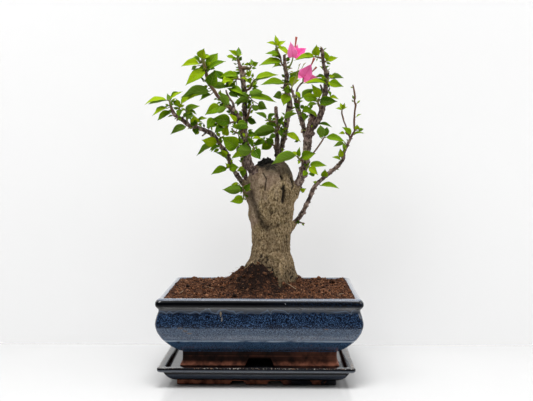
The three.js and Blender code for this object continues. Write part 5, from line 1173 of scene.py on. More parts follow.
def pot_glaze(settings):
    """Near-black glaze that breaks into blue specks on the shoulder and finer, greyer ones on the
    belly, over an unglazed clay foot. On top of these colours lie painted reflections on the neck,
    belly and slope, painted highlights along the crease and on the rim's top, and painted shade on the
    foot."""
    g = Graph("pot_glaze")
    place = g.place()
    x, y, z = g.parts(place)
    drift = g.noise(place, 0.03, 3) * 0.0035
    lobes = abs(((x + y) * 190 + g.noise(place, 0.05) * 11).wave())
    swing = g.noise(place, 0.045).rise(0.38, 0.58)
    scallop = z - lobes * (swing * 0.0016 + 0.0008)
    drips = z - lobes * (swing * 0.0040 + 0.0024)
    level = z + drift - 0.0017
    specks = g.cells(place, 0.0013).rise(0.60, 0.36)
    coarse = g.noise(place, 0.0016, 5, 0.9).rise(0.465, 0.525)
    drained = g.noise(place, 0.011, 3, 0.6).rise(0.36, 0.60) * 0.5 + 0.5
    fine = g.noise(place, 0.0011, 3, 0.7).rise(0.42, 0.62)
    dust = fine * 0.55 + specks * 0.45
    shoulder = level.above(BELLY_TOP_Z, 0.0007) * scallop.below(SHOULDER_TOP_Z, 0.0005)
    belly = level.below(BELLY_TOP_Z, 0.0007) * level.above(SLOPE_TOP_Z, 0.0006)
    slope = level.below(SLOPE_TOP_Z, 0.0006)
    rim_specks = coarse * specks * x.rise(-0.01, 0.08)
    colour = g.mix(rim_specks * 0.16, settings.glaze, settings.speck)
    # The rim's top is painted pale. This is partly glaze thinning over the edge and partly a painted
    # highlight.
    rim_thin_glaze_and_highlight = g.mix(fine, (0.12, 0.15, 0.21), (0.32, 0.36, 0.44))
    colour = g.mix(z.above(RIM_TOP_Z, 0.0008) * 0.8, colour, rim_thin_glaze_and_highlight)
    # The neck is painted grey with a paler band. This is partly its glaze and partly a painted
    # reflection of the floor.
    neck = z.below(NECK_TOP_Z, 0.0010) * scallop.above(NECK_BOTTOM_Z, 0.0005)
    colour = g.mix(neck * 0.6, colour, (0.048, 0.048, 0.052))
    colour = g.mix(z.between(*PALE_NECK, 0.0008) * 0.6, colour, (0.072, 0.086, 0.112))
    arcs = abs(drips - ARCS_Z).rise(0.0010, 0.0004) * g.noise(place, 0.03).rise(0.40, 0.52)
    colour = g.mix(drips.below(0.0971, 0.0003) * 0.4, colour, (0.040, 0.056, 0.085))
    specked = coarse * specks * drained * (1 - scallop.above(0.0945, 0.0007) * 0.45)
    colour = g.mix(shoulder, colour, g.mix(specked, (0.003, 0.006, 0.016), settings.speck))
    colour = g.mix(arcs * 0.75, colour, (0.11, 0.15, 0.22))
    # The belly is painted a lighter blue-grey and the slope a darker blue. This is partly their finer,
    # greyer glaze specks and partly painted reflection: the bright floor on the belly and the shaded
    # tray on the slope.
    colour = g.mix(belly, colour, g.mix(dust, (0.007, 0.016, 0.040), (0.090, 0.150, 0.245)))
    colour = g.mix(slope, colour, g.mix(dust, (0.009, 0.022, 0.050), (0.062, 0.118, 0.205)))
    # A painted highlight: a pale line along the crease where the belly turns down into the slope.
    crease_highlight = abs(z + drift * 0.12 - CREASE_Z).rise(0.0017, 0.0004)
    crease_highlight = crease_highlight * g.noise(place, 0.03).rise(0.30, 0.55)
    colour = g.mix(crease_highlight * 0.85, colour, (0.34, 0.41, 0.50))
    smear = g.noise(place, 0.014, 5, 0.75, 0.6).rise(0.68, 0.75) * level.below(0.095, 0.005)
    colour = g.mix(smear * 0.4, colour, (0.085, 0.06, 0.04))
    for flaw_x, flaw_z, half_width, half_height, shade in POT_FLAWS:
        across = (x - flaw_x * MM) / (half_width * MM)
        up = (z - flaw_z * MM) / (half_height * MM)
        spot = (across * across + up * up + fine * 1.2).rise(1.9, 0.7) * y.below(-0.055, 0.005)
        colour = g.mix(spot * 0.8, colour, shade)
    bare = (z + drift * 0.3).below(CLAY_TOP_Z, 0.0003)
    clay, clay_height = clay_look(g, place, settings.clay)
    ridge = z.between(*FOOT_RIDGE, 0.0004)
    # Painted shade on the clay foot: dark in the recess under the body, a little lighter on the foot's
    # ridge and towards the right, and a dark line at its bottom where it meets the tray.
    stain = (z.above(0.0296, 0.0022) * (1 - ridge * 0.3)).most(z.below(0.0255, 0.0004))
    clay = g.mix(stain * (0.9 - x.rise(0.02, 0.08) * 0.35), clay, (0.010, 0.006, 0.006))
    colour = g.mix(bare, colour, clay)
    gloss = bare * 0.5 + smear * 0.2 + fine * 0.06 + 0.06
    ripples = g.noise(place, 0.009, 2, 0.4) * 0.7 + fine * 0.05
    height = ripples * (1 - bare) + clay_height * bare
    shine = (1 - bare) * (1 - z.above(0.1063, 0.0007) * z.rise(0.1128, 0.1105))
    shine = shine * (1 - level.between(*DULL_LOW_SHOULDER, 0.0006) * 0.95)
    shine = shine * (1 - level.between(*DULL_LOW_BELLY, 0.0010) * 0.3)
    dull = level.below(0.0794, 0.0006).most(z.between(*DULL_NECK, 0.0008))
    return g.finish(colour, gloss, height, 0.0004, 0.6, Specular_IOR_Level=0.12,
                    Coat_Weight=shine * (1 - dull * 0.2), Coat_Roughness=0.04)


def clay_look(g, place, clay):
    """Colour and height of fired, unglazed clay."""
    grain = g.noise(place, 0.0008, 4, 0.7)
    patches = g.noise(place, 0.014, 4, 0.6)
    colour = g.mix(patches.rise(0.35, 0.7), clay, (0.06, 0.022, 0.014))
    colour = g.mix(grain.rise(0.62, 0.8) * 0.5, colour, (0.3, 0.17, 0.1))
    return colour, grain


def tray_glaze(settings):
    """Near-black glaze, worn to pale and brown dots along the rim, over a patchy clay foot, with
    painted light under the pale band and a painted contact shadow at the foot's bottom.
    """
    g = Graph("tray_glaze")
    place = g.place()
    x, y, z = g.parts(place)
    sideways = abs(x - TRAY_X) - (TRAY_LENGTH / 2 - TRAY_RIM_INSET)
    endways = abs(y) - (TRAY_DEPTH / 2 - TRAY_RIM_INSET)
    outer = sideways.most(endways)
    fine = g.noise(place, 0.0012, 3, 0.7)
    dots = g.cells(place, 0.0024).rise(0.46, 0.28) * g.noise(place, 0.013).rise(0.38, 0.5)
    colour = g.mix(fine.rise(0.45, 0.65), (0.003, 0.0035, 0.006), (0.016, 0.020, 0.029))
    cove = z.between(*TRAY_COVE, 0.0005)
    colour = g.mix(cove * 0.7, colour, g.mix(fine, (0.007, 0.011, 0.022), (0.034, 0.046, 0.070)))
    band = z.between(*TRAY_PALE_BAND, 0.0003) * outer.rise(-0.004, -0.002)
    colour = g.mix(band * 0.8, colour, g.mix(fine, (0.040, 0.050, 0.070), (0.080, 0.095, 0.120)))
    # Painted light: the lower part of the pale band, which faces down, is painted brighter.
    colour = g.mix(band * z.below(0.0228, 0.0005), colour, (0.16, 0.175, 0.20))
    black = z.between(*TRAY_BLACK_RIM, 0.0002).most(z.between(*TRAY_BLACK_NECK, 0.0003))
    black = black.most(outer.between(*TRAY_BLACK_LIP, 0.0004) * z.above(0.0216, 0.0002))
    # Below 1.3 mm the foot is painted black as a painted contact shadow.
    black = black.most(z.between(*TRAY_BLACK_SLOPE, 0.0004)).most(z.below(0.0013, 0.0003))
    black = black * outer.rise(-0.024, -0.022)
    colour = g.mix(black * 0.8, colour, (0.002, 0.002, 0.003))
    edge = outer.rise(-0.0030, -0.0020) * z.above(0.0265, 0.0002)
    colour = g.mix(edge * 0.25, colour, (0.06, 0.05, 0.042))
    brown = g.noise(place, 0.006).rise(0.45, 0.55)
    colour = g.mix(edge * dots, colour, g.mix(brown, (0.60, 0.56, 0.50), (0.30, 0.18, 0.11)))
    run = g.noise(g.stretched(place, 1, 1, 0.4), 0.016, 3, 0.5) * 0.006
    bare = (z - run).below(0.0039, 0.0003) * (x + run * 3).rise(0.055, 0.03)
    patch = g.noise(place, 0.02, 3).rise(0.56, 0.6) * z.below(0.0064, 0.0004)
    bare = bare.most(patch)
    clay, clay_height = clay_look(g, place, settings.clay)
    # Painted contact shadow: the clay darkens at the very bottom of the foot, and all of the clay is
    # darkened a little.
    clay = g.mix(z.below(0.0014, 0.0004) * 0.7 + 0.12, clay, (0.012, 0.006, 0.005))
    colour = g.mix(bare, colour, clay)
    gloss = bare * 0.55 + edge * dots * 0.3 + fine * 0.08 + 0.08
    height = g.noise(place, 0.008, 2) * (1 - bare) + clay_height * bare
    shine = (1 - bare) * (1 - black * 0.95) * (1 - cove * 0.5)
    return g.finish(colour, gloss, height, 0.0004, 0.6, Specular_IOR_Level=0.02,
                    Coat_Weight=shine, Coat_Roughness=0.06)


def mesh_plastic():
    """Dull black plastic of the drain meshes."""
    g = Graph("mesh_plastic")
    grain = g.noise(g.place(), 0.0006, 3)
    colour = g.mix(grain, (0.02, 0.02, 0.02), (0.04, 0.04, 0.038))
    return g.finish(colour, grain * 0.2 + 0.45, grain, 0.0001)


def coir(settings):
    """Crumbly coir: the marks carry each crumb's own shade and how damp it lies."""
    g = Graph("coir")
    place = g.place()
    shade, damp, _ = g.marks()
    clumps = g.noise(place, 0.009, 4, 0.65)
    crumbs = g.noise(place, 0.0021, 4, 0.7)
    colour = g.ramp(
        crumbs + shade * 0.28,
        (0.36, (0.008, 0.0036, 0.0022)),
        (0.48, settings.dark),
        (0.60, settings.light),
        (0.80, (0.40, 0.20, 0.11)),
    )
    colour = g.mix(clumps.rise(0.55, 0.35) * 0.5, colour, (0.02, 0.009, 0.006))
    colour = g.mix(damp * 0.9, colour, (0.0065, 0.003, 0.002))
    return g.finish(colour, 0.95, crumbs, 0.0012, 0.8, Specular_IOR_Level=0.2)


def old_bark(settings):
    """Khaki, finely fissured bark with smoother pinkish-grey patches on the upper trunk. The marks
    carry how dark the bark is painted, mostly painted shade in its fissures, cracks and hollows, how
    smooth the bark and how stained."""
    g = Graph("old_bark")
    place = g.place()
    dark, smooth, stain = g.marks()
    tall = g.stretched(place, 1, 1, 0.7)
    fissure = g.noise(tall, 0.0022, 5, 0.70, 0.5)
    flakes = g.cells(g.stretched(place, 1, 1, 0.6), 0.0020)
    broad = g.noise(g.stretched(place, 1, 1, 0.6), 0.016, 3)
    fine = g.noise(tall, 0.0009, 4, 0.75)
    relief = fissure * 0.75 + flakes * 0.3 + fine * 0.3
    rugged = g.ramp(
        relief,
        (0.42, (0.028, 0.018, 0.009)),
        (0.56, settings.bark_dark),
        (0.68, settings.bark),
        (0.84, settings.bark_light),
    )
    rugged = g.mix(broad.rise(0.45, 0.66) * 0.45, rugged, (0.115, 0.076, 0.042))
    skin = g.ramp(
        fine * 0.6 + fissure * 0.5,
        (0.40, (0.070, 0.045, 0.028)),
        (0.52, (0.215, 0.150, 0.090)),
        (0.64, (0.42, 0.33, 0.225)),
    )
    skin = g.mix(broad.rise(0.42, 0.6) * 0.6, skin, (0.25, 0.165, 0.120))
    middling = g.noise(tall, 0.0060, 4, 0.7)
    skin = g.mix(middling.rise(0.50, 0.62) * 0.5, skin, (0.42, 0.325, 0.235))
    skin = g.mix(middling.rise(0.48, 0.38) * 0.55, skin, (0.075, 0.050, 0.032))
    rugged = g.mix(middling.rise(0.52, 0.66) * 0.4, rugged, (0.46, 0.36, 0.20))
    colour = g.mix(smooth * 0.85, rugged, skin)
    moss = g.noise(place, 0.011, 4, 0.6).rise(0.54, 0.68) * 0.28
    colour = g.mix(moss * (1 - smooth * 0.6), colour, (0.13, 0.110, 0.032))
    colour = g.mix(g.parts(place)[2].rise(0.215, 0.150) * 0.26, colour, (0.140, 0.088, 0.055))
    # Painted shade: the first mark darkens fissures, cracks and hollows, and the bark near the soil.
    colour = g.mix(dark.rise(0.0, 1.0), colour, (0.008, 0.005, 0.003))
    colour = g.mix((dark * -1.0).rise(0.0, 1.0), colour, (0.42, 0.34, 0.22))
    colour = g.mix(stain * (fine.rise(0.35, 0.6) * 0.3 + 0.7), colour, (0.007, 0.007, 0.005))
    height = relief * (1 - smooth * 0.5)
    return g.finish(colour, 0.9, height, 0.0016, 0.9, Specular_IOR_Level=0.25)


def young_bark(settings):
    """Bark of the branches: purplish grey-brown with pale pores, paler where it catches the weather.
    The marks carry the share along the branch and how old the wood is."""
    g = Graph("young_bark")
    place = g.place()
    share, age, _ = g.marks()
    grain = g.noise(g.stretched(place, 1, 1, 0.6), 0.0030, 5, 0.72)
    broad = g.noise(place, 0.008, 4, 0.6)
    pores = g.cells(place, 0.0042).rise(0.30, 0.16) * g.noise(place, 0.01).rise(0.45, 0.6)
    colour = g.ramp(
        grain * 0.65 + broad * 0.5,
        (0.44, (0.014, 0.008, 0.007)),
        (0.54, settings.twig_dark),
        (0.62, settings.twig),
        (0.73, (0.50, 0.40, 0.33)),
    )
    colour = g.mix(pores * 0.7, colour, (0.40, 0.32, 0.24))
    colour = g.mix(age.rise(0.6, 1.0) * 0.7, colour, (0.15, 0.112, 0.070))
    young = share.rise(0.75, 1.0) * (1 - age)
    colour = g.mix(young * 0.7, colour, (0.16, 0.065, 0.035))
    return g.finish(colour, 0.8, grain + pores * 0.4, 0.0011, Specular_IOR_Level=0.3)


def green_stem():
    """Stems and leaf stalks: green at the leaves and brownish red where they leave the wood."""
    g = Graph("green_stem")
    share, _, _ = g.marks()
    grain = g.noise(g.place(), 0.0012, 3)
    colour = g.ramp(
        share + grain * 0.3 - 0.15,
        (0.0, (0.120, 0.046, 0.030)),
        (0.45, (0.16, 0.095, 0.03)),
        (0.8, (0.18, 0.24, 0.035)),
    )
    return g.finish(colour, 0.5, grain, 0.0002)


def veins_on(g, count):
    """How much of a vein there is at a point of a blade, and its marks: across, along, shade. It
    has a midrib and a count of side veins on each side."""
    across, along, shade = g.marks()
    side = abs(across)
    midrib = side.rise(0.075, 0.0)
    phase = (along - side * 0.3) * count
    rib = abs(phase - phase.math("ROUND", phase)).rise(0.11, 0.0) * side.rise(0.98, 0.5)
    return midrib.most(rib * 0.6), across, along, shade


def leaf_face(settings, name, under):
    """The upper or the under side of a leaf. The shade of each leaf goes from young to old, and one
    half of each blade is painted darker than the other, as painted shade across its fold.
    """
    g = Graph(name)
    place = g.place()
    veins, across, _, shade = veins_on(g, 6)
    side = abs(across)
    mottle = g.noise(place, 0.004, 3)
    # across * 0.16 paints one half of the blade darker than the other, as painted shade across the
    # fold.
    colour = g.ramp(
        shade + across * 0.16 + mottle * 0.26 - 0.13,
        (0.0, settings.leaf_young),
        (0.5, settings.leaf),
        (1.0, settings.leaf_dark),
    )
    colour = g.mix(side.rise(0.72, 1.0) * 0.4, colour, settings.leaf_young)
    if under:
        colour = g.mix(0.6, colour, settings.leaf_under)
    vein_colour = g.mix(0.6, colour, (0.36, 0.46, 0.09))
    colour = g.mix(veins * (0.85 if under else 0.7), colour, vein_colour)
    height = (veins if under else 1 - veins) + mottle * 0.3
    roughness = 0.6 if under else 0.45
    return g.finish(colour, roughness, height, 0.0004, 0.9, Specular_IOR_Level=0.04)


def bract_paper(settings):
    """Papery pink bract with a net of darker veins, deeper at the base, and a faint painted glow in its
    own colour.
    """
    g = Graph("bract_paper")
    place = g.place()
    veins, _, along, shade = veins_on(g, 8)
    net = g.cells(place, 0.0021, "DISTANCE_TO_EDGE").rise(0.10, 0.0)
    mottle = g.noise(place, 0.003, 3)
    colour = g.mix(shade, settings.bract, settings.bract_pale)
    colour = g.mix(along.rise(0.35, 0.0) * 0.4, colour, (0.66, 0.05, 0.20))
    colour = g.mix(veins * 0.55, colour, (0.66, 0.04, 0.26))
    colour = g.mix(net * 0.25 + mottle * 0.15, colour, (0.70, 0.07, 0.33))
    height = veins + net * 0.5 + mottle * 0.4
    # Painted light: each bract glows faintly in its own colour, which brightens it.
    return g.finish(colour, 0.6, height, 0.0004, 0.8, Specular_IOR_Level=0.1,
                    Subsurface_Weight=0.2, Subsurface_Radius=(1.0, 0.35, 0.6),
                    Subsurface_Scale=0.0015, Emission_Color=colour, Emission_Strength=0.25)


def flower_tube():
    """Reddish, downy tube of a flower."""
    g = Graph("flower_tube")
    share, _, _ = g.marks()
    down = g.noise(g.place(), 0.0007, 3)
    colour = g.mix(share, (0.42, 0.10, 0.035), (0.50, 0.035, 0.035))
    colour = g.mix(down.rise(0.5, 0.8) * 0.4, colour, (0.62, 0.2, 0.14))
    return g.finish(colour, 0.6, down, 0.0002)


def wound_paste():
    """Cracked black sealing paste, dusty on its high points."""
    g = Graph("wound_paste")
    place = g.place()
    lumps = g.noise(place, 0.004, 5, 0.7)
    cracks = g.cells(place, 0.005, "DISTANCE_TO_EDGE").rise(0.0, 0.08)
    colour = g.mix(lumps.rise(0.5, 0.75), (0.006, 0.006, 0.005), (0.045, 0.04, 0.034))
    height = lumps + cracks * 0.5
    return g.finish(colour, lumps * 0.3 + 0.65, height, 0.0015, Specular_IOR_Level=0.2)


def dry_scale():
    """Pale dry scales, bud tips and straw."""
    g = Graph("dry_scale")
    shade, _, _ = g.marks()
    grain = g.noise(g.place(), 0.0015, 3)
    colour = g.mix(grain, (0.24, 0.15, 0.08), (0.5, 0.38, 0.25))
    colour = g.mix(shade, colour, (0.27, 0.36, 0.03))
    return g.finish(colour, 0.75, grain, 0.0003)


def paper(g, colour, fade):
    """A plain pale paper colour with the faintest mottle."""
    mottle = g.noise(g.place(), 0.12, 4)
    return g.mix(mottle, colour, faded(colour, fade))


def faded(colour, share):
    """A colour darkened to a share of itself."""
    return tuple(part * share for part in colour)


def studio_white(name, colour, gloss):
    """Pale paper for the floor."""
    g = Graph(name)
    shader = g.node("ShaderNodeBsdfPrincipled", None,
                    {"Base Color": paper(g, colour, 0.97), "Roughness": gloss})
    g.node("ShaderNodeOutputMaterial", None, {"Surface": shader})
    return g.owner


# ------------------------------------------------------------------------------------ pieces
def handmade(points, amount, flare, size, shift):
    """A slow wobble of a pressed wall, in its own plane, with the corners drawn out a little."""
    wobble = rough(points, size, 2, (1, 1, 1.6), shift)
    outward = points * (1, 1, 0)
    outward /= np.maximum(np.linalg.norm(outward, axis=1, keepdims=True), 1e-6)
    spread = np.abs(points[:, :2]) / np.abs(points[:, :2]).max(axis=0)
    corner = np.clip(spread.prod(axis=1) - CORNER_START, 0, 1) / CORNER_RUN
    return points + outward * (wobble * amount + corner * flare)[:, None]


def make_tray(ware):
    """The drip tray, with two notches cut through its foot from front to back."""
    outline = TRAY_UNDER + TRAY_WALL + TRAY_INSIDE
    rings = ware_rings(TRAY_LENGTH, TRAY_DEPTH, TRAY_CORNER, outline, 0, TRAY_X)
    points, faces = closed_loft(rings)
    middle = (TRAY_X, 0, 0)
    points = handmade(points - middle, ware.wobble * 0.6, TRAY_FLARE, 0.05, 2) + middle
    points[:, 2] = np.minimum(points[:, 2], TRAY_HIGH.z)
    tray = Piece()
    tray.add(points, faces)
    made = tray.build("glazed_tray", [tray_glaze(ware)], SHARP_EDGE)
    top_width = TRAY_NOTCH_WIDTH * TRAY_NOTCH_TOP_SHARE
    notches = [
        slot_body(TRAY_X + side * TRAY_NOTCH_SPACING / 2, TRAY_NOTCH_WIDTH, top_width, -CUT_SPARE,
                  TRAY_NOTCH_HEIGHT, TRAY_DEPTH * 1.1)
        for side in (-1, 1)
    ]
    return settle(cut(made, notches), "drip_tray")


def make_pot(ware):
    """The pot, with an arch cut through the front and back of its foot and two drains."""
    outline = POT_UNDER + POT_WALL + POT_INSIDE
    base = POT_LOW.z
    rings = ware_rings(POT_LENGTH, POT_DEPTH, POT_CORNER, outline, base)
    points, faces = closed_loft(rings)
    points = handmade(points, ware.wobble, POT_FLARE, 0.06, 5)
    pot = Piece()
    pot.add(points, faces)
    made = pot.build("glazed_pot", [pot_glaze(ware)], SHARP_EDGE)
    arch = slot_body(0, ARCH_WIDTH, ARCH_TOP_WIDTH, base - CUT_SPARE, base + ARCH_HEIGHT, POT_DEPTH)
    drains = [
        limb([(side * DRAIN_X, 0, base + z, DRAIN_RADIUS) for z in DRAIN_ENDS], 40, rounded=False)
        for side in (-1, 1)
    ]
    return settle(cut(made, [arch, *drains]), "pot")


def dress_drain_meshes():
    """The drain meshes keep their own shape and get a plastic finish."""
    plastic = mesh_plastic()
    for side in ("left", "right"):
        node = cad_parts[f"drain_mesh_{side}"]
        for slot in node.material_slots:
            slot.material = plastic


def soil_height(x, y):
    """Height of the raked soil, before its crumbs."""
    height = np.full(np.shape(x), SOIL_EDGE_Z)
    for rise, mound_x, mound_y, spread_x, spread_y in SOIL_MOUNDS:
        across = (x - mound_x * MM) / (spread_x * MM)
        ahead = (y - mound_y * MM) / (spread_y * MM)
        height += rise * MM * np.exp(-(across**2 + ahead**2))
    return height


def foot_share(x, y):
    """1 on the soil heaped in front of the trunk's left foot, falling to 0 round it."""
    return np.exp(-(((x + 0.005) / 0.033) ** 4) - ((y + 0.036) / 0.026) ** 4)


def soil_surface(x, y):
    """Height of the soil, for arrays of places: slow swells, the rake's furrows, lumps, crumbs and
    the coarse heap at the trunk's foot, each with its size and its height in metres."""
    flat = np.stack([x, y, np.zeros_like(x)], axis=1)
    z = soil_height(x, y)
    z += rough(flat, 0.022, 2, shift=3) * 0.0018
    z += rough(flat * (0.3, 1, 1), 0.0055, 2, shift=5) * 0.0010
    z += rough(flat, 0.0075, 3, shift=7) * 0.0019
    z += np.abs(rough(flat, 0.0034, 3, shift=11)) * 0.0019
    z += np.abs(rough(flat, 0.0062, 3, shift=13)) * 0.0042 * foot_share(x, y)
    return z


def damp_share(x, y):
    """How dark and damp the soil lies, most at the trunk's left foot."""
    patches = rough(np.stack([x, y, np.zeros_like(x)], axis=1), 0.014, 4, shift=17)
    ahead = np.exp(-(((x - 0.008) / 0.060) ** 2) - ((y + 0.062) / 0.034) ** 2)
    damp = foot_share(x, y) * (0.95 + patches * 0.9) + np.clip(patches, 0, 1) * 0.35
    return np.clip(damp + ahead * (0.30 + patches * 0.5), 0, 1)


def crumb_shape():
    """Corners and faces of a coarse ball that the crumbs are knocked out of."""
    golden = (1 + 5**0.5) / 2
    corners = [(-1, golden, 0), (1, golden, 0), (-1, -golden, 0), (1, -golden, 0), (0, -1, golden),
               (0, 1, golden), (0, -1, -golden), (0, 1, -golden), (golden, 0, -1), (golden, 0, 1),
               (-golden, 0, -1), (-golden, 0, 1)]
    faces = [(0, 11, 5), (0, 5, 1), (0, 1, 7), (0, 7, 10), (0, 10, 11), (1, 5, 9), (5, 11, 4),
             (11, 10, 2), (10, 7, 6), (7, 1, 8), (3, 9, 4), (3, 4, 2), (3, 2, 6), (3, 6, 8),
             (3, 8, 9), (4, 9, 5), (2, 4, 11), (6, 2, 10), (8, 6, 7), (9, 8, 1)]
    corners = np.array(corners, float)
    return corners / np.linalg.norm(corners[0]), faces


def add_raked_soil(piece):
    """The raked surface: rings of the pot's own inner outline, drawn in towards the middle, over
    a skirt that follows the inside of the pot."""
    corner = POT_CORNER - SOIL_INSET * CORNER_DRAWN_IN
    rim = rounded_loop(2 * SOIL_HALF_X, 2 * SOIL_HALF_Y, corner, 0, 180, 104, 8)
    rings = []
    damp = []
    for step in range(SOIL_RINGS):
        shrink = 1 - step / (SOIL_RINGS - 0.5)
        x, y = rim[:, 0] * shrink, rim[:, 1] * shrink
        rings.append(np.stack([x, y, soil_surface(x, y)], axis=1))
        damp.append(damp_share(x, y))
    skirt = []
    for inset_mm, z_mm in SOIL_SKIRT:
        inset = inset_mm * MM - SOIL_INSET
        skirt.append(rim * (1 - inset / SOIL_HALF_X, 1 - inset / SOIL_HALF_Y, 0) + (0, 0, z_mm * MM))
    points, faces = closed_loft([*skirt, *rings])
    marks = np.zeros((len(points), 3))
    start = len(skirt) * len(rim)
    marks[start:start + SOIL_RINGS * len(rim), 1] = np.concatenate(damp)
    piece.add(points, faces, 0, marks)


def scattered(chance, count, share_x, share_y):
    """Random places on the soil, within a share of its half length and its half depth."""
    x = chance.uniform(-SOIL_HALF_X, SOIL_HALF_X, count) * share_x
    y = chance.uniform(-SOIL_HALF_Y, SOIL_HALF_Y, count) * share_y
    return x, y, soil_surface(x, y)


def add_crumbs(piece, chance, count):
    """Crumbs of coir, each a knocked-about ball sunk a little into the surface."""
    corners, faces = crumb_shape()
    x, y, z = scattered(chance, count, 0.985, 0.98)
    damp = damp_share(x, y)
    size = chance.uniform(*CRUMB_RADIUS, count) * (1 + (chance.random(count) > SMALL_CRUMBS))
    for i in range(count):
        turn = np.linalg.qr(chance.normal(size=(3, 3)))[0]
        shape = corners * chance.uniform(0.7, 1.3, (12, 1)) * chance.uniform(0.55, 1.2, 3)
        place = (x[i], y[i], z[i] + size[i] * 0.25)
        marks = (chance.uniform(-0.6, 0.9), damp[i] * 0.62, 0)
        piece.add((shape @ turn) * size[i] + place, faces, 0, marks)


def add_fibres(piece, chance, count):
    """Coir fibres: thin curved hairs that lie on the crumbs, none over the edge of the soil."""
    x, y, z = scattered(chance, count, 0.95, 0.92)
    for i in range(count):
        length = chance.uniform(*FIBRE_LENGTH)
        heading = chance.uniform(0, 2 * math.pi)
        ahead = np.array([math.cos(heading), math.sin(heading), 0])
        aside = np.array([-ahead[1], ahead[0], 0]) * chance.uniform(-0.35, 0.35) * length
        middle = np.array([x[i], y[i], z[i] + 0.0010])
        ends = [middle - ahead * length / 2, middle + aside, middle + ahead * length / 2]
        lifts = chance.uniform(-0.0006, 0.0016, 3)
        radius = chance.uniform(*FIBRE_RADIUS)
        rows = [(*(point + (0, 0, lift)), radius) for point, lift in zip(ends, lifts)]
        if max(abs(rows[0][0]), abs(rows[2][0])) > SOIL_HALF_X * 0.97:
            continue
        if max(abs(rows[0][1]), abs(rows[2][1])) > SOIL_HALF_Y * 0.95:
            continue
        body = limb(smooth_run(rows, length / 6), 4, rounded=False)
        piece.add(*body, 0, (chance.uniform(0.2, 1.2), 0, 0))


def make_soil(soil):
    """The soil in the pot, in one piece with its crumbs, its fibres and a few straws."""
    chance = np.random.default_rng(41)
    made = Piece()
    add_raked_soil(made)
    add_crumbs(made, chance, soil.crumbs)
    add_fibres(made, chance, soil.fibres)
    for (x0, y0), (x1, y1), radius in SOIL_STRAWS:
        ends = np.array([(x0, y0), ((x0 + x1) / 2, (y0 + y1) / 2 + 0.001), (x1, y1)])
        z = soil_surface(ends[:, 0], ends[:, 1]) + 0.0016
        rows = np.column_stack([ends, z, np.full(3, radius)])
        made.add(*limb(smooth_run(rows, 0.001), 6, rounded=False), 1)
    return settle(made.build("coir_soil", [coir(soil), dry_scale()]), "soil")


def oval(x, y, z, half_width, half_depth, angles):
    """A level ring of points round a place. Its half width and half depth may differ by angle."""
    across, ahead = half_width * np.cos(angles), half_depth * np.sin(angles)
    return np.stack([x + across, y + ahead, z + 0 * angles], axis=1)


def trunk_core():
    """The trunk's body: an oval at each row of its outline, carried on below the soil."""
    levels = []
    for row, left, right, half_depth in TRUNK_OUTLINE:
        start, end = sighted(left, row, 0), sighted(right, row, 0)
        levels.append((*((start + end) / 2), np.linalg.norm(end - start) / 2, half_depth * MM))
    foot = (*levels[0][:2], TRUNK_FOOT_Z, *levels[0][3:])
    angles = circle(56)
    rings = []
    for x, y, z, half_width, half_depth in smooth_run([foot, *levels], 0.0025):
        depth = FLUTES_ABOVE if z > FLUTES_EASE_Z else FLUTES_BELOW
        flute = 1 - depth * (1 - np.cos(5 * angles)) * np.abs(np.sin(angles))
        rings.append(oval(x, y, z, half_width * flute, half_depth * flute, angles))
    return closed_loft(rings)


def trunk_collars():
    """Where each branch leaves the trunk, the bark swells a little way up round it."""
    collars = []
    for plan in BRANCHES.values():
        if plan["path"][0][1] < BRANCH_ON_TRUNK_ROW:
            continue
        rows = smooth_run(stations_of(plan["path"]), 0.002)[:9]
        rows = np.vstack([drawn_back(rows, 0.008), rows])
        count = len(rows)
        rows[:, 3] = rows[:, 3] * np.linspace(1.45, 0.93, count) + np.linspace(0.0012, 0, count)
        collars.append(rows)
    return collars


def drawn_back(rows, reach):
    """A station that lies a reach before the first one of some rows."""
    start = rows[0].copy()
    start[:3] -= unit(rows[1, :3] - rows[0, :3]) * reach
    return start


def bark_smoothness(places, patches):
    """0 on the fissured foot of the trunk, 1 on its smooth skin higher up and down its left edge."""
    column, row = places.T
    smooth = (TRUNK_ROUGH_ROW - row) / 20 + patches * 0.9 - np.clip(column - 268, 0, 12) * 0.05
    left_edge = np.clip(1 - np.abs(column - 252.5) / 7, 0, 1) * np.clip((256 - row) / 10, 0, 1)
    return eased(np.clip(smooth + left_edge * 2.2, 0, 1))


def paste_stains(places, ragged):
    """How much of the sealing paste has run down over the bark: a thick run and a faint one."""
    shares = []
    for line, spread, soft, strength in PASTE_RUNS:
        reach = near_line(places, line) + ragged - spread
        shares.append(np.clip(1 - reach / soft, 0, 1) * strength)
    return np.maximum(*shares)


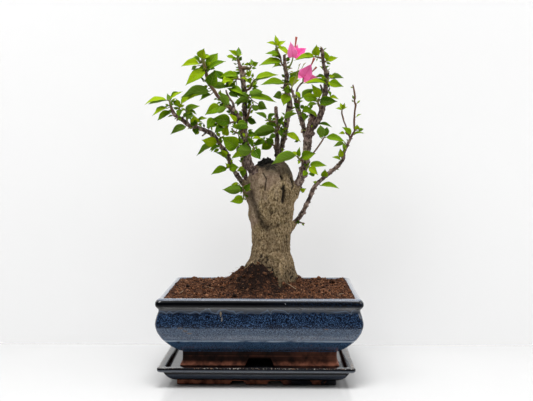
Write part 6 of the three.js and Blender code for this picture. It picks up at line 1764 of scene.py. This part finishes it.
def make_trunk(wood):
    """The old trunk: its core, roots, stubs and collars grown into one, then fissured and marked."""
    raw = Piece()
    raw.add(*trunk_core())
    for path in [*ROOTS, *FINE_ROOTS, *TRUNK_STUBS]:
        raw.add(*limb(smooth_run(stations_of(path), 0.002), 16, lump=0.06, shift=path[0][0]))
    for collar in trunk_collars():
        raw.add(*limb(smooth_run(collar, 0.002), 16))
    made = raw.build("old_trunk", [old_bark(wood)])
    applied(
        made,
        ("REMESH", {"mode": "VOXEL", "voxel_size": TRUNK_VOXEL}),
        ("SMOOTH", {"factor": 0.5, "iterations": 6}),
    )
    mesh = made.data
    points, normals = points_of(mesh), normals_of(mesh)
    places = seen_at(points)
    facing = normals[:, 1] < -0.05
    patches = rough(points, 0.013, 2, (1, 1, 1.5), 31)
    smooth = bark_smoothness(places, patches)
    fissures = rough(points, 0.0030, 4, (1, 1, 1.5), 1)
    plates = rough(points, 0.0060, 3, (1, 1, 1.4), 6)
    broad = rough(points, 0.017, 2, (1, 1, 1.6), 4)
    fine = rough(points, 0.0014, 2, (1, 1, 1.6), 9)
    creases = np.clip(-fissures - 0.10, 0, 1)
    rise = (fissures * 0.5 - creases * 1.0 + plates * 0.45) * wood.fissure * (1 - 0.7 * smooth)
    rise += broad * 0.0011 + fine * 0.0003
    marks = np.zeros((len(points), 3))
    # Painted shade: the fissures are darkened, less on the smooth skin.
    marks[:, 0] = np.clip(creases * 1.2, 0, 0.6) * (1 - smooth * 0.8)
    marks[:, 1] = smooth
    # The bark is darkened towards the soil, in patches.
    over_soil = points[:, 2] - soil_height(points[:, 0], points[:, 1])
    marks[:, 0] += np.clip(1.1 - over_soil / 0.023 + patches * 0.8, 0, 1) * 0.46
    # Each mark sinks the bark and paints its darkness: painted shade where it is positive, pale wood
    # where it is negative.
    for stations, reach, depth_mm, darkness in TRUNK_MARKS:
        share = eased(np.clip(1 - near_line(places, stations) / reach, 0, 1)) * facing
        rise -= share * depth_mm * MM
        if darkness < 0:
            marks[:, 0] += share * darkness
        else:
            marks[:, 0] = np.maximum(marks[:, 0], share * darkness + creases * 0.3 * share)
    ragged = rough(points, 0.006, 3, shift=21) * 3.5
    marks[:, 2] = paste_stains(places, ragged) * (normals[:, 1] < 0.35)
    mesh.vertices.foreach_set("co", (points + normals * rise[:, None]).ravel())
    mesh.attributes.new("marks", "FLOAT_VECTOR", "POINT").data.foreach_set("vector", marks.ravel())
    mesh.shade_smooth()
    return settle(made, "trunk")


def make_crust():
    """The lumpy crust of sealing paste on the trunk's cut."""
    centre = sighted(*CRUST_CENTRE)
    outline = [(spread * CRUST_RADIUS_MM * MM, rise * MM) for spread, rise in CRUST_RINGS]
    angles = circle(72)
    rings = []
    for level, (radius, rise) in enumerate(smooth_run(outline, 0.0008)):
        lump = 1 + 0.09 * np.sin(3 * angles + level * 0.4) + 0.06 * np.cos(5 * angles - level * 0.3)
        height = rise + 0.0008 * np.sin(4 * angles + level * 0.5)
        rings.append(centre + oval(0, 0, height, radius * lump, radius * lump, angles))
    points, faces = closed_loft(rings)
    outward = points - centre
    outward /= np.linalg.norm(outward, axis=1, keepdims=True)
    lumps = np.abs(rough(points, 0.0050, 3, shift=2)) * 0.0040 + rough(points, 0.0016, 2) * 0.0007
    crust = Piece()
    crust.add(points + outward * (lumps - 0.0014)[:, None], faces)
    return settle(crust.build("paste_crust", [wound_paste()]), "wound_crust")


def nearest_on(path, column, row):
    """The station of a path that lies nearest to a place on the grid."""
    best, best_distance = None, math.inf
    for a, b in zip(np.array(path, float), np.array(path[1:], float)):
        run = b[:2] - a[:2]
        share = np.clip(((column, row) - a[:2]) @ run / max(run @ run, 1e-9), 0, 1)
        station = a + (b - a) * share
        distance = math.hypot(station[0] - column, station[1] - row)
        if distance < best_distance:
            best, best_distance = station, distance
    return best


def stem_path(plan):
    """The stations of a shoot's stem, which starts on its branch or on another shoot."""
    host = plan["host"]
    host_path = BRANCHES[host]["path"] if host in BRANCHES else stem_path(SHOOTS[host])
    (column, row, _, radius), *others = plan["stem"]
    start = nearest_on(host_path, column, row)
    first = (start[0], start[1], start[2], radius)
    return [first, *((u, v, start[2] + offset, size) for u, v, offset, size in others)]


def blade_frame(base, tip, width_seen, kind):
    """Length, way across, upper side and width of a blade. One that shows less width than a
    leaf of its length has is rolled about its midrib."""
    run = tip - base
    length = np.linalg.norm(run)
    along = run / length
    seen_across = unit(np.array([-along[2], 0, along[0]]))
    if seen_across[2] < 0:
        seen_across = -seen_across
    toward_eye = unit(np.cross(along, seen_across))
    if toward_eye[1] > 0:
        toward_eye = -toward_eye
    width = max(width_seen * LEAF_SPARE, LEAF_WIDTH_SHARE * length)
    roll = math.acos(min(width_seen * LEAF_SPARE / width, 1))
    lean = -math.cos(roll) if kind == "b" else math.cos(roll)
    upper = unit(toward_eye * lean + seen_across * math.sin(roll))
    return length, unit(np.cross(upper, along)), upper, width


def add_blade(piece, base, tip, width_seen, kind, look, chance, finishes=LEAF, ruffle=0.0):
    """A thin closed blade, folded along its midrib, arched and a little wavy. A ruffled one is
    heart-shaped, as a bract is."""
    length, across, upper, width = blade_frame(base, tip, width_seen, kind)
    steps, cells = (16, 12) if length > 0.012 else (11, 8)
    t = np.linspace(-1, 1, cells + 1)
    fold = look.fold * chance.uniform(0.6, 1.5)
    arch = look.arch * chance.uniform(0.5, 1.4)
    curl = chance.uniform(-0.02, 0.09)
    phase = chance.uniform(0, 6.28, 2)
    wave = chance.uniform(0.03, 0.08) + ruffle
    skew = chance.uniform(-0.05, 0.05)
    tint = np.clip(TINTS[kind] + chance.uniform(-0.16, 0.16), 0, 1)
    rings = []
    marks = []
    for s in np.linspace(0, 1, steps + 1) ** 0.9:
        if ruffle:
            spread = math.sin(math.pi * s**0.55) ** (0.6 + 0.5 * s)
        else:
            spread = math.sin(math.pi * s**0.72) ** (0.78 + 0.42 * s)
        half = max(spread * width / 2, 0.0003)
        bow = (arch * 4 * s * (1 - s) - curl * s**3 * (1 - s) * 4) * length
        centre = base + (tip - base) * s + upper * bow + across * skew * length * 4 * s * (1 - s) * 0.5
        bend = fold * half * np.abs(t) ** 1.3
        sway = wave * half * t * t * np.sin(2 * math.pi * (2.2 * s) + phase[0] + (t > 0) * phase[1])
        rib = 0.03 * half * np.exp(-((t / 0.08) ** 2))
        lift = bend + sway - rib
        thick = look.thickness * (0.5 + 0.5 * min(spread * 1.5, 1))
        thick = thick * np.sqrt(np.clip(1.02 - t * t, 0, 1))
        flat = centre + np.outer(t * half, across)
        top = flat + np.outer(lift + thick / 2, upper)
        under = flat + np.outer(lift - thick / 2, upper)
        rings.append(np.vstack([top, under[-2:0:-1]]))
        ring_t = np.concatenate([t, t[-2:0:-1]])
        marks.append(np.stack([ring_t, np.full(len(ring_t), s), np.full(len(ring_t), tint)], axis=1))
    points, faces = closed_loft(rings)
    marks = np.vstack([*marks, marks[0].mean(0), marks[-1].mean(0)])
    sides = len(rings[0])
    count = steps * sides
    top_faces = [face for i, face in enumerate(faces) if i < count and i % sides < cells]
    other_faces = [face for i, face in enumerate(faces) if i >= count or i % sides >= cells]
    sided = [finishes[0]] * len(top_faces) + [finishes[1]] * len(other_faces)
    piece.add(points, top_faces + other_faces, sided, marks)


def add_stem(piece, rows, sides, finish, low, high, age=0.0, lump=0.0, shift=0.0):
    """A limb whose marks carry a share that runs from low to high along it, and its age."""
    points, faces = limb(rows, sides, lump=lump, shift=shift)
    share = np.append(np.repeat(np.linspace(low, high, len(rows) + 1), sides), (low, high))
    marks = np.stack([share, np.full(len(share), age), np.zeros(len(share))], axis=1)
    piece.add(points, faces, finish, marks)


def add_leaves(piece, path, leaves, look, seed, finishes=LEAF, stalk=STEM, ruffle=0.0):
    """Leaves on a path: each has a stalk from the stem to its base, and a blade."""
    chance = np.random.default_rng(seed)
    for base_column, base_row, tip_column, tip_row, width, reach, kind in leaves:
        root_column, root_row, depth = nearest_on(path, base_column, base_row)[:3]
        base = sighted(base_column, base_row, depth + 0.15 * reach)
        root = sighted(root_column, root_row, depth)
        tip = sighted(tip_column, tip_row, depth + reach)
        size = width * grid_size(depth)
        add_blade(piece, base, tip, size, kind, look, chance, finishes, ruffle)
        run = np.linalg.norm(base - root)
        if run < SHORTEST_STALK:
            continue
        length = np.linalg.norm(tip - base)
        thin = 0.00042 + 0.00018 * min(length / 0.03, 1)
        heading = unit(tip - base)
        bend = (root + base) / 2 + (0, 0, -0.06 * run) - heading * run * 0.05
        end = base + heading * min(length * 0.12, 0.002)
        rows = [(*root, thin * 1.35), (*bend, thin), (*base, thin), (*end, thin * 0.7)]
        add_stem(piece, smooth_run(rows, 0.0012), 6, stalk, 0.35, 1)


def add_small_leaves(piece, rows, look, chance, count, low, size):
    """Young leaves at the knots of the wood and in a tuft at its end."""
    for index in range(count):
        share = 1 - (1 - low) * (index / max(count, 1)) ** 1.2
        at = min(int(share * (len(rows) - 1)), len(rows) - 2)
        point, along = rows[at, :3], unit(rows[at + 1, :3] - rows[at, :3])
        out = chance.normal(size=3)
        out = unit(out - (out @ along) * along)
        heading = unit(out + along * chance.uniform(0.1, 0.9) + (0, 0, chance.uniform(-0.1, 0.4)))
        length = size * chance.uniform(0.55, 1.25) * (0.65 + 0.5 * (1 - share))
        base = point + heading * (rows[at, 3] + length * 0.22)
        tip = base + heading * length + (0, 0, chance.uniform(-0.2, 0.1) * length)
        kind = chance.choice(["y", "g", "g", "y", "b", "d"])
        width = length * chance.uniform(0.3, 0.58)
        add_blade(piece, base, tip, width, kind, look, chance)
        root = point + heading * rows[at, 3] * 0.4
        thin = SMALL_STALK_RADIUS
        stalk = [(*root, thin * 1.3), (*base, thin), (*(base + (tip - base) * 0.1), thin * 0.7)]
        piece.add(*limb(smooth_run(stalk, 0.0012), 5), STEM, (0.85, 0, 0))


def run_along(rows):
    """How far each row lies along its path."""
    return np.append(0, np.cumsum(np.linalg.norm(np.diff(rows[:, :3], axis=0), axis=1)))


def wood_rows(path, spacing, knots, chance, bury=0.0):
    """Rows of a branch with swollen knots, its start carried on into what it grows from."""
    stations = stations_of(path)
    if bury:
        start = drawn_back(stations, bury)
        start[3] *= 1.25
        stations[0, 3] *= 1.08
        stations = np.vstack([start, stations])
    rows = smooth_run(stations, spacing)
    steps = run_along(rows)
    place = chance.uniform(0.004, 0.010)
    while place < steps[-1]:
        swell = knots * chance.uniform(0.4, 1.2)
        rows[:, 3] *= 1 + swell * np.exp(-(((steps - place) / KNOT_REACH) ** 2))
        place += chance.uniform(0.006, 0.013)
    return rows


def add_knobs(piece, rows, chance, spacing, low):
    """Little stubs and leaf scars that stand off the wood."""
    steps = run_along(rows)
    place = low * steps[-1] + chance.uniform(0, spacing)
    while place < steps[-1] * 0.98:
        at = min(int(np.searchsorted(steps, place)), len(rows) - 2)
        point, radius = rows[at, :3], rows[at, 3]
        along = unit(rows[at + 1, :3] - rows[at, :3])
        out = chance.normal(size=3)
        out = unit(unit(out - (out @ along) * along) + along * chance.uniform(0.1, 0.8))
        size = radius * chance.uniform(0.30, 0.50) + 0.0003
        end = radius * 1.1 + chance.uniform(0.0, 0.0008)
        stub = [(*(point + out * radius * 0.3), size * 1.5),
                (*(point + out * radius * 0.95), size * 1.2), (*(point + out * end), size * 0.9)]
        body = limb(smooth_run(stub, 0.0006), 8, lump=0.12, shift=place * 1000)
        piece.add(*body, BARK, (0.4, 0.5, 0))
        place += spacing * chance.uniform(0.5, 1.5)


def make_branch(name, plan, finishes, look, seed):
    """A branch with its knots, stubs, spurs and leaves."""
    chance = np.random.default_rng(seed)
    made = Piece()
    path = plan["path"]
    rows = wood_rows(path, 0.0009, 0.13, chance, 0.006)
    add_stem(made, rows, 22, BARK, 0, 1, 0.6, 0.20, seed)
    add_knobs(made, rows, chance, 0.0050, 0.12)
    for index, spur in enumerate(plan["spurs"]):
        rows = wood_rows(spur, 0.0009, 0.12, chance, 0.001)
        add_stem(made, rows, 12, BARK, 0, 1, 0.4, 0.1, seed + index)
    add_leaves(made, path, plan["leaves"], look, seed)
    add_leaves(made, path, DRY_SCALES.get(name, []), look, seed, (SCALE, SCALE), SCALE)
    rows = smooth_run(stations_of(path), 0.002)
    low, count, size = SMALL_LEAVES.get(name, (0, 0, 0))
    add_small_leaves(made, rows, look, chance, count, low, size)
    return settle(made.build(f"wood_{name}", finishes), name)


def rear_leaves(leaves):
    """Leaves for the back of a shoot: each stands behind one of its larger front leaves, a little
    smaller, and faces away."""
    rear = []
    for column, row, tip_column, tip_row, width, reach, _ in leaves:
        across, down = tip_column - column, tip_row - row
        if math.hypot(across, down) > SHORTEST_WITH_REAR:
            tip = column + across * REAR_LENGTH, row + down * REAR_LENGTH
            rear.append((column, row, *tip, width * REAR_WIDTH, 5 + abs(reach) * 1.1, "b"))
    return rear


def make_shoot(name, plan, finishes, look, seed):
    """A leafy shoot, or a bare twig, which stays redder and has no small leaves."""
    chance = np.random.default_rng(seed)
    made = Piece()
    path = stem_path(plan)
    rows = wood_rows(path, 0.001, 0.14, chance)
    leafy = name.startswith("shoot")
    add_stem(made, rows, 10, STEM, 0, 0.75 if leafy else 0.25, lump=0.06, shift=seed)
    add_leaves(made, path[1:], plan["leaves"], look, seed)
    add_leaves(made, path[1:], rear_leaves(plan["leaves"]), look, seed + 500)
    if leafy:
        length = np.linalg.norm(rows[-1, :3] - rows[0, :3])
        on_the_left = rows[0, 0] < 0.002
        size = 0.0082 if on_the_left else 0.0062
        add_small_leaves(made, rows, look, chance, 4 + int(length / 0.006), 0.3, size)
    return settle(made.build(f"leafy_{name}", finishes), name)


def add_tube(piece, stations, chance):
    """A slender flower tube, narrow at the waist, with five short lobes at its mouth."""
    rows = smooth_run(stations_of(stations), 0.0009)
    share = np.linspace(0, 1, len(rows))
    rows[:, 3] *= 1 - 0.18 * np.sin(share * math.pi) + 0.1 * (share > 0.9)
    piece.add(*limb(rows, 10), TUBE, (chance.uniform(0.2, 0.9), 0, 0))
    tip, before = rows[-1, :3], rows[-2, :3]
    heading = unit(tip - before)
    side = unit(np.cross(heading, (0.2, 1, 0.1)))
    other = np.cross(heading, side)
    size = rows[-1, 3]
    for angle in circle(5):
        out = side * math.cos(angle) + other * math.sin(angle)
        lobe = [(*(tip + out * size * 0.4), size * 0.5),
                (*(tip + out * size * 0.9 + heading * size * 0.7), size * 0.3)]
        piece.add(*limb(lobe, 6), TUBE, (0.1, 0, 0))


def make_flower(name, plan, finishes, look, seed):
    """A flower: its stalk, its ruffled bracts and its tubes."""
    chance = np.random.default_rng(seed)
    made = Piece()
    stalk = plan["stalk"]
    add_stem(made, smooth_run(stations_of(stalk), 0.001), 10, STEM, 0.6, 1.0)
    add_leaves(made, stalk, plan["bracts"], look, seed, (BRACT, BRACT), ruffle=BRACT_RUFFLE)
    for tube in plan["tubes"]:
        add_tube(made, tube, chance)
    return settle(made.build(f"papery_{name}", finishes), name)


# ------------------------------------------------------------------------------------- stage
def plane(name, corners, material):
    """A flat stage object."""
    mesh = bpy.data.meshes.new(name)
    mesh.from_pydata(corners, [], [(0, 1, 2, 3)])
    mesh.materials.append(material)
    made = bpy.data.objects.new(name, mesh)
    bpy.context.scene.collection.objects.link(made)
    return made


def soft_light(name, place, aim, size, power):
    """A round, white area light that points at a place."""
    light = bpy.data.lights.new(name, "AREA")
    light.shape = "DISK"
    light.size = size
    light.energy = power
    made = bpy.data.objects.new(name, light)
    made.location = place
    made.rotation_euler = (Vector(aim) - Vector(place)).to_track_quat("-Z", "Y").to_euler()
    bpy.context.scene.collection.objects.link(made)
    return made


def make_world(studio):
    """Soft surroundings: bright overhead, dim ahead of the pot, pale where seen directly."""
    g = Graph("soft_room", "worlds")
    bpy.context.scene.world = g.owner
    _, y, z = g.parts(g.node("ShaderNodeTexCoord", output="Generated"))
    overhead = z.rise(0.3, 0.85)
    behind = y.rise(-0.1, 0.5)
    room = overhead * studio.overhead + behind * studio.behind + studio.front
    lit = g.node("ShaderNodeBackground", None, {"Color": (1, 1, 1, 1), "Strength": room})
    seen = g.node("ShaderNodeBackground", None, {"Color": (*studio.wall_colour, 1), "Strength": 1.0})
    path = g.node("ShaderNodeLightPath", output="Is Camera Ray")
    both = g.node("ShaderNodeMixShader", None, {0: path, 1: lit, 2: seen})
    g.node("ShaderNodeOutputWorld", None, {"Surface": both})


def one_sided(name, colour, glow):
    """Wall paper that glows softly and is painted fainter towards the floor, see-through from the back,
    so that the bonsai shows from there too.
    """
    g = Graph(name)
    height = g.parts(g.place())[2]
    # Painted fall-off of light: the wall's glow is painted fainter towards the floor.
    painted_falloff = g.mix(height.rise(-0.05, 0.30), faded(colour, 0.91), colour)
    sockets = {"Base Color": paper(g, colour, 0.985), "Roughness": 0.9, "Emission Color": painted_falloff}
    paint = g.node("ShaderNodeBsdfPrincipled", None, {**sockets, "Emission Strength": glow})
    clear = g.node("ShaderNodeBsdfTransparent")
    back = g.node("ShaderNodeNewGeometry", output="Backfacing")
    both = g.node("ShaderNodeMixShader", None, {0: back, 1: paint, 2: clear})
    g.node("ShaderNodeOutputMaterial", None, {"Surface": both})
    return g.owner


def make_camera(scene):
    """The camera looks along the sighting grid, which fills its width."""
    camera = bpy.data.cameras.new("camera")
    camera.sensor_width = SENSOR_WIDTH_MM
    camera.lens = GRID_REACH * SENSOR_WIDTH_MM / GRID_WIDTH
    camera.clip_start = 0.01
    holder = bpy.data.objects.new("camera", camera)
    holder.location = EYE
    holder.rotation_euler = (math.pi / 2 - EYE_PITCH, 0, EYE_YAW)
    scene.collection.objects.link(holder)
    scene.camera = holder


def make_stage(studio):
    """The camera, the paper floor and wall, the lights and the surroundings."""
    scene = bpy.context.scene
    make_camera(scene)
    left, right = -STAGE_HALF, STAGE_HALF
    floor = plane(
        "floor",
        [(left, FLOOR_START, 0), (right, FLOOR_START, 0), (right, FLOOR_END, 0), (left, FLOOR_END, 0)],
        studio_white("floor_paper", studio.floor_colour, 0.12),
    )
    wall = plane(
        "wall",
        [(left, WALL_Y, 0), (right, WALL_Y, 0), (right, WALL_Y, WALL_TOP), (left, WALL_Y, WALL_TOP)],
        one_sided("wall_paper", studio.wall_colour, studio.glow),
    )
    wall.visible_shadow = False
    soft_light("key_light", (-0.8, -0.75, 1.35), (0, 0, 0.2), 0.9, studio.key)
    soft_light("top_light", (0.25, -0.25, 1.7), (0, 0.05, 0.2), 1.2, studio.top)
    soft_light("fill_light", (1.3, -0.5, 0.9), (0.1, 0.1, 0.2), 0.9, studio.fill)
    wash = soft_light("floor_wash", (0, -0.62, 1.6), (0, -0.2, 0), 0.7, studio.wash)
    washed = bpy.data.collections.new("washed")
    washed.objects.link(floor)
    wash.light_linking.receiver_collection = washed
    make_world(studio)
    scene.view_settings.view_transform = "Standard"
    scene.view_settings.look = "None"


# ---------------------------------------------------------------------------------- settings
def colour_setting(name, description, default):
    return FloatVectorProperty(
        name=name, description=description, default=default, min=0, max=1, subtype="COLOR", size=3
    )


def power_setting(name, description, default):
    return FloatProperty(
        name=name, description=description, default=default, min=0, unit="POWER"
    )


def glow_setting(name, description, default):
    return FloatProperty(
        name=name, description=description, default=default, min=0, max=4, subtype="FACTOR"
    )


class BonsaiWareSettings(bpy.types.PropertyGroup):
    wobble: FloatProperty(
        name="Wobble", description="How far the pressed walls stray from straight",
        default=0.0005, min=0, max=0.002, unit="LENGTH",
    )
    glaze: colour_setting("Rim glaze", "Near-black glaze of the rim", (0.0020, 0.0023, 0.0035))
    speck: colour_setting("Specks", "Blue specks on the shoulder", (0.070, 0.145, 0.295))
    clay: colour_setting("Clay", "Unglazed clay of the feet", (0.44, 0.158, 0.092))


class BonsaiSoilSettings(bpy.types.PropertyGroup):
    crumbs: IntProperty(
        name="Crumbs", description="How many loose crumbs", default=2700, min=0, subtype="UNSIGNED"
    )
    fibres: IntProperty(
        name="Fibres", description="How many coir hairs", default=600, min=0, subtype="UNSIGNED"
    )
    dark: colour_setting("Dark crumbs", "Colour in the hollows", (0.032, 0.0112, 0.0052))
    light: colour_setting("Light crumbs", "Colour on the crumbs", (0.172, 0.064, 0.026))


class BonsaiWoodSettings(bpy.types.PropertyGroup):
    fissure: FloatProperty(
        name="Fissures", description="How deep the old bark is fissured",
        default=0.0011, min=0, max=0.003, unit="LENGTH",
    )
    bark: colour_setting("Bark", "Plates of the old bark", (0.30, 0.212, 0.107))
    bark_dark: colour_setting("Bark hollows", "Fissures of the old bark", (0.100, 0.067, 0.034))
    bark_light: colour_setting("Bark ridges", "Worn ridges of the old bark", (0.52, 0.41, 0.25))
    twig: colour_setting("Branches", "Bark of the branches", (0.23, 0.160, 0.130))
    twig_dark: colour_setting("Branch shade", "Dark of the branches", (0.066, 0.040, 0.033))


class BonsaiLeafSettings(bpy.types.PropertyGroup):
    thickness: FloatProperty(
        name="Thickness", description="Thickness of a leaf blade", default=0.00035, min=0.0001,
        max=0.001, unit="LENGTH",
    )
    fold: FloatProperty(
        name="Fold", description="How far a blade folds up along its midrib", default=0.32, min=0,
        max=1, subtype="FACTOR",
    )
    arch: FloatProperty(
        name="Arch", description="How far a blade arches, as a share of its length", default=0.09,
        min=0, max=0.3, subtype="FACTOR",
    )
    leaf_young: colour_setting("Young leaf", "Upper side of a young leaf", (0.32, 0.46, 0.002))
    leaf: colour_setting("Leaf", "Upper side of a grown leaf", (0.150, 0.282, 0.002))
    # The old leaf colour also paints leaves in shade darker.
    leaf_dark: colour_setting("Old leaf", "Upper side of an old leaf", (0.045, 0.116, 0.002))
    leaf_under: colour_setting("Under side", "Under side of a leaf", (0.17, 0.30, 0.035))
    bract: colour_setting("Bract", "Pink bracts", (1.0, 0.12, 0.42))
    bract_pale: colour_setting("Pale bract", "Faded bracts", (0.97, 0.36, 0.60))


class BonsaiStudioSettings(bpy.types.PropertyGroup):
    floor_colour: colour_setting("Floor", "Paper on the floor", (0.385, 0.385, 0.385))
    wall_colour: colour_setting("Wall", "Paper on the wall", (0.50, 0.50, 0.50))
    glow: glow_setting("Wall glow", "Brightness of the lit wall", 0.985)
    key: power_setting("Key light", "Power of the key light", 13.5)
    top: power_setting("Top light", "Power of the top light", 13)
    fill: power_setting("Fill light", "Power of the right fill", 7)
    wash: power_setting("Floor wash", "Power of the light on the floor only", 38)
    overhead: glow_setting("Overhead", "Brightness overhead", 0.6)
    behind: glow_setting("Behind", "Brightness behind", 0.3)
    front: glow_setting("Front", "Brightness ahead of the pot", 0.02)


# --------------------------------------------------------------------------------- operators
class BONSAI_OT_stage(bpy.types.Operator):
    """Set up the camera, the floor, the wall and the lights"""

    bl_idname = "bonsai.stage"
    bl_label = "Stage"

    def execute(self, context):
        make_stage(context.scene.bonsai_studio)
        return {"FINISHED"}


class BONSAI_OT_tray(bpy.types.Operator):
    """Make the glazed drip tray"""

    bl_idname = "bonsai.tray"
    bl_label = "Drip tray"

    def execute(self, context):
        make_tray(context.scene.bonsai_ware)
        return {"FINISHED"}


class BONSAI_OT_pot(bpy.types.Operator):
    """Make the glazed pot and finish its drain meshes"""

    bl_idname = "bonsai.pot"
    bl_label = "Pot"

    def execute(self, context):
        make_pot(context.scene.bonsai_ware)
        dress_drain_meshes()
        return {"FINISHED"}


class BONSAI_OT_soil(bpy.types.Operator):
    """Fill the pot with crumbly coir soil"""

    bl_idname = "bonsai.soil"
    bl_label = "Soil"

    def execute(self, context):
        make_soil(context.scene.bonsai_soil)
        return {"FINISHED"}


class BONSAI_OT_trunk(bpy.types.Operator):
    """Make the old trunk with its roots and its crust of sealing paste"""

    bl_idname = "bonsai.trunk"
    bl_label = "Trunk"

    def execute(self, context):
        make_trunk(context.scene.bonsai_wood)
        make_crust()
        return {"FINISHED"}


class BONSAI_OT_branches(bpy.types.Operator):
    """Grow the branches"""

    bl_idname = "bonsai.branches"
    bl_label = "Branches"

    def execute(self, context):
        look = context.scene.bonsai_leaf
        finishes = tree_finishes(context.scene)
        for index, (name, plan) in enumerate(BRANCHES.items()):
            make_branch(name, plan, finishes, look, 100 + index)
        return {"FINISHED"}


class BONSAI_OT_shoots(bpy.types.Operator):
    """Grow the leafy shoots and the bare twigs"""

    bl_idname = "bonsai.shoots"
    bl_label = "Shoots"

    def execute(self, context):
        look = context.scene.bonsai_leaf
        finishes = tree_finishes(context.scene)
        for index, (name, plan) in enumerate(SHOOTS.items()):
            make_shoot(name, plan, finishes, look, 200 + index)
        return {"FINISHED"}


class BONSAI_OT_flowers(bpy.types.Operator):
    """Add the two flowers"""

    bl_idname = "bonsai.flowers"
    bl_label = "Flowers"

    def execute(self, context):
        look = context.scene.bonsai_leaf
        finishes = tree_finishes(context.scene)
        for index, (name, plan) in enumerate(FLOWERS.items()):
            make_flower(name, plan, finishes, look, 300 + index)
        return {"FINISHED"}


FINISHES = []


def tree_finishes(scene):
    """The tree's finishes in the order of their numbers, from BARK to SCALE, made once."""
    if not FINISHES:
        look = scene.bonsai_leaf
        FINISHES.extend([
            young_bark(scene.bonsai_wood), leaf_face(look, "leaf_upper", False),
            leaf_face(look, "leaf_under", True), green_stem(), flower_tube(), bract_paper(look),
            dry_scale(),
        ])
    return FINISHES


STEPS = (
    BONSAI_OT_stage, BONSAI_OT_tray, BONSAI_OT_pot, BONSAI_OT_soil, BONSAI_OT_trunk,
    BONSAI_OT_branches, BONSAI_OT_shoots, BONSAI_OT_flowers,
)
GROUPS = {
    "bonsai_ware": BonsaiWareSettings,
    "bonsai_soil": BonsaiSoilSettings,
    "bonsai_wood": BonsaiWoodSettings,
    "bonsai_leaf": BonsaiLeafSettings,
    "bonsai_studio": BonsaiStudioSettings,
}


class BONSAI_PT_panel(bpy.types.Panel):
    """Lists the steps and their settings"""

    bl_idname = "BONSAI_PT_panel"
    bl_label = "Bonsai"
    bl_space_type = "VIEW_3D"
    bl_region_type = "UI"
    bl_category = "Bonsai"

    def draw(self, context):
        for step in STEPS:
            self.layout.operator(step.bl_idname)
        for name, group in GROUPS.items():
            box = self.layout.box()
            box.label(text=name.removeprefix("bonsai_").capitalize())
            for setting in group.__annotations__:
                box.prop(getattr(context.scene, name), setting)


def register():
    for group in (*GROUPS.values(), *STEPS, BONSAI_PT_panel):
        bpy.utils.register_class(group)
    for name, group in GROUPS.items():
        setattr(bpy.types.Scene, name, PointerProperty(type=group))


def unregister():
    for name in GROUPS:
        delattr(bpy.types.Scene, name)
    for group in (BONSAI_PT_panel, *reversed(STEPS), *reversed(GROUPS.values())):
        bpy.utils.unregister_class(group)


def main():
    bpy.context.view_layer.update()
    register()
    for step in STEPS:
        group, name = step.bl_idname.split(".")
        getattr(getattr(bpy.ops, group), name)()


if __name__ == "__main__":
    main()
